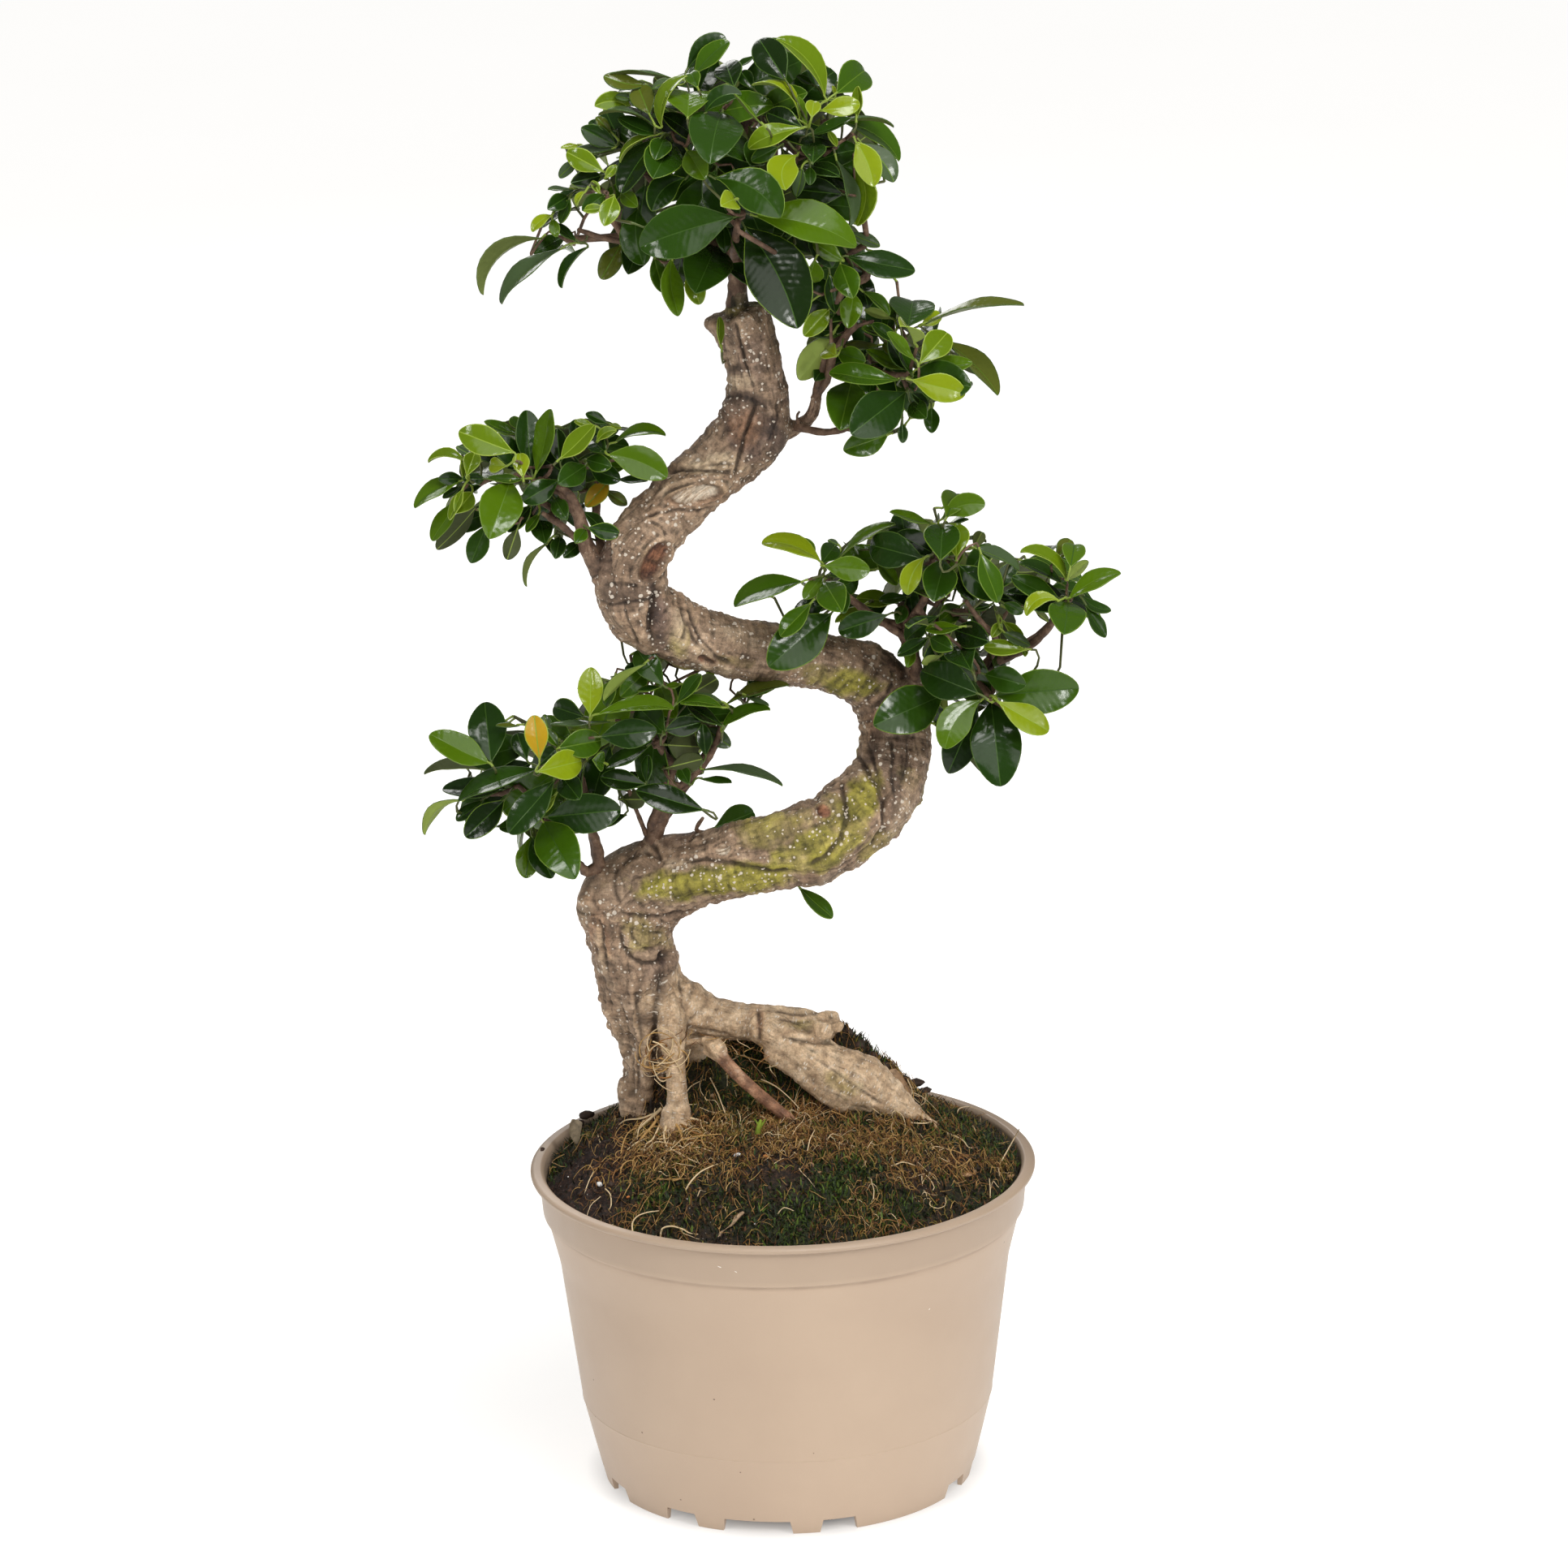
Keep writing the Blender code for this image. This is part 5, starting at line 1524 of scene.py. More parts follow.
class Growth:
    """Limbs as nodes with parents; every shoot grows on from the nearest fitting node."""

    def __init__(self, cover, seen):
        self.pos, self.parent, self.thick, self.region = [], [], [], []
        self.cover, self.seen = cover, seen

    def add(self, p, parent, thick, region):
        self.pos.append(np.array(p, float))
        self.parent.append(parent)
        self.thick.append(thick)
        self.region.append(region)
        return len(self.pos) - 1

    def chain(self, pts, radii, region, join=False):
        last = -1
        if join and self.pos:
            d = np.linalg.norm(np.array(self.pos) - pts[0], axis=1)
            i = int(d.argmin())
            if d[i] < 0.012:
                last = i
        for p, r in zip(pts, radii):
            last = self.add(p, last, r, region)
        return last

    def starts(self, target, inward, region):
        pos = np.array(self.pos)
        ok = np.array([r == region for r in self.region])
        d = target - pos
        dist = np.linalg.norm(d, axis=1) + 1e-9
        along = (d / dist[:, None]) @ inward
        cost = dist * (1.0 + 0.55 * (1 - along)) + np.where(ok, 0, 0.05)
        order = np.argsort(cost)[:40:5]
        return [(int(i), dist[i], cost[i]) for i in order]

    def route(self, i, dist, target, inward, wob, n, push=0.0):
        a = self.pos[i]
        par = self.parent[i]
        start = (a - self.pos[par]) if par >= 0 else (target - a)
        start = start / (np.linalg.norm(start) + 1e-9)
        c1 = a + (start * 0.5 + (target - a) / dist * 0.6) * dist * 0.35
        c2 = target - inward * dist * 0.38
        c1 = c1 + np.array(FWD) * push * 1.6
        c2 = c2 + np.array(FWD) * push * 0.7
        t = (np.arange(1, n + 1) / n)[:, None]
        return a * (1 - t) ** 3 + 3 * c1 * t * (1 - t) ** 2 + 3 * c2 * t * t * (1 - t) + target * t ** 3 + wob * np.sin(math.pi * t)

    def reach(self, target, inward, region, rng, thick=0.0, step=0.0035, limit=None):
        """Grows a twig from a fitting node to target, arriving along inward, out of open sky where it can."""
        wob = np.array([rng.gauss(0, 1) for _ in range(3)])
        best = None
        for i, dist, cost in self.starts(target, inward, region):
            if dist < 0.0012:
                return i
            for push in (0.0, 0.012, 0.024) if dist > 0.006 else (0.0,):
                pts = self.route(i, dist, target, inward, wob * dist * 0.025, 8, push)
                x, y = many_px(pts)
                ix, iy = np.clip((x / Cover.STEP).astype(int), 0, 999), np.clip((y / Cover.STEP).astype(int), 0, 999)
                far = (pts - np.array(EYE)) @ np.array(FWD)
                over = (far < self.seen.front[iy, ix] - 0.0005) & (self.seen.front[iy, ix] < 8)
                price = cost * (1 + 5 * (~self.cover.mask[iy, ix]).mean() + 5 * over[:-1].mean()) + push * 0.08
                if best is None or price < best[0]:
                    best = (price, i, dist, push, (~self.cover.mask[iy, ix]).mean() * dist)
        _, last, dist, push, bare = best
        if limit is not None and (bare > limit or dist > 0.030):
            return None
        for p in self.route(last, dist, target, inward, wob * dist * 0.025, max(2, int(dist / step)), push):
            last = self.add(p, last, thick, region)
        return last


def grow_limbs(traced, shoots, cover, seen):
    g = Growth(cover, seen)
    rng = random.Random(5)
    for name, rows in BOUGHS.items():
        s = sampled(rows, 4)
        region = {"bough_crown": "crown", "bough_right_upper": "right_upper", "bough_left_upper": "left_upper", "bough_right_mid": "right_mid", "bough_left_low": "left_low"}[
            next(k for k in ("bough_crown", "bough_right_upper", "bough_left_upper", "bough_right_mid", "bough_left_low") if name.startswith(k))]
        g.chain(s[:, :3] * MM, s[:, 3] * MM, region, join=True)
    for region, limbs in LIMBS.items():
        for rows in limbs:
            pts = [(*at(px, py, y), r * MM) for px, py, y, r in rows]
            s = sampled(pts, 4)
            g.chain(s[:, :3], s[:, 3], region, join=True)
    # traced leaves that spring from the same spot share a shoot
    todo = []
    left = list(range(len(traced)))
    bases = np.array([l.base for l in traced])
    used = set()
    for i in left:
        if i in used:
            continue
        group = [j for j in left if j not in used and traced[j].region == traced[i].region and np.linalg.norm((bases[j] - bases[i]) * np.array([1, 0.45, 1])) < 0.0075]
        used.update(group)
        centre = bases[group].mean(0)
        back = np.zeros(3)
        for j in group:
            ax = traced[j].tip - traced[j].base
            back += ax / np.linalg.norm(ax)
        back = back / (np.linalg.norm(back) + 1e-9)
        todo.append((centre - back * 0.004, back, group, traced[i].region))
    for p, outward, nodes, leaves, region in shoots:
        todo.append((p, outward, (nodes, leaves), region))
    pos = np.array(g.pos)
    order = sorted(range(len(todo)), key=lambda k: np.linalg.norm(pos - todo[k][0], axis=1).min())
    petioles, dropped = [], set()
    for k in order:
        p, inward, group, region = todo[k]
        if isinstance(group, tuple):
            nodes, leaves = group
            end = g.reach(p, inward, region, rng, limit=0.006)
            if end is None:
                dropped.update(id(leaf) for leaf in leaves)
                continue
            last = end
            for q in sorted(nodes, key=lambda q: np.dot(q - p, inward)):
                last = g.add(q, last, 0.0007, region)
            for q, leaf in zip(nodes, leaves):
                petioles.append((q, leaf))
        else:
            lean = inward * 0.5 + np.array([0, 0, 0.5])
            lean /= np.linalg.norm(lean)
            end = g.reach(p, lean, region, rng)
            tip = p + inward * 0.0022
            g.add(tip, end, 0.0005, region)
            for j in group:
                petioles.append((p + inward * 0.002, traced[j]))
    return g, petioles, dropped


def twig_mesh(g, petioles):
    n = len(g.pos)
    pos = np.array(g.pos)
    kids = [[] for _ in range(n)]
    for i, p in enumerate(g.parent):
        if p >= 0:
            kids[p].append(i)
    power = 2.4
    load = np.zeros(n)
    for i in range(n - 1, -1, -1):
        own = 0.00052 ** power if not kids[i] else 0.0
        load[i] += own
        if g.parent[i] >= 0:
            load[g.parent[i]] += load[i]
    radius = load ** (1 / power)
    radius = np.minimum(radius, 0.0017)
    radius = np.maximum(radius, np.array(g.thick))
    soup = Soup()
    # every chain runs from a fork to a tip, and starts inside its parent
    started = [i for i in range(n) if g.parent[i] < 0]
    stack = [(i, None) for i in started]
    while stack:
        i, parent = stack.pop()
        chain = [] if parent is None else [parent]
        chain.append(i)
        while kids[chain[-1]]:
            ks = sorted(kids[chain[-1]], key=lambda k: -radius[k])
            for k in ks[1:]:
                stack.append((k, chain[-1]))
            chain.append(ks[0])
        if len(chain) < 2:
            continue
        pts = pos[chain]
        r = radius[chain].copy()
        if parent is not None and len(chain) > 1:
            r[0] = min(r[0], r[1] * 1.25)
        # knobbly nodes along the shoot
        jig = 1 + 0.10 * np.sin(np.arange(len(r)) * 2.1 + chain[-1])
        r = r * jig
        keep = [0]
        for k in range(1, len(pts)):
            if np.linalg.norm(pts[k] - pts[keep[-1]]) > 0.0006:
                keep.append(k)
        if len(keep) < 2:
            continue
        young = r[keep].max() < 0.00085 and parent is not None
        tube(soup, pts[keep], r[keep], 8 if r.max() > 0.0016 else 6, 1 if young else 0)
    stems = Soup()
    for q, leaf in petioles:
        axis = leaf.tip - leaf.base
        axis /= np.linalg.norm(axis)
        d = np.linalg.norm(leaf.base - q)
        t = np.linspace(0, 1, 5)[:, None]
        c1 = q + (leaf.base - q) * 0.4 + np.array([0, 0, 0.12]) * d
        c2 = leaf.base - axis * d * 0.35
        inner = leaf.base + axis * 0.0012
        pts = q * (1 - t) ** 3 + 3 * c1 * t * (1 - t) ** 2 + 3 * c2 * t * t * (1 - t) + inner * t ** 3
        tube(stems, pts, np.array([0.0007, 0.00056, 0.0005, 0.0005, 0.00045]), 5, 0 if leaf.tone in "KDE" else 1)
    return soup, stems


# ================================================================ bark
def trunk_tube():
    """Rings of the whole trunk, densely, for the union."""
    rows = TRUNK
    soup = Soup()
    us = np.arange(0, (len(rows) - 1) * TRUNK_SUB + 1) / TRUNK_SUB

    def point(u):
        i = min(int(u), len(rows) - 2)
        return catmull(rows, i, u - i)

    rings = []
    for u in us:
        x, y, z, w, head = point(u)
        lo, hi = point(max(u - 0.25, 0.0)), point(min(u + 0.25, len(rows) - 1.0))
        along = (Vector(hi[:3]) - Vector(lo[:3])).normalized()
        h = math.radians(head)
        side = Vector((math.sin(h), 0.0, -math.cos(h)))
        deep = along.cross(side).normalized()
        centre = Vector((x, y, z)) * MM
        ring = []
        for k in range(TRUNK_SIDES):
            a = 2 * math.pi * k / TRUNK_SIDES
            swell = 1.0 + 0.03 * math.sin(3 * a - 1.3 * u)
            r = w * MM * swell
            ring.append(centre + side * (r * math.cos(a)) + deep * (r * TRUNK_DEPTH * math.sin(a)))
        rings.append([tuple(p) for p in ring])
    rings[0] = [(x, y, 0.150) for x, y, z in rings[0]]
    add_rings(soup, rings)
    return soup, us


def add_rings(soup, rings):
    n = len(rings[0])
    verts = [p for r in rings for p in r]
    faces = []
    for i in range(len(rings) - 1):
        for k in range(n):
            j = (k + 1) % n
            faces.append((i * n + k, i * n + j, (i + 1) * n + j, (i + 1) * n + k))
    soup.add(verts, faces, 0)
    for end, flip in ((0, True), (len(rings) - 1, False)):
        base = soup.n
        ring = rings[end]
        mid = tuple(np.mean(ring, axis=0))
        fan = [((j, k, n) if flip else (k, j, n)) for k, j in ((k, (k + 1) % n) for k in range(n))]
        soup.add(ring + [mid], fan, 0)


def closed_tube(soup, pts, radii, sides):
    tube(soup, pts, radii, sides, 0, cap=True)


def union_mesh(soup, voxel):
    """One skin round every limb, by voxel remesh."""
    me = bpy.data.meshes.new("union")
    me.from_pydata(np.concatenate(soup.v).tolist(), [], [f for b in soup.f for f in b.tolist()])
    bm = bmesh.new()
    bm.from_mesh(me)
    bmesh.ops.remove_doubles(bm, verts=bm.verts[:], dist=0.00001)
    bmesh.ops.recalc_face_normals(bm, faces=bm.faces[:])
    bm.to_mesh(me)
    bm.free()
    ob = bpy.data.objects.new("union", me)
    bpy.context.scene.collection.objects.link(ob)
    mod = ob.modifiers.new("remesh", "REMESH")
    mod.mode = "VOXEL"
    mod.voxel_size = voxel
    mod.adaptivity = 0.0
    dg = bpy.context.evaluated_depsgraph_get()
    out = bpy.data.meshes.new_from_object(ob.evaluated_get(dg))
    bpy.data.objects.remove(ob, do_unlink=True)
    return out


def mesh_arrays(me):
    co = np.empty(len(me.vertices) * 3)
    me.vertices.foreach_get("co", co)
    ed = np.empty(len(me.edges) * 2, np.int64)
    me.edges.foreach_get("vertices", ed)
    return co.reshape(-1, 3), ed.reshape(-1, 2)


def spread(values, edges, n, times, share=0.5):
    """Smooths values over the mesh."""
    a, b = edges[:, 0], edges[:, 1]
    deg = np.bincount(a, minlength=n) + np.bincount(b, minlength=n)
    v = values.copy()
    flat = v.ndim == 1
    for _ in range(times):
        if flat:
            acc = np.bincount(a, v[b], n) + np.bincount(b, v[a], n)
            v = v * (1 - share) + share * acc / deg
        else:
            acc = np.stack([np.bincount(a, v[b, k], n) + np.bincount(b, v[a, k], n) for k in range(v.shape[1])], -1)
            v = v * (1 - share) + share * acc / deg[:, None]
    return v


def normals_of(me, co):
    me.vertices.foreach_set("co", co.ravel())
    me.update()
    out = np.empty(len(co) * 3, np.float32)
    me.vertex_normals.foreach_get("vector", out)
    return out.reshape(-1, 3).astype(float)


def limb_samples():
    """Centre line points of every limb under the bark: position, side, deep, tangent, radius, length so far, kind."""
    rows = []
    s = sampled(TRUNK, 8)
    pts = s[:, :3] * MM
    tang = np.gradient(pts, axis=0)
    tang /= np.linalg.norm(tang, axis=1)[:, None]
    run = np.concatenate([[0], np.cumsum(np.linalg.norm(np.diff(pts, axis=0), axis=1))])
    h = np.radians(s[:, 4])
    side = np.stack([np.sin(h), np.zeros(len(h)), -np.cos(h)], -1)
    deep = np.cross(tang, side)
    deep /= np.linalg.norm(deep, axis=1)[:, None]
    rows.append((pts, side, deep, tang, s[:, 3] * MM, run, np.zeros(len(pts))))
    for kind, table in ((1, ROOTS), (2, BOUGHS)):
        for name, t in table.items():
            s = sampled(t, 8)
            pts = s[:, :3] * MM
            tang, side, deep = frame_along(pts)
            run = np.concatenate([[0], np.cumsum(np.linalg.norm(np.diff(pts, axis=0), axis=1))])
            rows.append((pts, side, deep, tang, s[:, 3] * MM, run, np.full(len(pts), float(kind))))
    return [np.concatenate([r[k] for r in rows]) for k in range(7)]


def locate(co, samples):
    """Nearest limb sample of each point, by distance over radius."""
    pts, side, deep, tang, rad, run, kind = samples
    kd = KDTree(len(pts))
    for i, p in enumerate(pts):
        kd.insert(p, i)
    kd.balance()
    idx = np.zeros(len(co), int)
    for i, c in enumerate(co.tolist()):
        best, bi = 1e9, 0
        for p, j, d in kd.find_n(c, 10):
            q = d / rad[j]
            if q < best:
                best, bi = q, j
        idx[i] = bi
    return idx


def line_field(px, py, pts):
    """Distance in pixels to a polyline, and how far along it the nearest point is (0..1)."""
    pts = np.array(pts, float)
    seg = np.linalg.norm(np.diff(pts, axis=0), axis=1)
    total = seg.sum()
    best = np.full(len(px), 1e9)
    along = np.zeros(len(px))
    done = 0.0
    for (x0, y0), (x1, y1), s in zip(pts[:-1], pts[1:], seg):
        if s < 1e-6:
            continue
        t = np.clip(((px - x0) * (x1 - x0) + (py - y0) * (y1 - y0)) / s ** 2, 0, 1)
        d = np.hypot(px - x0 - t * (x1 - x0), py - y0 - t * (y1 - y0))
        m = d < best
        best[m] = d[m]
        along[m] = (done + t[m] * s) / total
        done += s
    return best, along


# creases and ridges of the front: depth in mm (negative is a groove), half width in px, then the line
CREASES = (
    (2.4, 11.0, ((775, 1108), (800, 1100), (830, 1092), (865, 1086), (905, 1086), (935, 1088))),
    (2.2, 12.0, ((880, 1030), (915, 1026), (950, 1020), (985, 1012), (1015, 1000), (1040, 982), (1052, 960))),
    (2.0, 12.0, ((1068, 985), (1072, 1005), (1062, 1030), (1035, 1052), (1000, 1066), (970, 1074))),
    (-2.2, 3.4, ((1052, 925), (1064, 945), (1080, 966), (1090, 990), (1091, 1018), (1078, 1044), (1050, 1062))),
    (-1.8, 3.2, ((1037, 962), (1041, 985), (1042, 1008), (1036, 1032), (1018, 1052), (992, 1066))),
    (-1.6, 3.0, ((764, 1068), (775, 1056), (795, 1050), (812, 1058))),
    (-1.3, 2.6, ((806, 1040), (811, 1052), (813, 1062))),
    (-1.6, 3.6, ((816, 1190), (812, 1215), (806, 1245), (806, 1280), (808, 1320), (808, 1352))),
    (1.5, 8.0, ((826, 1200), (828, 1225), (826, 1248), (824, 1275))),
    (-1.0, 3.0, ((786, 1205), (784, 1240), (790, 1280), (786, 1320), (788, 1350))),
    (-0.8, 2.6, ((762, 1225), (770, 1260), (776, 1300), (778, 1345))),
    (-0.9, 2.4, ((845, 1262), (862, 1268), (885, 1272), (905, 1276))),
    (-1.5, 2.6, ((970, 1278), (990, 1282), (1010, 1284), (1034, 1284))),
    (-1.0, 2.2, ((952, 1246), (975, 1250), (1000, 1249), (1018, 1247))),
    (-0.9, 2.0, ((957, 1256), (980, 1260), (1000, 1259))),
    (-0.7, 2.2, ((1000, 1300), (1030, 1322), (1062, 1345), (1090, 1362))),
    (-2.2, 3.4, ((806, 712), (808, 735), (802, 760), (797, 790))),
    (-1.0, 2.2, ((768, 745), (775, 765), (782, 785), (786, 800))),
    (1.6, 8.0, ((836, 740), (832, 765), (842, 790), (862, 806))),
    (-1.4, 2.4, ((846, 745), (852, 765), (862, 788), (882, 808), (905, 818))),
    (-1.0, 2.0, ((735, 738), (755, 745), (778, 742), (800, 738))),
    (-0.9, 2.0, ((742, 722), (765, 718), (790, 722))),
    (-1.3, 2.2, ((790, 636), (812, 630), (838, 629), (862, 630), (880, 622))),
    (-1.0, 2.2, ((800, 640), (815, 650), (822, 662))),
    (1.2, 5.0, ((812, 600), (838, 594), (868, 590), (892, 594))),
    (-1.0, 2.0, ((818, 606), (838, 600), (866, 596), (890, 600))),
    (-1.2, 2.4, ((820, 582), (850, 578), (890, 582), (912, 580))),
    (-0.9, 3.0, ((890, 492), (905, 488), (925, 492), (950, 505))),
    (1.3, 8.0, ((893, 502), (912, 498), (930, 505))),
    (-1.4, 2.4, ((905, 395), (911, 420), (917, 448), (924, 466))),
    (-1.6, 2.4, ((934, 496), (925, 515), (917, 540), (912, 565), (907, 590))),
    (-1.3, 3.0, ((849, 1062), (870, 1059), (892, 1060), (920, 1066), (952, 1073), (978, 1071))),
    (1.0, 7.0, ((850, 1052), (880, 1050), (915, 1056), (950, 1062))),
    (-1.2, 2.6, ((763, 1126), (790, 1129), (816, 1130), (842, 1124), (860, 1119))),
    (0.7, 5.0, ((765, 1136), (790, 1139), (818, 1140))),
    (-1.0, 2.6, ((761, 1066), (756, 1082), (758, 1100), (764, 1116))),
    (0.8, 6.0, ((768, 1070), (766, 1090), (772, 1108))),
    (-1.4, 2.8, ((763, 1146), (766, 1162), (775, 1176), (790, 1186), (806, 1186), (822, 1179))),
    (0.9, 5.0, ((770, 1142), (776, 1158), (786, 1170), (800, 1174))),
    (-0.8, 2.2, ((775, 1142), (780, 1156), (792, 1166), (806, 1168))),
    (-3.6, 6.0, ((813, 1172), (817, 1181))),
    (0.9, 5.0, ((822, 1165), (828, 1178), (822, 1190))),
    (-1.2, 3.0, ((800, 1035), (806, 1046), (812, 1057))),
    (-1.6, 4.0, ((816, 712), (812, 730), (806, 752), (802, 775), (804, 798))),
    (1.2, 7.0, ((826, 730), (824, 752), (818, 780))),
    (-1.0, 3.0, ((836, 745), (842, 770), (838, 792))),
    (-1.2, 3.0, ((1062, 905), (1072, 930), (1080, 955), (1093, 980), (1090, 1005))),
    (1.0, 7.0, ((1080, 925), (1090, 950), (1100, 975))),
    (-0.9, 2.4, ((1040, 985), (1046, 1010), (1038, 1035), (1020, 1052))),
    (-1.1, 2.4, ((1095, 905), (1100, 930), (1098, 955), (1104, 985))),
    (-0.8, 2.0, ((1118, 905), (1120, 935), (1112, 962))),
    (-0.9, 2.0, ((1075, 880), (1092, 888), (1115, 886), (1135, 892))),
    (-0.9, 1.8, ((905, 395), (912, 420), (918, 450), (925, 468), (930, 480))),
    (-1.2, 2.0, ((932, 498), (922, 515), (917, 535), (910, 560), (905, 592))),
    (-0.8, 2.0, ((958, 500), (960, 520), (955, 545))),
    (-0.6, 1.8, ((890, 400), (892, 425), (898, 450))),
    (-1.2, 3.0, ((845, 760), (852, 785), (865, 800), (885, 812), (905, 822))),
    (1.0, 6.0, ((856, 790), (872, 802), (892, 810))),
    (-1.8, 3.0, ((945, 812), (958, 816), (968, 822))),
    (-1.5, 3.2, ((861, 806), (870, 812), (880, 818))),
    (-0.8, 3.0, ((790, 580), (830, 580), (870, 574), (905, 570), (925, 578))),
    (0.8, 5.0, ((795, 592), (835, 590), (875, 584))),
    (-0.8, 2.4, ((735, 1092), (731, 1108), (737, 1124))),
    (-1.0, 2.2, ((737, 1130), (742, 1150), (748, 1172), (751, 1192))),
    (-0.9, 2.4, ((832, 1190), (834, 1210), (840, 1232))),
    (-1.5, 3.0, ((934, 1243), (936, 1262), (935, 1285))),
    (1.0, 6.0, ((946, 1244), (948, 1262), (948, 1284))),
    (-0.8, 2.6, ((960, 1276), (985, 1285), (1010, 1296))),
    (-2.6, 5.0, ((797, 1358), (803, 1368))),
    (-1.4, 3.5, ((1100, 838), (1092, 858), (1076, 872))),
    (1.2, 7.0, ((1108, 822), (1100, 838), (1086, 856))),
    (-0.7, 2.0, ((740, 700), (756, 708), (775, 720), (800, 722))),
    (-0.7, 2.0, ((742, 746), (760, 752), (785, 752))),
    (-0.6, 2.0, ((1000, 1072), (1030, 1068), (1060, 1055))),
    (0.9, 6.0, ((985, 1088), (1010, 1084), (1035, 1078))),
)

# knobs: centre px, radius px, height mm
KNOBS = (
    ((1027, 957), 9, 2.4), ((1050, 1072), 9, 1.2), ((978, 1098), 10, 1.4), ((765, 1056), 8, 1.3), ((876, 1044), 7, 1.4), ((960, 566), 10, 1.6),
    ((900, 505), 10, 1.2), ((958, 520), 12, 1.2), ((945, 590), 9, 1.0), ((770, 640), 9, 1.0), ((735, 715), 8, 1.5), ((1035, 1264), 6, 1.6), ((1015, 1270), 7, 1.8),
    ((886, 1290), 8, 1.6), ((873, 1287), 6, 1.2), ((842, 1192), 7, 1.2), ((760, 1198), 6, 1.0), ((740, 1180), 6, 0.9), ((862, 1115), 8, 1.0),
    ((722, 1110), 11, 2.6), ((793, 1160), 15, 1.3), ((900, 1048), 8, 1.6), ((905, 1098), 7, 1.2), ((1017, 1005), 9, 0.9),
    ((857, 606), 20, -0.9), ((1123, 878), 8, 1.2), ((847, 1216), 5, 2.0), ((1062, 958), 9, 1.5), ((1022, 980), 8, 1.2), ((742, 1068), 9, 1.0),
    ((1015, 1250), 13, 1.6), ((1003, 1262), 8, 1.4), ((824, 1200), 9, 1.0), ((766, 1215), 10, 0.8), ((752, 1248), 8, 1.0), ((780, 1300), 10, 0.7),
    ((828, 1318), 8, 1.3), ((818, 1338), 7, 1.0), ((834, 1352), 7, 1.1), ((815, 1368), 8, 1.3), ((838, 1372), 7, 1.1), ((826, 1290), 8, -0.8),
)

# oval scars: centre px, half axes px, turn degrees (up from the right), floor mm, lip mm, kind
SCARS = (
    ((857, 609), (29, 10), 13, -1.2, 1.9, "wood"),
    ((806, 692), (29, 13), 55, -1.6, 1.5, "red"),
    ((870, 812), (13, 4.5), -25, -1.0, 0.8, "red"),
    ((893, 1048), (9, 6), 15, -0.8, 0.9, "wood"),
    ((1016, 1004), (9, 7), 0, -0.6, 0.5, "red"),
)

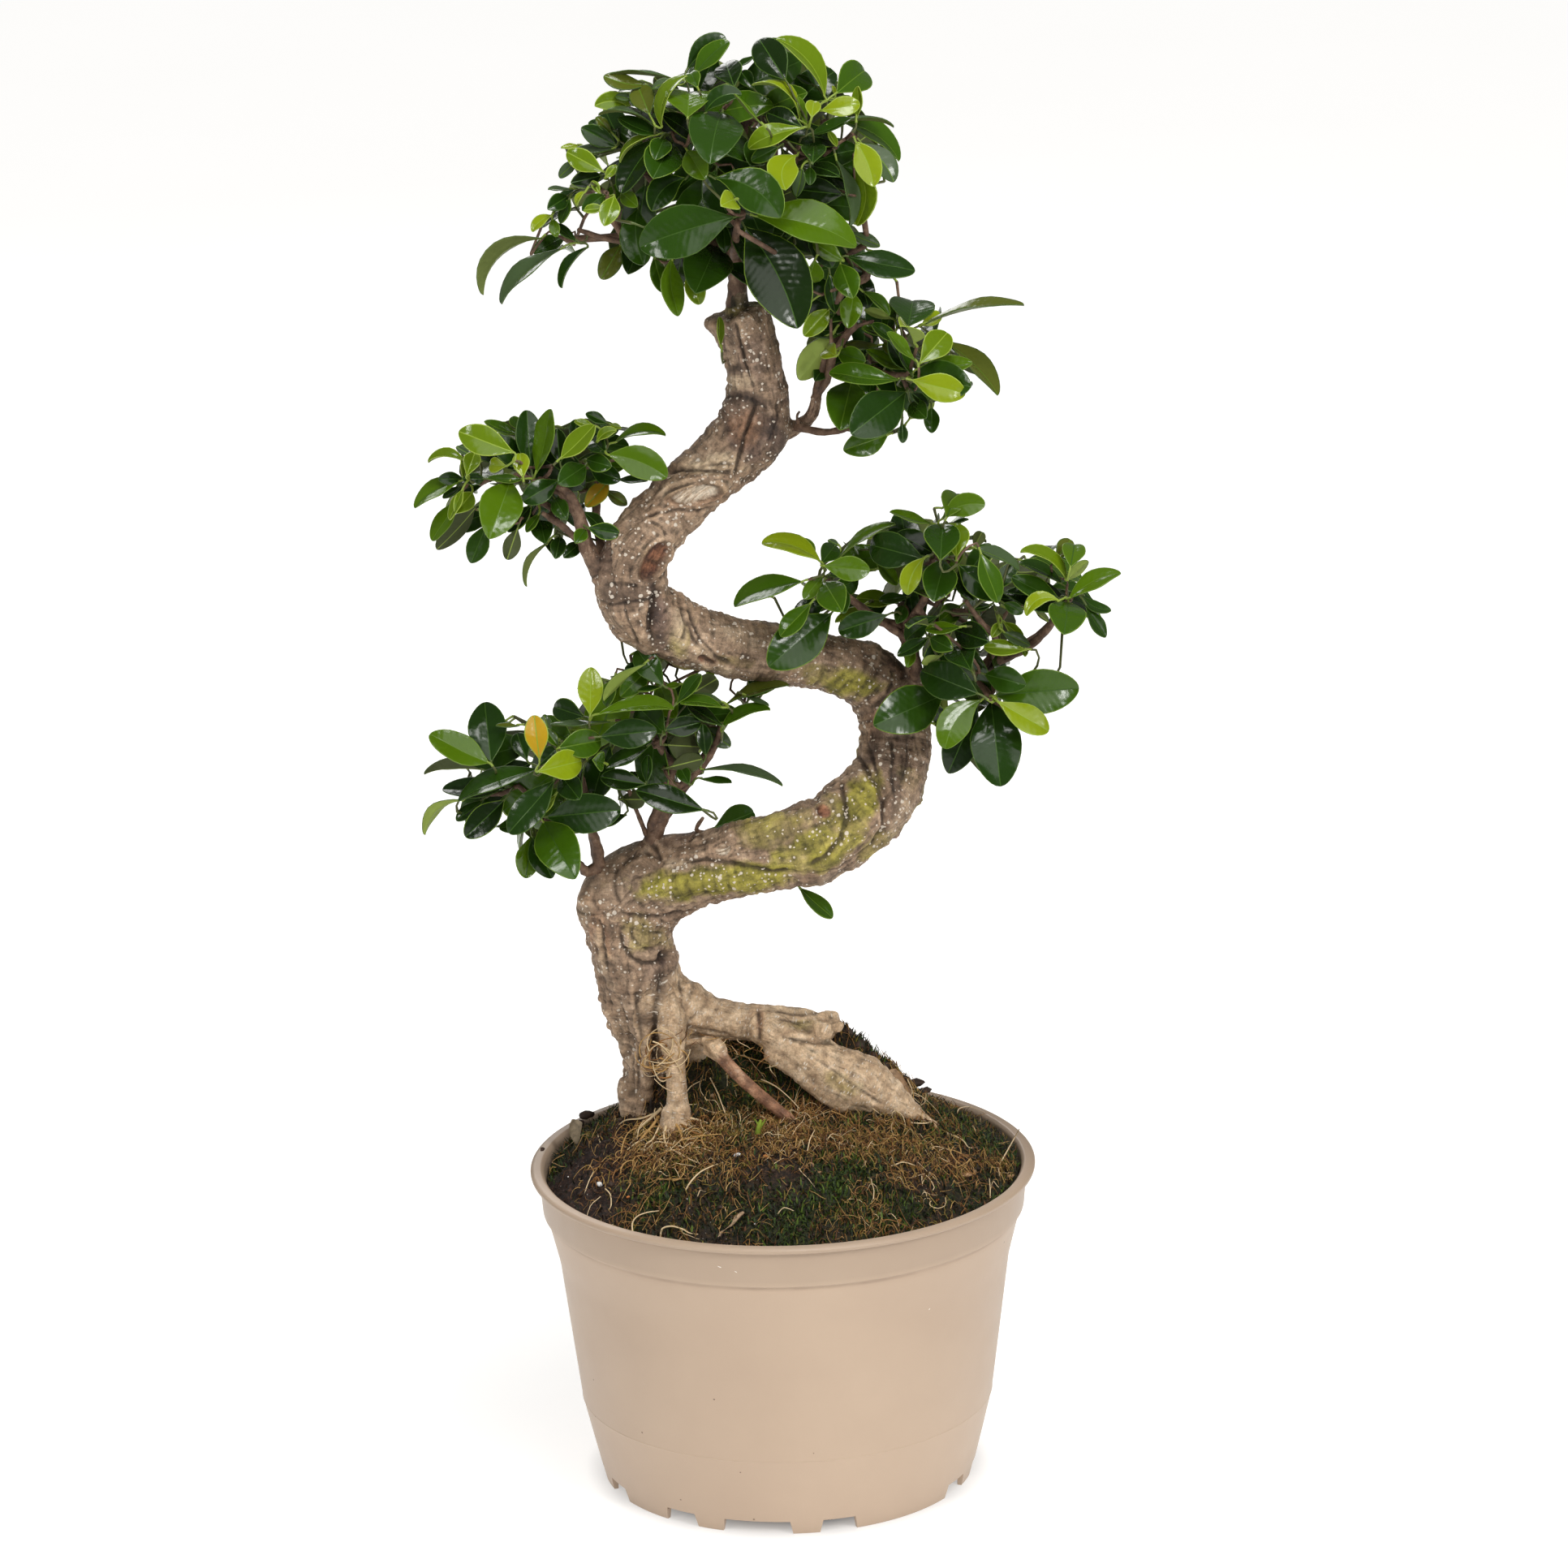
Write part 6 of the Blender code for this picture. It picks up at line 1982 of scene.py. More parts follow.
# stains: centre px, half axes px, turn degrees, strength, kind
STAINS = (
    ((836, 775), (12, 26), 8, 0.8, "pale"), ((862, 800), (22, 9), -28, 0.55, "pale"), ((908, 470), (22, 12), 0, 0.6, "pale"), ((838, 600), (34, 10), 14, 0.45, "pale"),
    ((880, 596), (26, 8), 0, 0.4, "pale"), ((905, 578), (26, 7), 5, 0.45, "pale"), ((842, 1066), (26, 9), -8, 0.5, "pale"), ((1010, 1090), (60, 10), 22, 0.6, "pale"),
    ((948, 1105), (40, 8), 8, 0.55, "pale"), ((1112, 1010), (14, 40), -25, 0.35, "pale"), ((985, 1245), (40, 8), 0, 0.55, "pale"),
    ((742, 1165), (7, 40), 10, 0.55, "pale"), ((722, 1122), (10, 22), 0, 0.4, "pale"),
    # the darkest marks are partly dark bark and partly painted shade, such as the strip between the stock and the front
    # root
    ((768, 732), (44, 20), -6, 0.62, "char_and_shade"), ((806, 745), (10, 46), 6, 0.95, "char_and_shade"), ((905, 455), (10, 10), 0, 0.7, "char_and_shade"), ((922, 490), (34, 9), -8, 0.8, "char_and_shade"),
    ((955, 545), (18, 34), 0, 0.75, "char_and_shade"), ((857, 609), (42, 17), 13, 0.5, "rust"), ((900, 405), (8, 34), 0, 0.5, "char_and_shade"), ((888, 426), (10, 16), 0, 0.45, "char_and_shade"), ((816, 1180), (7, 12), 0, 1.0, "char_and_shade"),
    ((810, 1215), (10, 26), 0, 0.6, "char_and_shade"), ((798, 1255), (16, 12), 0, 0.6, "char_and_shade"), ((806, 1300), (7, 50), 0, 0.7, "char_and_shade"), ((1075, 920), (10, 34), -20, 0.7, "char_and_shade"),
    ((1100, 985), (12, 40), -20, 0.55, "char_and_shade"), ((1120, 905), (18, 20), 0, 0.5, "char_and_shade"), ((1010, 1082), (50, 5), 18, 0.5, "char_and_shade"), ((800, 1110), (40, 6), 0, 0.35, "char_and_shade"),
    ((920, 525), (24, 26), 0, 0.6, "rust"), ((880, 572), (22, 12), 20, 0.15, "rust"), ((874, 572), (40, 17), 12, 1.0, "pale"), ((915, 786), (44, 15), -18, 0.35, "pale"), ((880, 823), (30, 9), -14, 0.55, "pale"), ((760, 800), (14, 20), -20, 0.4, "rust"), ((1078, 895), (14, 24), 0, 0.5, "rust"),
    ((868, 1086), (90, 24), 8, 1.0, "algae"), ((815, 1095), (38, 24), 0, 0.5, "algae"), ((935, 1080), (55, 22), 12, 0.9, "algae"),
    ((950, 1022), (60, 22), 10, 0.6, "algae"), ((1000, 1060), (70, 16), 14, 0.75, "algae"),
    ((1012, 1040), (78, 26), 12, 0.85, "algae"), ((1066, 985), (24, 44), -20, 1.0, "algae"), ((1045, 1010), (40, 34), 0, 0.7, "algae"),
    ((960, 1030), (50, 20), 10, 0.45, "algae"), ((1050, 842), (42, 22), -10, 0.9, "algae"), ((1005, 830), (30, 14), -15, 0.55, "algae"),
    ((905, 815), (30, 10), -12, 0.30, "algae"), ((840, 790), (18, 26), 0, 0.35, "algae"), ((795, 1150), (30, 26), 0, 0.42, "algae"),
    ((905, 380), (22, 12), 10, 0.45, "algae"), ((1078, 1045), (30, 18), 30, 0.5, "algae"), ((1120, 960), (20, 20), 0, 0.2, "algae"),
    ((1040, 1335), (34, 16), -25, 0.40, "algae"), ((990, 1262), (26, 9), 0, 0.42, "algae"), ((858, 985), (10, 10), 0, 0.2, "algae"),
    ((928, 530), (46, 44), 0, 0.95, "purple"), ((905, 505), (30, 26), 0, 0.7, "purple"), ((960, 470), (16, 40), 0, 0.4, "purple"), ((928, 442), (28, 36), 0, 0.62, "purple"),
    ((812, 762), (14, 46), 4, 0.9, "purple"), ((1100, 930), (36, 44), 0, 0.55, "purple"), ((745, 690), (14, 20), 0, 0.4, "purple"),
    ((740, 1150), (14, 40), 12, 0.75, "rust"), ((722, 1108), (12, 14), 0, 0.55, "rust"), ((936, 1262), (5, 24), 0, 0.9, "rust"),
    ((812, 1192), (24, 26), 0, 0.5, "purple"), ((790, 1260), (18, 46), 0, 0.35, "purple"), ((830, 1128), (38, 9), -6, 0.35, "purple"),
)


# lumps and webs of root tissue: stations px, py, y mm, half width mm
WEBS = (
    ((824, 1258, 14, 9.5), (842, 1272, 13, 9.0), (856, 1286, 15, 7.5), (866, 1300, 19, 6.5)),      # between the stock and the arch
    ((846, 1284, 2, 1.8), (858, 1282, 0, 1.7), (870, 1281, -2, 2.0), (880, 1286, -3, 3.4), (884, 1293, -4, 4.2), (892, 1301, -6, 3.0)),
    ((872, 1290, -2, 3.6), (880, 1296, -4, 3.6), (888, 1304, -7, 2.8)),
    ((955, 1263, 11, 8.0), (985, 1264, 11, 8.0), (1010, 1268, 10, 6.8), (1026, 1272, 9, 4.6)),                             # the gnarled stub
    ((1008, 1268, 4, 3.0), (1016, 1271, 2, 3.6), (1022, 1275, 3, 2.6)),
    ((1018, 1256, 14, 3.0), (1027, 1254, 14, 3.2), (1033, 1258, 13, 2.2)),
    ((1024, 1264, 9, 3.4), (1032, 1266, 8, 3.0), (1036, 1270, 8, 1.8)),
    ((950, 1290, 1, 6.0), (975, 1306, -1, 6.2), (1000, 1326, -4, 6.4), (1024, 1348, -7, 6.0), (1046, 1362, -9, 5.0)),        # fuller belly of the thick root
    ((776, 1330, 17, 5.0), (776, 1350, 16, 5.5), (778, 1372, 16, 5.5)),                                                    # foot of the stock
    ((794, 1240, 6, 6.0), (792, 1280, 10, 6.5), (790, 1320, 14, 6.5), (790, 1350, 15, 6.5), (790, 1374, 15, 6.5)),
)


FRONT_ROOT = ((-50.0, 12.0, 217.0, 5.6), (-47.5, 3.5, 207.0, 6.4), (-46.5, -2.5, 196.0, 5.4), (-45.5, -5.0, 184.0, 4.4), (-45.0, -6.5, 173.0, 4.6),
              (-45.5, -7.5, 165.5, 6.6), (-45.5, -9.0, 158.5, 9.0), (-45.5, -10.0, 152.0, 9.5))
ARCH_FULLER = (1.0, 1.04, 1.12, 1.13, 1.08, 1.0, 1.0)


def bark_pieces(voxel):
    soup, _ = trunk_tube()
    for name, rows in ROOTS.items():
        if name == "root_front":
            rows = FRONT_ROOT
        if name == "root_arch":
            rows = [(*r[:3], r[3] * k) for r, k in zip(rows, ARCH_FULLER)]
        s = sampled(rows, 6)
        pts, r = s[:, :3] * MM, s[:, 3] * MM
        if name in ("root_thick", "root_thin"):     # these go on into the soil
            d = pts[-1] - pts[-2]
            d /= np.linalg.norm(d)
            pts = np.vstack([pts, pts[-1] + d * 0.006])
            r = np.append(r, r[-1] * 0.9)
        closed_tube(soup, pts, r, 24)
    for rows in WEBS:
        s = sampled([(*at(px, py, y), r * MM) for px, py, y, r in rows], 4)
        closed_tube(soup, s[:, :3], s[:, 3], 18)
    for name, rows in BOUGHS.items():
        s = sampled(rows, 5)
        keep = s[:, 3] > 2.15
        keep[:4] = True
        closed_tube(soup, s[keep, :3] * MM, s[keep, 3] * MM, 14)
    me = union_mesh(soup, voxel)
    co, edges = mesh_arrays(me)
    n = len(co)
    co = spread(co, edges, n, 7)
    samples = limb_samples()
    idx = locate(co, samples)
    pts, side, deep, tang, rad, run, kind = [s[idx] for s in samples]
    rel = co - pts
    theta = np.arctan2((rel * deep).sum(1), (rel * side).sum(1))
    height_along = (rel * tang).sum(1) + run
    nrm = normals_of(me, co)
    # coordinates that follow the limb: round it, and along it
    ring = np.stack([np.cos(theta) * rad, np.sin(theta) * rad, height_along + kind * 3.1], -1)
    trunk = kind == 0
    root = kind == 1
    twiggy = kind == 2
    size = np.clip(rad / 0.013, 0.15, 1.2)
    lumps = fbm(co * 42.0, 2, 3)
    mid = fbm(co * 130.0, 3, 11)
    fine = fbm(co * 420.0, 2, 23)
    long_ = fbm(ring * np.array([330.0, 330.0, 75.0]), 3, 31)
    cross = fbm(ring * np.array([60.0, 60.0, 430.0]), 3, 47)
    warp = fbm(co * 55.0, 2, 61)
    folds = np.sin(height_along * 2 * math.pi / 0.0085 + warp * 5.5)
    where = smoothstep(0.05, 0.55, fbm(co * 34.0, 2, 71) + 0.15)
    disp = np.zeros(n)
    disp += lumps * 0.0019 * size * np.where(root, 0.5, 1.0)
    disp += mid * 0.0009 * size * np.where(root, 0.45, 1.0)
    disp += -(0.5 - np.abs(long_)).clip(0, 1) ** 3 * 0.0030 * size * np.where(root, 0.3, 1.0)
    disp += cross * 0.00075 * size * np.where(root, 0.6, 1.0)
    disp += folds * 0.00030 * where * size
    disp += fine * 0.00040 * np.clip(size + 0.2, 0, 1)
    # the root stock at the base is rougher than the graft above
    low = smoothstep(0.245, 0.205, co[:, 2])
    rough = fbm(co * 230.0, 3, 83)
    disp += low * rough * 0.0005 * size
    flute = fbm(ring * np.array([150.0, 150.0, 26.0]), 2, 91)
    disp += low * trunk * flute * 0.0030
    fibre = fbm(ring * np.array([700.0, 700.0, 90.0]), 2, 97)
    disp += fibre * 0.00030 * np.clip(size, 0, 1)
    px, py = many_px(co)
    view = (np.array(EYE) - co)
    view /= np.linalg.norm(view, axis=1)[:, None]
    face = smoothstep(-0.05, 0.30, (nrm * view).sum(1))
    # crease: dark colour laid into the carved grooves, scar rims, fissures and folds, partly the bark's own darker
    # fissures and partly painted shade
    crease = np.zeros(n)
    blot_ = fbm(co * 260.0, 2, 171)
    for depth, half, line in CREASES:
        d, t = line_field(px + warp * 2.0, py + mid * 2.0, line)
        ends = smoothstep(0, 0.12, t) * smoothstep(1, 0.88, t)
        prof = np.exp(-(d / half) ** 2) * face * (0.25 + 0.75 * ends)
        disp += prof * depth * MM * np.clip(size, 0.5, 1)
        if depth < 0:
            broken = np.clip(0.75 + blot_ * 1.3, 0.1, 1)
            crease = np.maximum(crease, prof ** 2 * min(1.0, -depth / 1.3) * broken)
        # lips on both sides of a groove
        if depth < -0.9:
            disp += np.exp(-((d - half * 2.2) / (half * 1.1)) ** 2) * face * ends * 0.00035
    for c, r, h in KNOBS:
        d = np.hypot(px - c[0], py - c[1]) / r
        disp += np.exp(-d ** 2 * 1.6) * face * h * MM
        if h > 1.4:
            disp += np.cos(np.clip(d, 0, 3) * 5.0) * np.exp(-(d - 0.9) ** 2 * 3) * face * 0.00035
    masks = {k: np.zeros(n) for k in ("algae", "purple", "rust", "wood", "red", "tan", "crease", "bough", "pale", "char_and_shade")}
    for c, half, turn, floor, lip, kind_ in SCARS:
        q, u, v = oval(px, py, c, half, turn)
        q = q + fbm(co * 300, 2, 7) * 0.10
        inside = smoothstep(1.0, 0.78, q) * face
        ringed = np.exp(-((q - 1.18) / 0.20) ** 2) * face
        disp += inside * floor * MM + ringed * lip * MM
        disp += np.exp(-((q - 1.85) / 0.20) ** 2) * face * lip * 0.5 * MM
        grain = np.sin(v * half[1] * 1.3 + warp * 3) * inside * 0.00018
        disp += grain
        masks["wood" if kind_ == "wood" else "red"] = np.maximum(masks["wood" if kind_ == "wood" else "red"], inside)
        crease = np.maximum(crease, np.exp(-((q - 0.98) / 0.09) ** 2) * face * 0.9)
    blot = fbm(co * 150.0, 3, 101)
    for c, half, turn, strength, kind_ in STAINS:
        q, u, v = oval(px, py, c, half, turn)
        m = smoothstep(1.15, 0.45, q + blot * 0.42) * face * strength
        masks[kind_] = np.maximum(masks[kind_], m)
    # round the back the same growths go on without a drawing
    hidden = 1 - face
    up = nrm[:, 2]
    patch = smoothstep(0.05, 0.45, fbm(co * 30.0, 3, 131) + 0.25 * np.sin(height_along * 38.0))
    sweep = smoothstep(0.250, 0.268, co[:, 2]) * smoothstep(0.40, 0.36, co[:, 2])
    masks["algae"] = np.maximum(masks["algae"], hidden * patch * sweep * 0.85 * trunk)
    masks["purple"] = np.maximum(masks["purple"], hidden * smoothstep(0.2, 0.6, fbm(co * 26.0, 2, 151)) * 0.7 * trunk)
    crease = np.maximum(crease, smoothstep(0.30, 0.62, -long_ + cross * 0.3) * np.where(root, 0.1, 0.35))
    crease = np.maximum(crease, smoothstep(0.55, 0.95, -folds * where) * 0.22)
    masks["crease"] = crease
    masks["tan"] = np.clip(smoothstep(0.228, 0.196, co[:, 2] + 0.010 * blot) * np.where(root, 1.0, 0.55), 0, 1)
    masks["bough"] = np.where(twiggy, smoothstep(0.004, 0.016, run), 0.0)
    disp = np.clip(disp, -0.0045, 0.0042)
    co = co + nrm * disp[:, None]
    # the top is sawn off at a slant
    top = at(898, 378, 4)
    cut_n = (UP * 0.97 + RIGHT * (-0.05) - FWD * 0.22).normalized()
    cut_n = np.array(cut_n)
    over = (co - np.array(top)) @ cut_n
    near_top = trunk & (co[:, 2] > 0.500) & (np.linalg.norm(co - np.array(top), axis=1) < 0.034)
    sawn = near_top & (over > -0.0002)
    push = np.where(sawn, over + 0.0002 - 0.0006 * fbm(co * 500, 2, 5), 0)
    co = co - cut_n[None] * push[:, None]
    masks["cut"] = spread(sawn.astype(float), edges, n, 1)
    co = spread(co, edges, n, 1, 0.25)
    masks["root"] = spread(root.astype(float), edges, n, 8)
    line = np.array([at(x, y, d) for x, y, d in ((878, 1300, -6), (900, 1318, -9), (925, 1342, -12), (955, 1368, -16), (990, 1392, -19))])
    dist = np.full(n, 1.0)
    for p, q in zip(line, line[1:]):
        t = np.clip(((co - p) @ (q - p)) / ((q - p) @ (q - p)), 0, 1)
        dist = np.minimum(dist, np.linalg.norm(co - p - t[:, None] * (q - p), axis=1))
    thin = smoothstep(0.0065, 0.0045, dist) * smoothstep(0.0, 0.006, ((co - line[0]) @ (line[1] - line[0])) / np.linalg.norm(line[1] - line[0]))
    masks["red"] = np.maximum(masks["red"], thin * 0.85)
    masks["root"] = masks["root"] * (1 - thin * 0.4)
    nrm = normals_of(me, co)
    for k, m in masks.items():
        a = me.attributes.new(k, "FLOAT", "POINT")
        a.data.foreach_set("value", np.clip(m, 0, 1).astype(np.float32))
    # surface hollows, for the shade that gathers in them
    soft = spread(co, edges, n, 10)
    hollow = ((soft - co) * nrm).sum(1)
    a = me.attributes.new("hollow", "FLOAT", "POINT")
    a.data.foreach_set("value", np.clip(hollow / 0.0007 * 0.5 + 0.5, 0, 1).astype(np.float32))
    a = me.attributes.new("grain", "FLOAT_VECTOR", "POINT")
    a.data.foreach_set("vector", ring.astype(np.float32).ravel())
    return me, co, nrm


def split_mesh(me, nrm, groups, material, names):
    """Cuts one skin into pieces without a seam in the shading. groups is a number for each vertex."""
    loops = np.empty(len(me.loops), np.int64)
    me.loops.foreach_get("vertex_index", loops)
    starts = np.empty(len(me.polygons), np.int64)
    totals = np.empty(len(me.polygons), np.int64)
    me.polygons.foreach_get("loop_start", starts)
    me.polygons.foreach_get("loop_total", totals)
    co, _ = mesh_arrays(me)
    first = loops[starts]
    out = []
    attrs = {a.name: np.empty(len(co), np.float32) for a in me.attributes if a.domain == "POINT" and a.data_type == "FLOAT"}
    for k, buf in attrs.items():
        me.attributes[k].data.foreach_get("value", buf)
    grain = np.empty(len(co) * 3, np.float32)
    me.attributes["grain"].data.foreach_get("vector", grain)
    grain = grain.reshape(-1, 3)
    for g, name in enumerate(names):
        polys = np.nonzero(groups[first] == g)[0]
        if not len(polys):
            continue
        faces = [loops[s:s + t].tolist() for s, t in zip(starts[polys].tolist(), totals[polys].tolist())]
        used = np.unique(np.concatenate([np.array(f) for f in faces]))
        remap = np.full(len(co), -1)
        remap[used] = np.arange(len(used))
        new = bpy.data.meshes.new(name)
        new.from_pydata(co[used].tolist(), [], [[int(remap[v]) for v in f] for f in faces])
        new.shade_smooth()
        for k, buf in attrs.items():
            a = new.attributes.new(k, "FLOAT", "POINT")
            a.data.foreach_set("value", buf[used])
        a = new.attributes.new("grain", "FLOAT_VECTOR", "POINT")
        a.data.foreach_set("vector", grain[used].ravel())
        new.normals_split_custom_set_from_vertices(nrm[used].tolist())
        new.materials.append(material)
        ob = bpy.data.objects.new(name, new)
        bpy.context.scene.collection.objects.link(ob)
        out.append(ob)
    return out


def bark_material():
    s = Shader("bark", (0.30, 0.21, 0.14), 0.72)
    obj = s.place("Object")
    grain = s.node("ShaderNodeAttribute", attribute_name="grain").outputs["Vector"]
    big = s.noise(obj, 45.0, 4.0)
    mid = s.noise(obj, 190.0, 6.0, 0.62)
    fine = s.noise(obj, 1000.0, 4.0, 0.7)
    streak = s.noise(s.scaled(grain, (420.0, 420.0, 90.0)), 1.0, 5.0, 0.65, 0.6)
    wrinkle = s.noise(s.scaled(grain, (110.0, 110.0, 760.0)), 1.0, 4.0, 0.6, 0.8)
    base = s.ramp(big, ((0.32, (0.200, 0.130, 0.080)), (0.50, (0.310, 0.208, 0.132)), (0.70, (0.460, 0.330, 0.225))))
    mott = s.ramp(mid, ((0.34, (0.090, 0.052, 0.030)), (0.50, (0.290, 0.188, 0.117)), (0.66, (0.540, 0.395, 0.275))))
    base = s.mix(0.50, base, mott)
    tan = s.ramp(mid, ((0.34, (0.385, 0.255, 0.150)), (0.52, (0.560, 0.400, 0.250)), (0.68, (0.720, 0.550, 0.375))))
    base = s.mix(s.math("MULTIPLY", s.attr("tan"), 0.35), base, tan)
    base = s.mix(s.math("MULTIPLY", s.attr("root"), 0.85), base, tan)
    bough = s.ramp(mid, ((0.35, (0.090, 0.052, 0.032)), (0.52, (0.200, 0.125, 0.080)), (0.68, (0.340, 0.235, 0.165))))
    base = s.mix(s.attr("bough"), base, bough)
    purple = s.ramp(mid, ((0.35, (0.035, 0.020, 0.015)), (0.52, (0.105, 0.062, 0.046)), (0.70, (0.250, 0.165, 0.125))))
    base = s.mix(s.math("MULTIPLY", s.attr("purple"), 0.90), base, purple)
    rust = s.ramp(mid, ((0.35, (0.170, 0.080, 0.038)), (0.52, (0.340, 0.180, 0.095)), (0.70, (0.480, 0.300, 0.190))))
    base = s.mix(s.math("MULTIPLY", s.attr("rust"), 0.80), base, rust)
    film = s.noise(obj, 90.0, 3.0, 0.5)
    algae = s.ramp(film, ((0.32, (0.130, 0.120, 0.010)), (0.50, (0.265, 0.238, 0.022)), (0.68, (0.420, 0.370, 0.058))))
    edge = s.math("ADD", s.attr("algae"), s.math("MULTIPLY", s.math("SUBTRACT", s.noise(obj, 110.0, 4.0, 0.55), 0.5), 0.8))
    base = s.mix(s.math("MULTIPLY", s.ramp(edge, ((0.10, 0.0), (0.85, 1.0))), 0.88), base, algae)
    red = s.ramp(mid, ((0.35, (0.120, 0.042, 0.020)), (0.52, (0.250, 0.105, 0.052)), (0.70, (0.400, 0.205, 0.110))))
    base = s.mix(s.attr("red"), base, red)
    wood = s.ramp(s.noise(s.scaled(grain, (900.0, 900.0, 120.0)), 1.0, 3.0), ((0.34, (0.430, 0.300, 0.195)), (0.52, (0.720, 0.600, 0.460)), (0.70, (0.860, 0.760, 0.620))))
    base = s.mix(s.attr("wood"), base, wood)
    pale = s.ramp(mid, ((0.34, (0.350, 0.250, 0.150)), (0.52, (0.560, 0.430, 0.280)), (0.70, (0.700, 0.570, 0.400))))
    base = s.mix(s.math("MULTIPLY", s.attr("pale"), 0.8), base, pale)
    # darkest patches: partly dark bark, partly painted shade in the grooves and between the stock and the front root
    char_and_shade = s.ramp(mid, ((0.35, (0.020, 0.012, 0.009)), (0.60, (0.080, 0.048, 0.036))))
    base = s.mix(s.math("MULTIPLY", s.attr("char_and_shade"), 0.9), base, char_and_shade)
    cut = s.ramp(mid, ((0.35, (0.110, 0.110, 0.035)), (0.52, (0.270, 0.250, 0.120)), (0.70, (0.450, 0.390, 0.240))))
    base = s.mix(s.math("MULTIPLY", s.attr("cut"), 0.7), base, cut)
    # darker along the fissures of the limb and the folds across it, where the bump sinks: partly the bark's own colour,
    # partly painted shade
    fissure = s.ramp(streak, ((0.30, 0.38), (0.40, 0.84), (0.52, 1.0), (0.72, 1.22)))
    calm = s.math("SUBTRACT", 1.0, s.math("MULTIPLY", s.attr("root"), 0.70))
    base = s.mix(s.math("MULTIPLY", calm, 0.70), base, fissure, "MULTIPLY")
    fold = s.ramp(wrinkle, ((0.33, 0.55), (0.46, 1.0), (0.70, 1.15)))
    base = s.mix(s.math("MULTIPLY", calm, 0.55), base, fold, "MULTIPLY")
    # painted shade in the surface hollows and painted light on the ridges
    hollow = s.ramp(s.attr("hollow"), ((0.22, 1.35), (0.50, 1.0), (0.75, 0.34)))
    base = s.mix(0.90, base, hollow, "MULTIPLY")
    # painted shade in the creases and grooves, together with the bark's darker fissure colour
    base = s.mix(s.math("MULTIPLY", s.attr("crease"), 0.70), base, (0.055, 0.032, 0.018))
    base = s.mix(s.math("MULTIPLY", s.attr("wood"), 0.70), base, wood)
    speck = s.ramp(fine, ((0.36, 0.60), (0.50, 1.0), (0.66, 1.25)))
    base = s.mix(0.65, base, speck, "MULTIPLY")
    # lenticels: pale corky dots, gathered in drifts
    rough_obj = s.node("ShaderNodeVectorMath", operation="ADD")
    jog = s.node("ShaderNodeTexNoise")
    jog.inputs["Scale"].default_value = 700.0
    s.link(obj, jog.inputs["Vector"])
    small = s.node("ShaderNodeVectorMath", operation="SCALE")
    s.link(jog.outputs["Color"], small.inputs[0])
    small.inputs["Scale"].default_value = 0.0009
    s.link(obj, rough_obj.inputs[0])
    s.link(small.outputs[0], rough_obj.inputs[1])
    drift = s.ramp(s.noise(obj, 70.0, 3.0), ((0.40, 0.12), (0.62, 1.0)))
    total = None
    for scale, most, lo, span in ((620.0, 0.46, 0.17, 0.20), (330.0, 0.42, 0.13, 0.17), (205.0, 0.16, 0.12, 0.10)):
        v = s.voronoi(rough_obj.outputs[0], scale)
        pick = s.node("ShaderNodeSeparateXYZ")
        s.link(v.outputs["Color"], pick.inputs[0])
        chosen = s.math("LESS_THAN", pick.outputs["X"], s.math("MULTIPLY", drift, most))
        grow = s.math("ADD", s.math("MULTIPLY", pick.outputs["Y"], span), lo)
        dot = s.math("MULTIPLY", s.ramp(s.math("SUBTRACT", v.outputs["Distance"], grow), ((0.0, 1.0), (0.06, 0.0))), chosen)
        total = dot if total is None else s.math("MAXIMUM", total, dot)
    # on the roots the pale marks are short dashes across the grain
    v = s.voronoi(s.scaled(grain, (330.0, 330.0, 1050.0)), 1.0)
    pick = s.node("ShaderNodeSeparateXYZ")
    s.link(v.outputs["Color"], pick.inputs[0])
    dash = s.math("MULTIPLY", s.ramp(v.outputs["Distance"], ((0.20, 1.0), (0.32, 0.0))), s.math("LESS_THAN", pick.outputs["X"], 0.34))
    dash = s.math("MULTIPLY", dash, s.attr("root"))
    keep = s.math("SUBTRACT", 1.0, s.math("MULTIPLY", s.attr("bough"), 0.5))
    keep = s.math("MULTIPLY", keep, s.math("SUBTRACT", 1.0, s.math("MULTIPLY", s.attr("root"), 0.75)))
    total = s.math("MAXIMUM", s.math("MULTIPLY", total, keep), dash)
    total = s.math("MULTIPLY", total, s.math("SUBTRACT", 1.0, s.math("MAXIMUM", s.attr("wood"), s.attr("red"))))
    base = s.mix(s.math("MULTIPLY", total, 0.88), base, (0.76, 0.67, 0.56))
    s.colour(base)
    s.rough(mid, 0.55, 0.85)
    h = s.math("ADD", s.math("MULTIPLY", mid, 0.8), s.math("MULTIPLY", fine, 0.40))
    h = s.math("ADD", h, s.math("MULTIPLY", s.ramp(streak, ((0.30, 0.0), (0.45, 1.0))), 0.7))
    h = s.math("ADD", h, s.math("MULTIPLY", wrinkle, 0.8))
    first = s.bump(h, 0.75, 0.0011)
    s.bump(total, 0.5, 0.0006, first)
    return s.mat


# ================================================================ pot
def soft_profile(corners, step=0.0005):
    """Profile whose corners are rounded; each corner is r, z, radius of the rounding."""
    out = []
    pts = [np.array(c[:2], float) for c in corners]
    for i, (p, c) in enumerate(zip(pts, corners)):
        rad = c[2] if len(c) > 2 else 0
        if i in (0, len(pts) - 1) or rad <= 0:
            out.append(tuple(p))
            continue
        a, b = pts[i - 1] - p, pts[i + 1] - p
        la, lb = np.linalg.norm(a), np.linalg.norm(b)
        cut = min(rad, la * 0.45, lb * 0.45)
        p0, p1 = p + a / la * cut, p + b / lb * cut
        for t in (0, 0.25, 0.5, 0.75, 1.0):
            q = p0 * (1 - t) ** 2 + 2 * p * t * (1 - t) + p1 * t * t
            out.append(tuple(q))
    return out


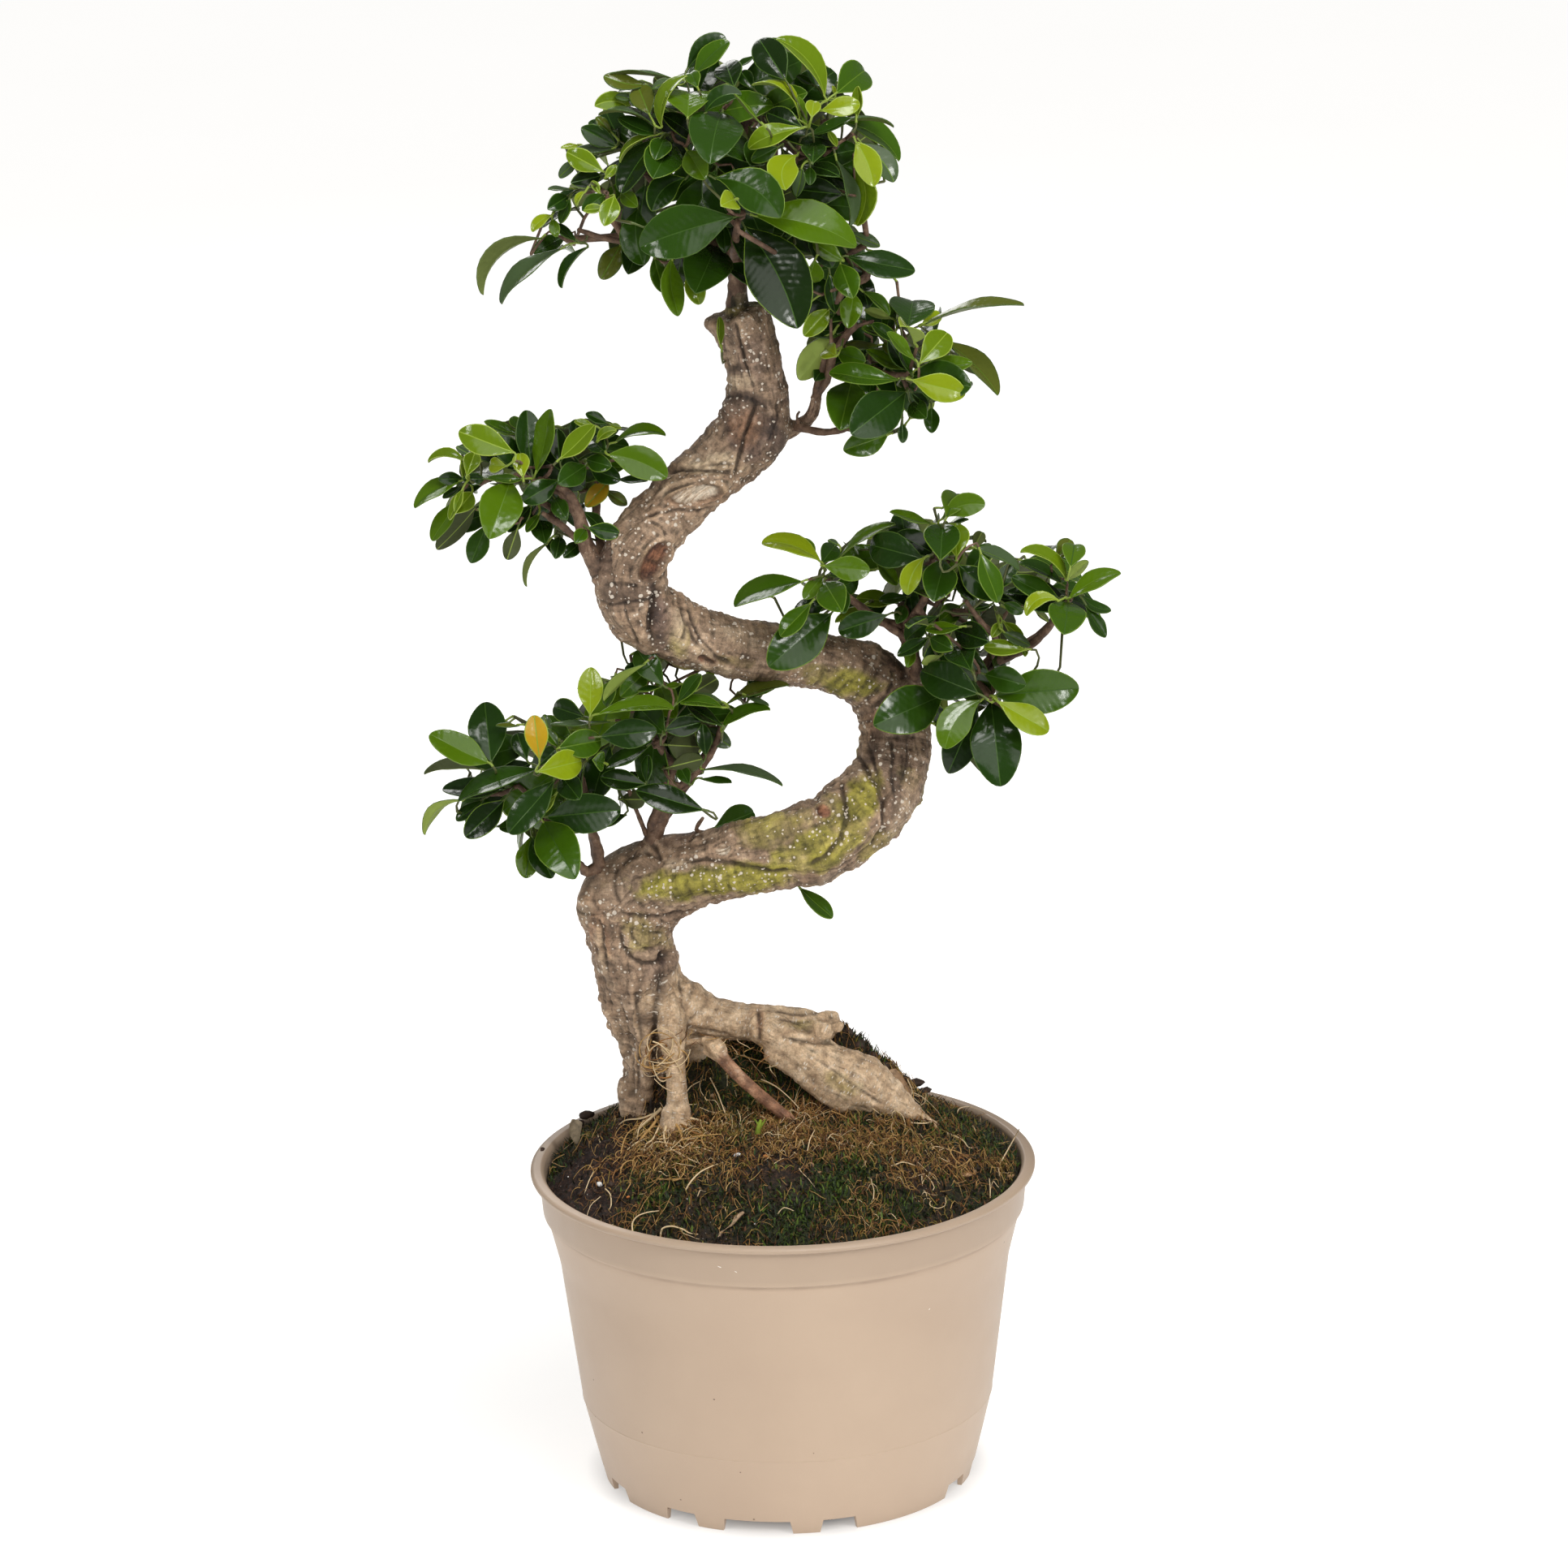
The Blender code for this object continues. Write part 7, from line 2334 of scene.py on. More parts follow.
def make_pot(material):
    corners = (
        (0.0, 0.0018),
        (DISC_R - 0.0012, 0.0018, 0.0005),
        (DISC_R + 0.0018, SKIRT_H + WALL, 0.0008),
        (BASE_R + 0.0004, SKIRT_H + WALL + 0.0006, 0.001),
        (LOW_R - WALL, LOW_Z + 0.0010, 0.001),
        (SHOULDER_R - WALL, SHOULDER_Z + 0.0004, 0.001),
        (COLLAR_R - WALL - 0.0005, COLLAR_Z - 0.0002, 0.001),
        (RIM_INNER_R - 0.0002, POT_HEIGHT - 0.0012, 0.0012),
        (RIM_INNER_R + 0.0012, POT_HEIGHT + 0.0002, 0.0005),
        (RIM_R - 0.0016, POT_HEIGHT + 0.0001, 0.0006),
        (RIM_R, POT_HEIGHT - 0.0008, 0.0005),
        (RIM_R - 0.0001, POT_HEIGHT - RIM_DROP + 0.0006, 0.0004),
        (RIM_R - 0.0010, POT_HEIGHT - RIM_DROP, 0.0003),
        (COLLAR_TOP_R + 0.0003, POT_HEIGHT - RIM_DROP - 0.0001, 0.0004),
        (COLLAR_TOP_R + 0.0001, POT_HEIGHT - RIM_DROP - 0.0012, 0.0004),
        (COLLAR_R, COLLAR_Z + 0.0003, 0.0004),
        (COLLAR_R - 0.0016, COLLAR_Z - 0.0001, 0.0003),
        (COLLAR_R - 0.0019, COLLAR_Z - 0.0012, 0.0003),
        (COLLAR_R - 0.0022, COLLAR_Z - 0.0034, 0.0009),
        (SHOULDER_R, SHOULDER_Z, 0.0030),
        (0.0901, 0.0372, 0.0002),
        (0.0902, 0.0366, 0.0002),
        (0.0899, 0.0362, 0.0002),
        (LOW_R, LOW_Z, 0.0020),
        (BASE_R + 0.0022, 0.0090, 0.0016),
        (BASE_R, 0.0, 0.0004),
        (BASE_R - 0.0020, 0.0, 0.0004),
        (BASE_R - 0.0014, SKIRT_H, 0.0006),
        (DISC_R + 0.0030, SKIRT_H, 0.0008),
        (DISC_R, 0.0, 0.0008),
        (0.0, 0.0),
    )
    prof = soft_profile(corners)
    n = POT_STEPS
    verts, faces = [], []
    for i, (r, z) in enumerate(prof):
        for k in range(n):
            a = 2 * math.pi * k / n
            verts.append((r * math.cos(a), r * math.sin(a), z))
    for i in range(len(prof) - 1):
        for k in range(n):
            j = (k + 1) % n
            faces.append((i * n + k, i * n + j, (i + 1) * n + j, (i + 1) * n + k))
    me = bpy.data.meshes.new("pot_shell")
    me.from_pydata(verts, [], faces)
    bm = bmesh.new()
    bm.from_mesh(me)
    bmesh.ops.remove_doubles(bm, verts=bm.verts[:], dist=0.000005)
    bmesh.ops.recalc_face_normals(bm, faces=bm.faces[:])
    bm.to_mesh(me)
    bm.free()
    me.materials.append(material)
    ob = bpy.data.objects.new("pot_shell", me)
    bpy.context.scene.collection.objects.link(ob)
    cutters = []
    for c in GROUP_CENTRES:
        for a0, a1 in WINDOW_GROUP:
            cutters.append(wedge(c + a0, c + a1))
    for k in range(DRAINS):
        a = 2 * math.pi * (k + 0.5) / DRAINS
        bm = bmesh.new()
        bmesh.ops.create_cone(bm, cap_ends=True, segments=28, radius1=DRAIN_R, radius2=DRAIN_R, depth=0.012)
        bmesh.ops.translate(bm, verts=bm.verts[:], vec=(DRAIN_RING * math.cos(a), DRAIN_RING * math.sin(a), SKIRT_H + 0.001))
        m = bpy.data.meshes.new("cut")
        bm.to_mesh(m)
        bm.free()
        c = bpy.data.objects.new("cut", m)
        bpy.context.scene.collection.objects.link(c)
        cutters.append(c)
    for c in cutters:
        mod = ob.modifiers.new("cut", "BOOLEAN")
        mod.operation, mod.solver, mod.object = "DIFFERENCE", "EXACT", c
    dg = bpy.context.evaluated_depsgraph_get()
    new = bpy.data.meshes.new_from_object(ob.evaluated_get(dg))
    ob.modifiers.clear()
    ob.data = new
    for c in cutters:
        bpy.data.objects.remove(c, do_unlink=True)
    new.shade_smooth()
    new.set_sharp_from_angle(angle=math.radians(50))
    return ob


def wedge(a0, a1):
    rings = []
    lean = 1.2
    r0, r1 = BASE_R - 0.0040, BASE_R + 0.0120
    for z, extra in ((-0.002, lean), (WINDOW_H, 0.0)):
        ring = []
        for r, a in ((r0, a0 - extra), (r1, a0 - extra), (r1, (a0 + a1) / 2), (r1, a1 + extra), (r0, a1 + extra)):
            a = math.radians(a)
            ring.append((r * math.cos(a), r * math.sin(a), z))
        rings.append(ring)
    verts = rings[0] + rings[1]
    faces = [(k, (k + 1) % 5, 5 + (k + 1) % 5, 5 + k) for k in range(5)] + [(4, 3, 2, 1, 0), (5, 6, 7, 8, 9)]
    me = bpy.data.meshes.new("cut")
    me.from_pydata(verts, [], faces)
    bm = bmesh.new()
    bm.from_mesh(me)
    bmesh.ops.recalc_face_normals(bm, faces=bm.faces[:])
    bm.to_mesh(me)
    bm.free()
    ob = bpy.data.objects.new("cut", me)
    bpy.context.scene.collection.objects.link(ob)
    return ob


def pot_material():
    s = Shader("pot_plastic", (0.50, 0.375, 0.272), 0.42)
    obj = s.place("Object")
    cloud = s.noise(obj, 14.0, 3.0)
    base = s.ramp(cloud, ((0.3, (0.485, 0.360, 0.262)), (0.7, (0.528, 0.398, 0.290))))
    dust = s.ramp(s.noise(obj, 70.0, 6.0, 0.7), ((0.55, 0.0), (0.85, 1.0)))
    base = s.mix(s.math("MULTIPLY", dust, 0.10), base, (0.40, 0.29, 0.20))
    # tiny dark specks of dirt
    v = s.voronoi(obj, 190.0)
    pick = s.node("ShaderNodeSeparateXYZ")
    s.link(v.outputs["Color"], pick.inputs[0])
    few = s.math("LESS_THAN", pick.outputs["X"], 0.045)
    spot = s.math("MULTIPLY", s.math("LESS_THAN", v.outputs["Distance"], 0.085), few)
    # painted shade: a darker band, broken by noise, just under the collar step
    height = s.node("ShaderNodeSeparateXYZ")
    s.link(obj, height.inputs[0])
    near = s.math("SUBTRACT", 1.0, s.math("MULTIPLY", s.math("ABSOLUTE", s.math("SUBTRACT", height.outputs["Z"], COLLAR_Z - 0.0012)), 900.0), clamp=True)
    near = s.math("MULTIPLY", near, s.ramp(s.noise(obj, 45.0, 3.0), ((0.35, 0.35), (0.65, 1.0))))
    base = s.mix(s.math("MULTIPLY", near, 0.35), base, (0.20, 0.13, 0.09))
    base = s.mix(s.math("MULTIPLY", spot, 0.75), base, (0.13, 0.08, 0.05))
    # painted shade: the collar and the lip are darkened by height, the top of the rim left at full tone
    collar_shade = s.ramp(height.outputs["Z"], ((COLLAR_Z - 0.0010, 1.0), (COLLAR_Z + 0.0004, 0.88), (POT_HEIGHT - RIM_DROP - 0.0006, 0.86), (POT_HEIGHT - RIM_DROP + 0.0006, 0.82), (POT_HEIGHT - 0.0010, 0.84), (POT_HEIGHT + 0.0001, 1.0)))
    base = s.mix(1.0, base, collar_shade, "MULTIPLY")
    s.colour(base)
    s.rough(s.noise(obj, 60.0, 4.0), 0.34, 0.52)
    s.bump(s.noise(obj, 700.0, 3.0), 0.10, 0.0006)
    return s.mat


def wall_point(px, py, out=0.0):
    """The point of the pot's front wall seen at a pixel."""
    lo, hi = -0.115, 0.0
    for _ in range(40):
        y = (lo + hi) / 2
        p = at(px, py, y * 1000)
        z = p.z
        r = np.interp(z, (0, 0.009, LOW_Z, SHOULDER_Z, COLLAR_Z - 0.0036, COLLAR_Z - 0.0001, COLLAR_Z, POT_HEIGHT - RIM_DROP - 0.0004),
                      (BASE_R, BASE_R + 0.0022, LOW_R, SHOULDER_R, COLLAR_R - 0.0022, COLLAR_R - 0.0018, COLLAR_R, COLLAR_TOP_R + 0.0002)) + out
        if math.hypot(p.x, p.y) > r:
            lo = y
        else:
            hi = y
    return np.array(p)


# pale scuffs on the wall: from, to (px), half width mm
SCUFFS = (
    ((1133, 1653), (1139, 1648), 0.22), ((1118, 1740), (1123, 1730), 0.24), ((1204, 1659), (1206, 1654), 0.22), ((1185, 1745), (1187, 1742), 0.20),
    ((1192, 1765), (1193, 1759), 0.22), ((1144, 1614), (1146, 1612), 0.24), ((1159, 1679), (1161, 1677), 0.20), ((884, 1560), (889, 1562), 0.20),
    ((745, 1762), (762, 1768), 0.12), ((930, 1805), (980, 1806), 0.10), ((1060, 1800), (1104, 1795), 0.10), ((905, 1566), (908, 1568), 0.18),
)


def add_scuffs():
    soup = Soup()
    for a, b, w in SCUFFS:
        n = 9
        pts = np.array([wall_point(a[0] + (b[0] - a[0]) * k / (n - 1), a[1] + (b[1] - a[1]) * k / (n - 1)) for k in range(n)])
        t = np.linspace(0, 1, n)
        tube(soup, pts, w * MM * (0.25 + np.sin(math.pi * t) * 0.75), 6, 0)
    s = Shader("scuff", (0.86, 0.82, 0.76), 0.5)
    obj = s.place("Object")
    s.rough(s.noise(obj, 500.0), 0.4, 0.6)
    ob = soup.build("pot_scuffs", [s.mat])
    carry(ob, "pot_plastic")


# ================================================================ soil, moss and fibres
def surface_height(x, y):
    """Soil level for arrays of places."""
    r = np.hypot(x, y)
    ang = np.degrees(np.arctan2(y, x))
    rows = sorted(SOIL_EDGE)
    grid = np.arange(-180, 181, 3)
    table = np.array([soil_edge(math.radians(a)) for a in grid])
    edge = np.interp(ang, grid, table)
    radius = RIM_INNER_R - 0.0014
    q = np.minimum(r / radius, 1.0)
    h = edge + (SOIL_CROWN - edge) * (1 - q ** 2.6)
    best = np.zeros_like(x)
    for a, b in zip(RIDGE, RIDGE[1:]):
        t = np.clip(((x - a[0]) * (b[0] - a[0]) + (y - a[1]) * (b[1] - a[1])) / ((b[0] - a[0]) ** 2 + (b[1] - a[1]) ** 2), 0, 1)
        d = np.hypot(x - a[0] - t * (b[0] - a[0]), y - a[1] - t * (b[1] - a[1]))
        best = np.maximum(best, (a[2] + (b[2] - a[2]) * t) * np.exp(-(d / RIDGE_W) ** 2))
    h += best * (1 - q ** 5)
    return h


def soil_level(x, y):
    """Level with its crumbs and lumps."""
    x, y = np.atleast_1d(np.asarray(x, float)), np.atleast_1d(np.asarray(y, float))
    p = np.stack([x, y, np.zeros_like(x)], -1)
    r = np.hypot(x, y)
    calm = smoothstep(0.1028, 0.098, r) * 0.75 + 0.25
    h = surface_height(x, y)
    bare = bare_patch(x, y)
    h = h + (fbm(p * 60, 3, 5) * 0.0024 + fbm(p * 190, 3, 9) * 0.0018 + np.abs(fbm(p * 480, 3, 13)) * 0.0018) * calm
    crumb = np.abs(fbm(p * 260, 2, 301)) * 0.0042 + np.abs(fbm(p * 620, 2, 303)) * 0.0018
    h = h + crumb * bare * calm - 0.0015 * bare
    return h


def bare_patch(x, y):
    """Where the peat lies open, 0..1."""
    p = np.stack([x, y, np.zeros_like(x)], -1)
    left = np.exp(-(((x + 0.090) / 0.024) ** 2 + ((y + 0.030) / 0.045) ** 2) * 1.2)
    back = np.exp(-(((x + 0.070) / 0.018) ** 2 + ((y - 0.050) / 0.030) ** 2))
    front = np.exp(-(((x + 0.005) / 0.022) ** 2 + ((y + 0.062) / 0.016) ** 2)) * 0.7
    return np.clip(left * 1.5 + back * 0.5 + front + fbm(p * 50, 2, 311) * 0.6 - 0.12, 0, 1)


def gold_patch(x, y):
    """Where dry golden moss stems and fibres lie thick, 0..1."""
    p = np.stack([x, y, np.zeros_like(x)], -1)
    right = np.exp(-(((x - 0.030) / 0.050) ** 2 + ((y + 0.034) / 0.020) ** 2))
    middle = np.exp(-(((x + 0.035) / 0.030) ** 2 + ((y + 0.036) / 0.022) ** 2))
    mound = np.exp(-(((x + 0.006) / 0.028) ** 2 + ((y + 0.014) / 0.016) ** 2)) * 0.7
    return np.clip(0.22 + right * 0.85 + middle * 0.75 + mound + fbm(p * 55, 3, 321) * 0.75, 0.04, 1)


def make_soil(material):
    step = 0.00105
    n = int(2 * 0.1030 / step) + 1
    g = (np.arange(n) - (n - 1) / 2) * step
    gx, gy = np.meshgrid(g, g)
    r = np.hypot(gx, gy)
    limit = RIM_INNER_R - 0.0012
    # the outer points are drawn onto the wall
    scale = np.where(r > limit, limit / np.maximum(r, 1e-9), 1.0)
    keep = r < limit + step * 0.75
    x, y = gx * scale, gy * scale
    z = soil_level(x.ravel(), y.ravel()).reshape(x.shape)
    ids = np.full(x.shape, -1)
    ids[keep] = np.arange(keep.sum())
    verts = np.stack([x[keep], y[keep], z[keep]], -1)
    faces = []
    q = np.stack([ids[:-1, :-1], ids[:-1, 1:], ids[1:, 1:], ids[1:, :-1]], -1).reshape(-1, 4)
    q = q[(q >= 0).all(1)]
    soup = Soup()
    soup.add(verts, q, 0)
    ob = soup.build("soil_bed", [material])
    co = np.empty(len(ob.data.vertices) * 3, np.float32)
    ob.data.vertices.foreach_get("co", co)
    co = co.reshape(-1, 3).astype(float)
    for name, field in (("bare", bare_patch), ("mossy", moss_patch)):
        a = ob.data.attributes.new(name, "FLOAT", "POINT")
        a.data.foreach_set("value", field(co[:, 0], co[:, 1]).astype(np.float32))
    return ob


def soil_material():
    s = Shader("peat", (0.045, 0.030, 0.014), 0.95)
    obj = s.place("Object")
    fine = s.noise(obj, 620.0, 6.0, 0.7)
    brown = s.ramp(fine, ((0.34, (0.004, 0.002, 0.001)), (0.50, (0.024, 0.010, 0.006)), (0.62, (0.085, 0.038, 0.022)), (0.74, (0.170, 0.090, 0.055))))
    damp = s.ramp(fine, ((0.34, (0.004, 0.002, 0.001)), (0.50, (0.022, 0.012, 0.005)), (0.68, (0.085, 0.044, 0.014))))
    moss = s.ramp(fine, ((0.32, (0.004, 0.008, 0.001)), (0.50, (0.018, 0.034, 0.004)), (0.70, (0.070, 0.100, 0.012))))
    base = s.mix(s.attr("mossy"), damp, moss)
    base = s.mix(s.attr("bare"), base, brown)
    # grains of sand that catch the light
    v = s.voronoi(obj, 900.0)
    pick = s.node("ShaderNodeSeparateXYZ")
    s.link(v.outputs["Color"], pick.inputs[0])
    grain = s.math("MULTIPLY", s.math("LESS_THAN", v.outputs["Distance"], 0.22), s.math("LESS_THAN", pick.outputs["X"], 0.05))
    base = s.mix(s.math("MULTIPLY", grain, 0.8), base, (0.55, 0.50, 0.44))
    s.colour(base)
    s.rough(fine, 0.55, 0.95)
    s.bump(fine, 1.0, 0.002)
    return s.mat


def moss_patch(x, y):
    """How mossy a place is, 0..1, by drawn patches and noise."""
    p = np.stack([x, y, np.zeros_like(x)], -1)
    m = fbm(p * 38, 3, 201) * 0.9 + 0.32
    m += np.exp(-(((x + 0.008) / 0.030) ** 2 + ((y + 0.004) / 0.022) ** 2)) * 0.75
    m += np.exp(-(((x + 0.060) / 0.018) ** 2 + ((y + 0.040) / 0.030) ** 2)) * 0.45
    m += np.exp(-(((x - 0.070) / 0.016) ** 2 + ((y - 0.010) / 0.030) ** 2)) * 0.35
    left = np.exp(-(((x + 0.085) / 0.028) ** 2 + ((y + 0.035) / 0.05) ** 2))
    m -= left * 0.9
    return np.clip(m, 0, 1)


def place_on_soil(rng, n, r_max=0.1022):
    r = np.sqrt(rng.random(n)) * r_max
    a = rng.random(n) * 2 * math.pi
    return r * np.cos(a), r * np.sin(a)


MOSS_TONES = ((0.006, 0.014, 0.002), (0.024, 0.052, 0.003), (0.078, 0.130, 0.007), (0.135, 0.108, 0.010), (0.250, 0.140, 0.027), (0.115, 0.047, 0.011), (0.020, 0.009, 0.004))


def moss_blades(count):
    """Short curved blades of moss, each two quads long."""
    rng = np.random.default_rng(11)
    x, y = place_on_soil(rng, count * 3)
    keep = rng.random(len(x)) < (0.30 + 0.70 * moss_patch(x, y)) * (1 - 0.85 * bare_patch(x, y))
    x, y = x[keep][:count], y[keep][:count]
    n = len(x)
    z = soil_level(x, y)
    a = rng.random(n) * 2 * math.pi
    lean = rng.uniform(0.1, 1.15, n)
    length = rng.uniform(0.0018, 0.0048, n)
    width = rng.uniform(0.00024, 0.00048, n)
    out = np.stack([np.cos(a), np.sin(a), np.zeros(n)], -1)
    side = np.stack([-np.sin(a), np.cos(a), np.zeros(n)], -1)
    base = np.stack([x, y, z - 0.0006], -1)
    up = np.array([0, 0, 1.0])
    mid = base + (out * (np.sin(lean) * 0.45)[:, None] + up * (np.cos(lean) * 0.6)[:, None]) * length[:, None]
    tip = mid + (out * (np.sin(lean + 0.5) * 0.6)[:, None] + up * (np.cos(lean + 0.5) * 0.5)[:, None]) * length[:, None]
    w = (side * width[:, None])
    verts = np.stack([base - w, base + w, mid + w * 0.8, mid - w * 0.8, tip], 1).reshape(-1, 3)
    k = np.arange(n)[:, None] * 5
    quads = k + np.array([[0, 1, 2, 3]])
    tris = k + np.array([[3, 2, 4]])
    green = moss_patch(x, y)
    gold = gold_patch(x, y)
    p = np.stack([0.30 + 0.1 * green, 0.10 + 0.40 * green, 0.02 + 0.50 * green ** 2, 0.05 + 0.20 * gold, 0.02 + 0.42 * gold ** 2, 0.05 + 0.30 * gold, 0.10 + 0.2 * (1 - green)], -1)
    p /= p.sum(1)[:, None]
    shade = (rng.random(n)[:, None] > np.cumsum(p, 1)).sum(1).clip(0, 6)
    return verts, quads, tris, shade


def fibre_paths(count, seed, kind):
    """Dry stems and hair roots lying tangled on the moss. kind: 0 short stems, 1 strands, 2 pale strands round the front root."""
    rng = np.random.default_rng(seed)
    x, y = place_on_soil(rng, count * 4, 0.1012)
    if kind == 2:
        spot = np.exp(-(((x + 0.048) / 0.020) ** 2 + ((y + 0.024) / 0.016) ** 2))
        keep = rng.random(len(x)) < spot
        while keep.sum() < count:
            x2, y2 = place_on_soil(rng, count * 4, 0.1012)
            x, y = np.append(x, x2), np.append(y, y2)
            keep = rng.random(len(x)) < np.exp(-(((x + 0.048) / 0.020) ** 2 + ((y + 0.024) / 0.016) ** 2))
    else:
        keep = rng.random(len(x)) < gold_patch(x, y) * (1 - 0.8 * bare_patch(x, y))
    x, y = x[keep][:count], y[keep][:count]
    out = []
    for i in range(len(x)):
        n = (5, 10, 8)[kind]
        length = rng.uniform(*((0.0035, 0.0105), (0.010, 0.026), (0.006, 0.018))[kind])
        a = rng.uniform(0, 2 * math.pi)
        turn = rng.normal(0, (1.9, 2.6, 2.8)[kind]) / n
        px, py = [x[i]], [y[i]]
        for k in range(n - 1):
            a += turn + rng.normal(0, 0.16)
            px.append(px[-1] + math.cos(a) * length / n)
            py.append(py[-1] + math.sin(a) * length / n)
        px, py = np.array(px), np.array(py)
        r = np.hypot(px, py)
        s = np.minimum(1.0, 0.1018 / np.maximum(r, 1e-9))
        px, py = px * s, py * s
        t = np.linspace(0, 1, n)
        if rng.random() < (0.30, 0.25, 0.3)[kind]:       # a stem that stands up at its end
            lift = t ** 1.3 * rng.uniform(0.002, 0.006)
        else:
            lift = rng.uniform(0.0004, 0.0036) * np.sin(math.pi * t) ** 1.2 + 0.0004 * np.sin(t * 9 + i)
        out.append((px, py, lift, rng.uniform(*((0.00014, 0.00027), (0.00016, 0.00032), (0.00020, 0.00040))[kind])))
    return out


def add_fibres(soup, paths, pick, sides=3):
    for i, (px, py, lift, r) in enumerate(paths):
        z = surface_height(px, py) + 0.0014 + lift
        pts = np.stack([px, py, z], -1)
        t = np.linspace(0, 1, len(px))
        tube(soup, pts, r * (1.0 - 0.6 * t), sides, pick(i), cap=False)


FIBRE_TONES = ((0.480, 0.285, 0.095), (0.275, 0.125, 0.032), (0.110, 0.045, 0.012), (0.700, 0.530, 0.310), (0.030, 0.014, 0.006), (0.270, 0.185, 0.038))
# strands that show one by one: px, py, height over the soil mm; half width mm, tone
STRANDS = (
    (0.42, 3, ((845, 1466, 1), (852, 1455, 3), (863, 1444, 4), (877, 1437, 3), (891, 1432, 1))),
    (0.40, 3, ((780, 1521, 1), (779, 1508, 3), (785, 1499, 4), (797, 1494, 4), (812, 1492, 1))),
    (0.44, 3, ((814, 1524, 1), (816, 1514, 3), (828, 1511, 4), (842, 1515, 4), (852, 1520, 2), (878, 1522, 0.5))),
    (0.36, 3, ((1095, 1438, 1), (1106, 1434, 2), (1114, 1432, 3), (1130, 1437, 1))),
    (0.36, 3, ((1232, 1434, 1), (1241, 1418, 4), (1250, 1402, 6), (1256, 1391, 8))),
    (0.34, 3, ((1120, 1383, 1), (1140, 1384, 3), (1165, 1379, 1))),
    (0.34, 3, ((1165, 1395, 1), (1185, 1404, 3), (1194, 1414, 3), (1206, 1413, 1))),
    (0.34, 0, ((1168, 1412, 1), (1174, 1425, 3), (1182, 1434, 1))),
    (0.50, 2, ((774, 1456, 1), (790, 1452, 1.5), (812, 1447, 1))),
    (0.40, 0, ((812, 1453, 1), (830, 1453, 1.5), (850, 1452, 1))),
    (0.36, 3, ((746, 1465, 1), (752, 1472, 3), (753, 1484, 2), (751, 1490, 0.5))),
    (0.34, 0, ((765, 1422, 1), (769, 1405, 3), (776, 1394, 4), (790, 1388, 1))),
    (0.34, 3, ((785, 1404, 1), (787, 1392, 3), (792, 1382, 3), (800, 1378, 1))),
    (0.40, 0, ((822, 1414, 1), (840, 1405, 3), (858, 1400, 3), (880, 1398, 3), (900, 1397, 1))),
    (0.36, 3, ((826, 1412, 1), (842, 1424, 2), (858, 1432, 2), (868, 1436, 1))),
    (0.30, 3, ((736, 1397, 1), (739, 1406, 2), (741, 1412, 0.5))),
    (0.30, 3, ((720, 1472, 1), (723, 1462, 3), (727, 1452, 4), (731, 1444, 3))),
    (0.34, 3, ((875, 1328, 2), (884, 1346, 4), (890, 1362, 4), (896, 1374, 2), (912, 1372, 1))),
    (0.30, 3, ((840, 1356, 2), (850, 1361, 3), (862, 1360, 1))),
    (0.30, 3, ((843, 1350, 3), (852, 1338, 4), (868, 1330, 2))),
    (0.32, 5, ((900, 1340, 2), (918, 1334, 4), (936, 1332, 4), (958, 1340, 1))),
    (0.32, 0, ((905, 1298, 2), (925, 1304, 4), (945, 1310, 4), (962, 1318, 1))),
    (0.32, 3, ((938, 1330, 2), (955, 1338, 4), (972, 1352, 3), (985, 1366, 1))),
    (0.34, 3, ((1000, 1346, 8), (1030, 1346, 9), (1055, 1352, 9), (1078, 1368, 3), (1086, 1374, 1))),
    (0.30, 3, ((1118, 1330, 3), (1124, 1345, 3), (1120, 1356, 2), (1124, 1362, 1))),
    (0.28, 3, ((1178, 1376, 1), (1182, 1366, 4), (1196, 1364, 4), (1214, 1372, 1))),
    (0.85, 3, ((815, 1366, 4), (803, 1377, 3), (792, 1386, 2), (781, 1398, 0.5))),
    (0.75, 0, ((812, 1376, 3), (800, 1392, 3), (789, 1404, 1.5), (783, 1414, 0.5))),
    (0.80, 3, ((836, 1370, 4), (848, 1377, 3), (860, 1380, 2), (872, 1384, 0.5))),
    (0.70, 0, ((830, 1380, 4), (838, 1394, 3), (842, 1408, 2), (852, 1416, 0.5))),
    (0.60, 3, ((822, 1384, 4), (818, 1400, 3), (822, 1416, 2), (818, 1428, 0.5))),
    (0.50, 3, ((806, 1372, 3), (790, 1378, 3), (772, 1380, 2), (762, 1386, 0.5))),
    (0.50, 1, ((840, 1386, 3), (856, 1396, 3), (870, 1400, 2), (884, 1410, 0.5))),
    (0.45, 3, ((812, 1388, 3), (804, 1404, 3), (796, 1410, 2), (792, 1424, 0.5))),
    (0.28, 3, ((995, 1418, 1), (998, 1404, 4), (1004, 1392, 5))),
    (0.28, 0, ((1058, 1418, 1), (1064, 1428, 2), (1068, 1440, 1))),
    (0.26, 3, ((1220, 1476, 1), (1220, 1464, 4), (1219, 1452, 6))),
    (0.26, 3, ((958, 1496, 1), (966, 1488, 4), (978, 1492, 2))),
)


def soil_point(px, py, over=0.0):
    """Place on the soil seen at a pixel, raised by over (millimetres)."""
    lo, hi = -0.104, 0.09
    best = None
    for y in np.arange(lo, hi, 0.001):
        p = at(px, py, y * 1000)
        if math.hypot(p.x, p.y) < 0.1020:
            gap = p.z - over * MM - float(surface_height(np.array([p.x]), np.array([p.y]))[0]) - 0.0010
            if gap <= 0 or best is None:
                best = p
            if gap <= 0:
                break
            best = p
    return np.array(best if best is not None else at(px, py, 0))


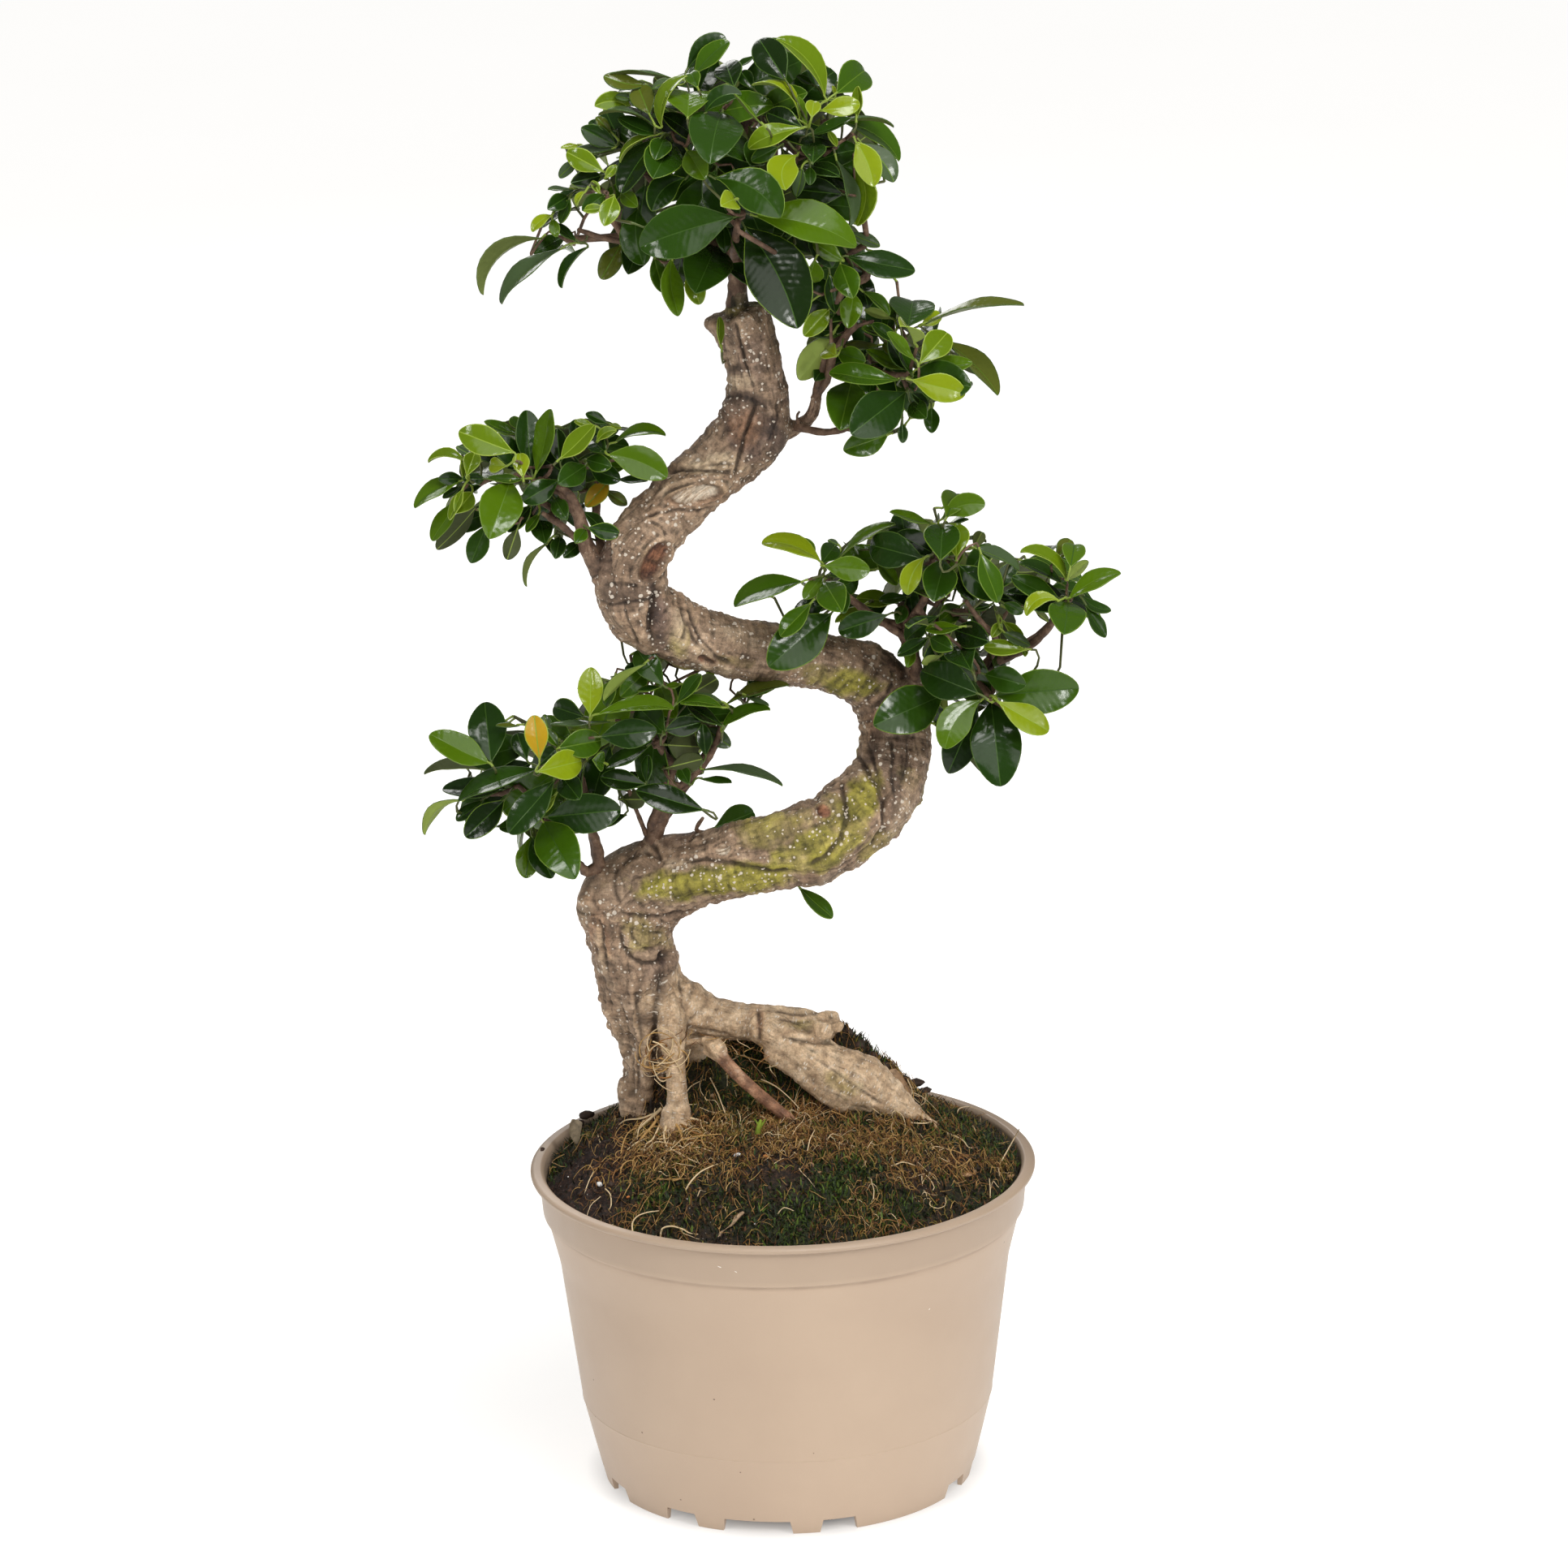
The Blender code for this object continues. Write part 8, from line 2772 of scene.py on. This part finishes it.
def add_rootlets():
    mats = []
    for k, c in enumerate(FIBRE_TONES):
        s = Shader(f"fibre_{k}", c, 0.75)
        s.rough(s.noise(s.place("Object"), 300.0), 0.5, 0.85)
        mats.append(s.mat)
    soup = Soup()
    rng = np.random.default_rng(3)
    pick = rng.choice(6, 9000, p=(0.20, 0.30, 0.21, 0.04, 0.11, 0.14))
    pale = rng.choice(6, 900, p=(0.32, 0.26, 0.12, 0.22, 0.02, 0.06))
    add_fibres(soup, fibre_paths(4800, 21, 0), lambda i: int(pick[i]))
    add_fibres(soup, fibre_paths(260, 22, 1), lambda i: int(pale[i]))
    add_fibres(soup, fibre_paths(150, 23, 2), lambda i: int(pale[i + 400]), 4)
    for r, tone, rows in STRANDS:
        pts = np.array([soil_point(x, y, h) for x, y, h in rows])
        n = (len(pts) - 1) * 4 + 1
        t = np.linspace(0, len(pts) - 1, n)
        path = np.array([catmull(pts.tolist(), min(int(u), len(pts) - 2), u - min(int(u), len(pts) - 2)) for u in t])
        tube(soup, path, r * MM * (1.0 - 0.45 * np.linspace(0, 1, n)), 6, tone)
    # a tangle of hair roots wound round the top of the front root
    for k in range(26):
        cx, cy = 816 + rng.normal(0, 4), 1306 + rng.normal(0, 9)
        rx, ry = rng.uniform(10, 27), rng.uniform(10, 26)
        a0, span = rng.uniform(0, 2 * math.pi), rng.uniform(1.6, 5.2)
        tilt, push = rng.uniform(-0.6, 0.6), rng.uniform(-15, -10)
        rows = []
        for q in np.linspace(0, 1, 16):
            a = a0 + span * q
            wob = 1 + 0.12 * math.sin(a * 2.3 + k)
            x = cx + rx * wob * math.cos(a)
            y = cy + ry * wob * math.sin(a) + tilt * (x - cx)
            rows.append(np.array(at(x, y, push + 6 * abs(math.cos(a)) + 1.2 * math.sin(a * 3 + k))))
        tube(soup, np.array(rows), rng.uniform(0.00020, 0.00046) * np.linspace(1, 0.5, 16), 4, int((3, 0, 3, 0, 1)[k % 5]))
    for k in range(34):       # and hairs that hang from the arch and the knots
        x, y = rng.uniform(835, 960), 0
        y = np.interp(x, (835, 870, 900, 930, 960), (1262, 1284, 1284, 1290, 1308)) + rng.uniform(-8, 6)
        depth = rng.uniform(-2, 4)
        dx, dy = rng.uniform(-14, 16), rng.uniform(4, 22)
        rows = [np.array(at(x + dx * q + 4 * math.sin(q * 4 + k), y + dy * q, depth - 7 * math.sin(q * 2.6))) for q in np.linspace(0, 1, 8)]
        tube(soup, np.array(rows), rng.uniform(0.00012, 0.00028) * np.linspace(1, 0.5, 8), 4, int((3, 0, 1, 2)[k % 4]))
    ob = soup.build("rootlets", mats)
    carry(ob, "peat")


def lump(soup, centre, half, mat, seed, rough=0.25, subdiv=2):
    """A small knobbly grain."""
    bm = bmesh.new()
    bmesh.ops.create_icosphere(bm, subdivisions=subdiv, radius=1.0)
    co = np.array([v.co[:] for v in bm.verts])
    faces = [[v.index for v in f.verts] for f in bm.faces]
    bm.free()
    f = 1 + rough * fbm(co * 1.7 + seed * 3.1, 3, seed)
    co = co * f[:, None] * np.array(half) * MM
    a = seed * 1.7
    turn = np.array([[math.cos(a), -math.sin(a), 0], [math.sin(a), math.cos(a), 0], [0, 0, 1]])
    soup.add(co @ turn.T + np.array(centre), faces, mat)


def curled_sheet(soup, pts, widths, curl, mat, side):
    """A dry leaf or bark chip: a strip along pts, rolled across by curl radians."""
    pts = np.array(pts, float)
    n = len(pts)
    tang, _, _ = frame_along(pts)
    verts, faces = [], []
    across = 7
    for i in range(n):
        s = np.array(side, float)
        s = s - tang[i] * (s @ tang[i])
        s /= np.linalg.norm(s)
        up = np.cross(s, tang[i])
        for k in range(across):
            u = (k / (across - 1) - 0.5) * 2
            a = u * curl * 0.5
            w = widths[i] * MM
            verts.append(pts[i] + s * (math.sin(a) / max(curl * 0.5, 0.05)) * w + up * ((1 - math.cos(a)) / max(curl * 0.5, 0.05)) * w)
    for i in range(n - 1):
        for k in range(across - 1):
            q = i * across + k
            faces.append((q, q + 1, q + across + 1, q + across))
    verts = np.array(verts)
    soup.add(verts, faces, mat)
    # the under side, a hair's breadth away
    soup.add(verts - np.array([0, 0, 0.00012]), [f[::-1] for f in faces], mat)


LITTER_TONES = {"perlite": (0.86, 0.85, 0.82), "chip": (0.40, 0.235, 0.115), "dry_leaf": (0.400, 0.270, 0.165), "orange_crumb": (0.520, 0.170, 0.040), "clod": (0.040, 0.020, 0.011),
                "sprout": (0.200, 0.280, 0.020), "dead_leaf": (0.270, 0.215, 0.140)}
# small things on the soil: px, py, half sizes mm, what
BITS = (
    (739, 1459, (1.9, 1.2, 1.1), "perlite"), (909, 1423, (1.8, 1.1, 1.0), "perlite"), (847, 1477, (0.6, 0.5, 0.5), "perlite"), (930, 1508, (0.5, 0.4, 0.4), "perlite"),
    (878, 1350, (1.4, 1.1, 1.0), "dry_leaf"), (862, 1465, (0.8, 0.7, 0.7), "chip"), (944, 1425, (1.6, 1.1, 0.9), "orange_crumb"), (1155, 1479, (1.7, 0.8, 0.8), "orange_crumb"),
    (1108, 1504, (1.0, 0.7, 0.6), "orange_crumb"), (1068, 1504, (1.1, 0.6, 0.6), "orange_crumb"), (1190, 1448, (2.8, 1.3, 1.0), "chip"), (1201, 1443, (2.0, 0.7, 0.7), "chip"),
    (1245, 1449, (1.6, 0.9, 0.8), "chip"), (998, 1436, (1.6, 2.2, 1.3), "chip"), (1018, 1454, (2.6, 0.8, 0.6), "dry_leaf"), (1008, 1444, (2.2, 0.8, 0.7), "chip"),
    (774, 1475, (1.0, 0.7, 0.6), "orange_crumb"), (804, 1397, (0.8, 0.7, 0.6), "dry_leaf"), (790, 1407, (0.7, 0.6, 0.6), "dry_leaf"), (1035, 1398, (1.6, 1.1, 0.9), "dry_leaf"),
    (668, 1416, (1.2, 1.0, 0.9), "clod"), (722, 1374, (3.4, 2.6, 1.9), "clod"), (716, 1384, (2.2, 1.8, 1.4), "clod"), (1128, 1334, (4.4, 2.4, 1.6), "clod"), (1116, 1330, (2.4, 1.8, 1.4), "clod"),
    (1140, 1343, (3.0, 2.0, 1.4), "clod"), (1046, 1272, (2.4, 2.0, 2.2), "clod"), (1060, 1288, (2.6, 2.0, 2.0), "clod"), (1074, 1300, (2.2, 2.0, 1.8), "clod"), (1090, 1313, (2.2, 1.8, 1.8), "clod"),
    (888, 1458, (0.7, 0.5, 0.5), "perlite"), (700, 1450, (0.4, 0.35, 0.35), "perlite"), (722, 1498, (0.4, 0.35, 0.35), "perlite"), (1004, 1497, (0.5, 0.4, 0.4), "chip"),
)


def add_litter():
    names = list(LITTER_TONES)
    mats = []
    for k in names:
        s = Shader("litter_" + k, LITTER_TONES[k], 0.8)
        obj = s.place("Object")
        tint = s.noise(obj, 420.0, 4.0)
        c = LITTER_TONES[k]
        s.colour(s.ramp(tint, ((0.3, tuple(v * 0.55 for v in c)), (0.5, c), (0.7, tuple(min(v * 1.35, 0.95) for v in c)))))
        s.rough(tint, 0.5, 0.9)
        s.bump(tint, 0.6, 0.001)
        mats.append(s.mat)
    soup = Soup()
    for k, (px, py, half, what) in enumerate(BITS):
        p = soil_point(px, py, 0.3)
        lump(soup, p, half, names.index(what), k + 3, 0.55 if what in ("clod", "chip") else 0.3)
    rng = np.random.default_rng(77)
    x, y = place_on_soil(rng, 900, 0.1000)
    keep = rng.random(900) < bare_patch(x, y) * 0.9 + 0.05
    x, y = x[keep], y[keep]
    z = soil_level(x, y)
    for k in range(len(x)):
        h = rng.uniform(0.5, 1.7)
        lump(soup, (x[k], y[k], z[k] + 0.0003), (h, h * rng.uniform(0.6, 1), h * rng.uniform(0.5, 0.9)), names.index("clod"), k + 50, 0.6, 1)
    # dark clods in the channel behind two of the openings in the skirt, which make those openings look dark
    for x0, x1, y in ((824, 858, 1862), (1006, 1042, 1871)):
        for x in np.arange(x0, x1 + 1, 4.0):
            w = wall_point(x, y)
            for row in range(2):
                r = (BASE_R + DISC_R) / 2 + 0.0008
                h = rng.uniform(1.5, 2.1)
                a = math.atan2(w[1], w[0])
                lump(soup, (r * math.cos(a), r * math.sin(a), 0.0024 + 0.0030 * row), (h, h * 0.8, h), names.index("clod"), int(x) + row * 7, 0.5, 1)
    # dry leaf in front, in two folds
    p = [soil_point(x, y, h) for x, y, h in ((886, 1527, 0.5), (889, 1519, 1.5), (896, 1514, 1.0), (903, 1510, 1.5), (909, 1502, 3.0), (914, 1497, 4.0), (917, 1494, 4.5))]
    curled_sheet(soup, p, (0.8, 1.3, 0.9, 1.6, 2.4, 2.1, 0.9), 1.5, names.index("dry_leaf"), (0.8, -0.5, 0.6))
    # dead leaf standing at the left wall
    base = soil_point(712, 1410, 0)
    tip = [base + np.array(at(x, y, base[1] * 1000)) - np.array(at(712, 1410, base[1] * 1000)) for x, y in ((711, 1409), (710, 1402), (709, 1394), (710, 1386), (712, 1380))]
    curled_sheet(soup, tip, (0.6, 2.2, 3.2, 3.4, 3.0), 2.2, names.index("dead_leaf"), (1.0, -0.15, 0.1))
    # bark chip at the back and a green sprout
    base = soil_point(1118, 1350, 0)
    chip = [base + np.array(at(x, y, base[1] * 1000)) - np.array(at(1118, 1350, base[1] * 1000)) for x, y in ((1122, 1352), (1116, 1342), (1108, 1332), (1101, 1322), (1100, 1317))]
    curled_sheet(soup, chip, (1.0, 2.0, 2.4, 2.6, 1.4), 1.2, names.index("dry_leaf"), (0.8, 0.0, 0.6))
    base = soil_point(935, 1402, 0)
    sprout = [base + np.array(at(x, y, base[1] * 1000)) - np.array(at(935, 1402, base[1] * 1000)) for x, y in ((932, 1403), (934, 1394), (936, 1386), (937, 1380))]
    tube(soup, np.array(sprout), np.array((1.3, 1.3, 1.1, 0.6)) * MM, 8, names.index("sprout"))
    for dx in (-9, 8):
        leaf = [base + np.array(at(x, y, base[1] * 1000)) - np.array(at(935, 1402, base[1] * 1000)) for x, y in ((936, 1392), (937 + dx * 0.4, 1384), (937 + dx * 0.8, 1379))]
        tube(soup, np.array(leaf), np.array((0.5, 0.45, 0.2)) * MM, 6, names.index("sprout"))
    ob = soup.build("litter", mats)
    carry(ob, "peat")


# ================================================================ stage and light
def make_stage():
    s = Shader("floor", (0.50, 0.50, 0.49), 0.95)
    obj = s.place("Object")
    s.colour(s.ramp(s.noise(obj, 3.0, 3.0), ((0.3, (0.495, 0.49, 0.48)), (0.7, (0.51, 0.505, 0.50)))))
    s.bsdf.inputs["Specular IOR Level"].default_value = 0.1
    s.bsdf.inputs["Emission Color"].default_value = (1.0, 0.995, 0.985, 1.0)
    flat = s.scaled(obj, (1.0, 1.0, 0.0))
    length = s.node("ShaderNodeVectorMath", operation="LENGTH")
    s.link(flat, length.inputs[0])
    # the floor glows evenly, but its glow is cut down under and round the pot as a painted shadow
    glow_with_shadow = s.ramp(length.outputs["Value"], ((0.062, 0.02), (0.090, 0.75)))
    s.link(glow_with_shadow, s.bsdf.inputs["Emission Strength"])
    me = bpy.data.meshes.new("floor")
    me.from_pydata([(-9, -9, 0), (9, -9, 0), (9, 9, 0), (-9, 9, 0)], [], [(0, 1, 2, 3)])
    me.materials.append(s.mat)
    ob = bpy.data.objects.new("floor", me)
    bpy.context.scene.collection.objects.link(ob)
    ob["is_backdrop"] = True
    world = bpy.data.worlds.new("studio")
    world.use_nodes = True
    bg = world.node_tree.nodes["Background"]
    bg.inputs["Color"].default_value = (1.0, 0.985, 0.965, 1.0)
    bg.inputs["Strength"].default_value = 0.16
    bpy.context.scene.world = world

    def lamp(kind, name, place, aim, power, colour=(1, 1, 1), **kw):
        data = bpy.data.lights.new(name, kind)
        data.energy = power
        data.color = colour
        for k, v in kw.items():
            setattr(data, k, v)
        ob = bpy.data.objects.new(name, data)
        ob.location = place
        ob.rotation_mode = "QUATERNION"
        ob.rotation_quaternion = (Vector(aim) - Vector(place)).to_track_quat("-Z", "Y")
        bpy.context.scene.collection.objects.link(ob)

    mid = (0, 0, 0.33)
    lamp("SUN", "sky_panel", (0.9, -1.7, 2.3), mid, 1.15, (1.0, 0.985, 0.96), angle=math.radians(50))
    lamp("AREA", "softbox_right", (1.35, -1.75, 1.55), mid, 17, (1.0, 0.99, 0.975), shape="RECTANGLE", size=0.34, size_y=0.52)
    lamp("AREA", "softbox_left", (-1.45, -1.55, 1.35), mid, 10, (1.0, 0.985, 0.96), shape="RECTANGLE", size=0.30, size_y=0.48)
    lamp("AREA", "softbox_top", (0.1, -0.25, 2.05), mid, 14, (1.0, 0.99, 0.98), shape="RECTANGLE", size=0.62, size_y=0.42)
    lamp("AREA", "softbox_back", (-0.5, 1.9, 1.3), mid, 9, (1.0, 0.99, 0.98), shape="RECTANGLE", size=0.9, size_y=0.9)
    view = bpy.context.scene.view_settings
    view.view_transform = "Standard"
    view.look = "None"


# ================================================================ build
def build_leaves(leaves, name, nodes, materials):
    soup, uvs = Soup(), []
    for i, leaf in enumerate(leaves):
        add_leaf(soup, leaf, i, uvs)
    ob = soup.build(name, materials)
    me = ob.data
    uv = np.concatenate(uvs)
    layer = me.uv_layers.new(name="Blade")
    loops = np.empty(len(me.loops), np.int64)
    me.loops.foreach_get("vertex_index", loops)
    layer.data.foreach_set("uv", uv[loops].astype(np.float32).ravel())
    carry(ob, "leaf", *nodes)
    return ob


def main():
    make_camera()
    make_stage()

    # pot
    pot = make_pot(pot_material())
    carry(pot, "pot_plastic", "pot")
    add_scuffs()

    # soil
    soil = make_soil(soil_material())
    carry(soil, "peat", "soil")
    moss_mats = []
    for k, c in enumerate(MOSS_TONES):
        s = Shader(f"moss_{k}", c, 0.8)
        obj = s.place("Object")
        s.rough(s.noise(obj, 400.0), 0.55, 0.90)
        moss_mats.append(s.mat)
    soup = Soup()
    verts, quads, tris, shade = moss_blades(36000)
    soup.add(verts, quads, shade)
    soup.f.append(tris)
    soup.m.append(shade)
    moss = build_mixed(soup, "moss", moss_mats)
    carry(moss, "peat")
    add_rootlets()
    add_litter()

    # bark
    voxel = 0.0008
    me, co, nrm = bark_pieces(voxel)
    groups = (co[:, 2] > 0.335).astype(int)
    trunk = split_mesh(me, nrm, groups, bark_material(), ("bark_lower", "bark_upper"))
    lower = ["trunk_base", "trunk_lower_bend", "trunk_lower_sweep", "trunk_right_bend", *ROOTS, "bough_left_low", "bough_left_low_left"]
    upper = ["trunk_middle_sweep", "trunk_left_bend", "trunk_upper", *[b for b in BOUGHS if not b.startswith("bough_left_low")], "bough_left_low_right"]
    carry(trunk[0], "bark", *lower)
    carry(trunk[1], "bark", *upper)

    # leaves and the twigs that carry them
    traced, behind, extra, shoots, cover, seen = all_leaves()
    g, petioles, dropped = grow_limbs(traced + behind, shoots, cover, seen)
    extra = [leaf for leaf in extra if id(leaf) not in dropped]
    twigs, stems = twig_mesh(g, petioles)
    s = Shader("twig", (0.16, 0.10, 0.06), 0.7)
    obj = s.place("Object")
    mid = s.noise(obj, 260.0, 5.0, 0.65)
    col = s.ramp(mid, ((0.30, (0.050, 0.026, 0.015)), (0.52, (0.130, 0.072, 0.042)), (0.74, (0.270, 0.175, 0.112))))
    s.colour(col)
    s.rough(mid, 0.55, 0.85)
    s.bump(s.noise(obj, 1100.0, 4.0), 0.5, 0.0008)
    young = Shader("young_twig", (0.075, 0.085, 0.020), 0.6)
    young.rough(young.noise(young.place("Object"), 300.0), 0.4, 0.6)
    tw = twigs.build("twigs", [s.mat, young.mat])
    carry(tw, "twig")
    stem_mats = []
    for k, c in enumerate(((0.085, 0.120, 0.020), (0.220, 0.300, 0.035))):
        m = Shader(f"petiole_{k}", c, 0.45)
        m.rough(m.noise(m.place("Object"), 300.0), 0.35, 0.55)
        stem_mats.append(m.mat)
    st = stems.build("petioles", stem_mats)
    carry(st, "leaf")
    mats = [leaf_material(n, c, 0.14, 0.27, 0.22) for n, c in TONES.items()]
    mats += [leaf_material(n, c, 0.42, 0.58, 0.0) for n, c in UNDER.items()]
    mats += [leaf_material(n, c, 0.30, 0.45, 0.1, 0.1) for n, c in EDGES.items()]
    every = traced + behind + extra
    sets = {"leaves_crown": ("crown",), "leaves_upper": ("right_upper", "left_upper"), "leaves_middle": ("right_mid",), "leaves_low": ("left_low",)}
    for name, regions in sets.items():
        part = [l for l in every if l.region in regions]
        build_leaves(part, name, [m for m in MASSES if region_of(m) in regions], mats)
    print("leaves", len(traced), len(behind), len(extra), "shoots", len(shoots), "nodes", len(g.pos))
    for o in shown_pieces():
        if o.type == "MESH":
            print(o.name, sum(len(p.vertices) - 2 for p in o.data.polygons), "triangles")


def build_mixed(soup, name, materials):
    me = bpy.data.meshes.new(name)
    faces = [f for block in soup.f for f in block.tolist()]
    me.from_pydata(np.concatenate(soup.v).tolist(), [], faces)
    for m in materials:
        me.materials.append(m)
    me.polygons.foreach_set("material_index", np.concatenate(soup.m).astype(np.int32))
    me.shade_smooth()
    me.update()
    ob = bpy.data.objects.new(name, me)
    bpy.context.scene.collection.objects.link(ob)
    return ob


main()
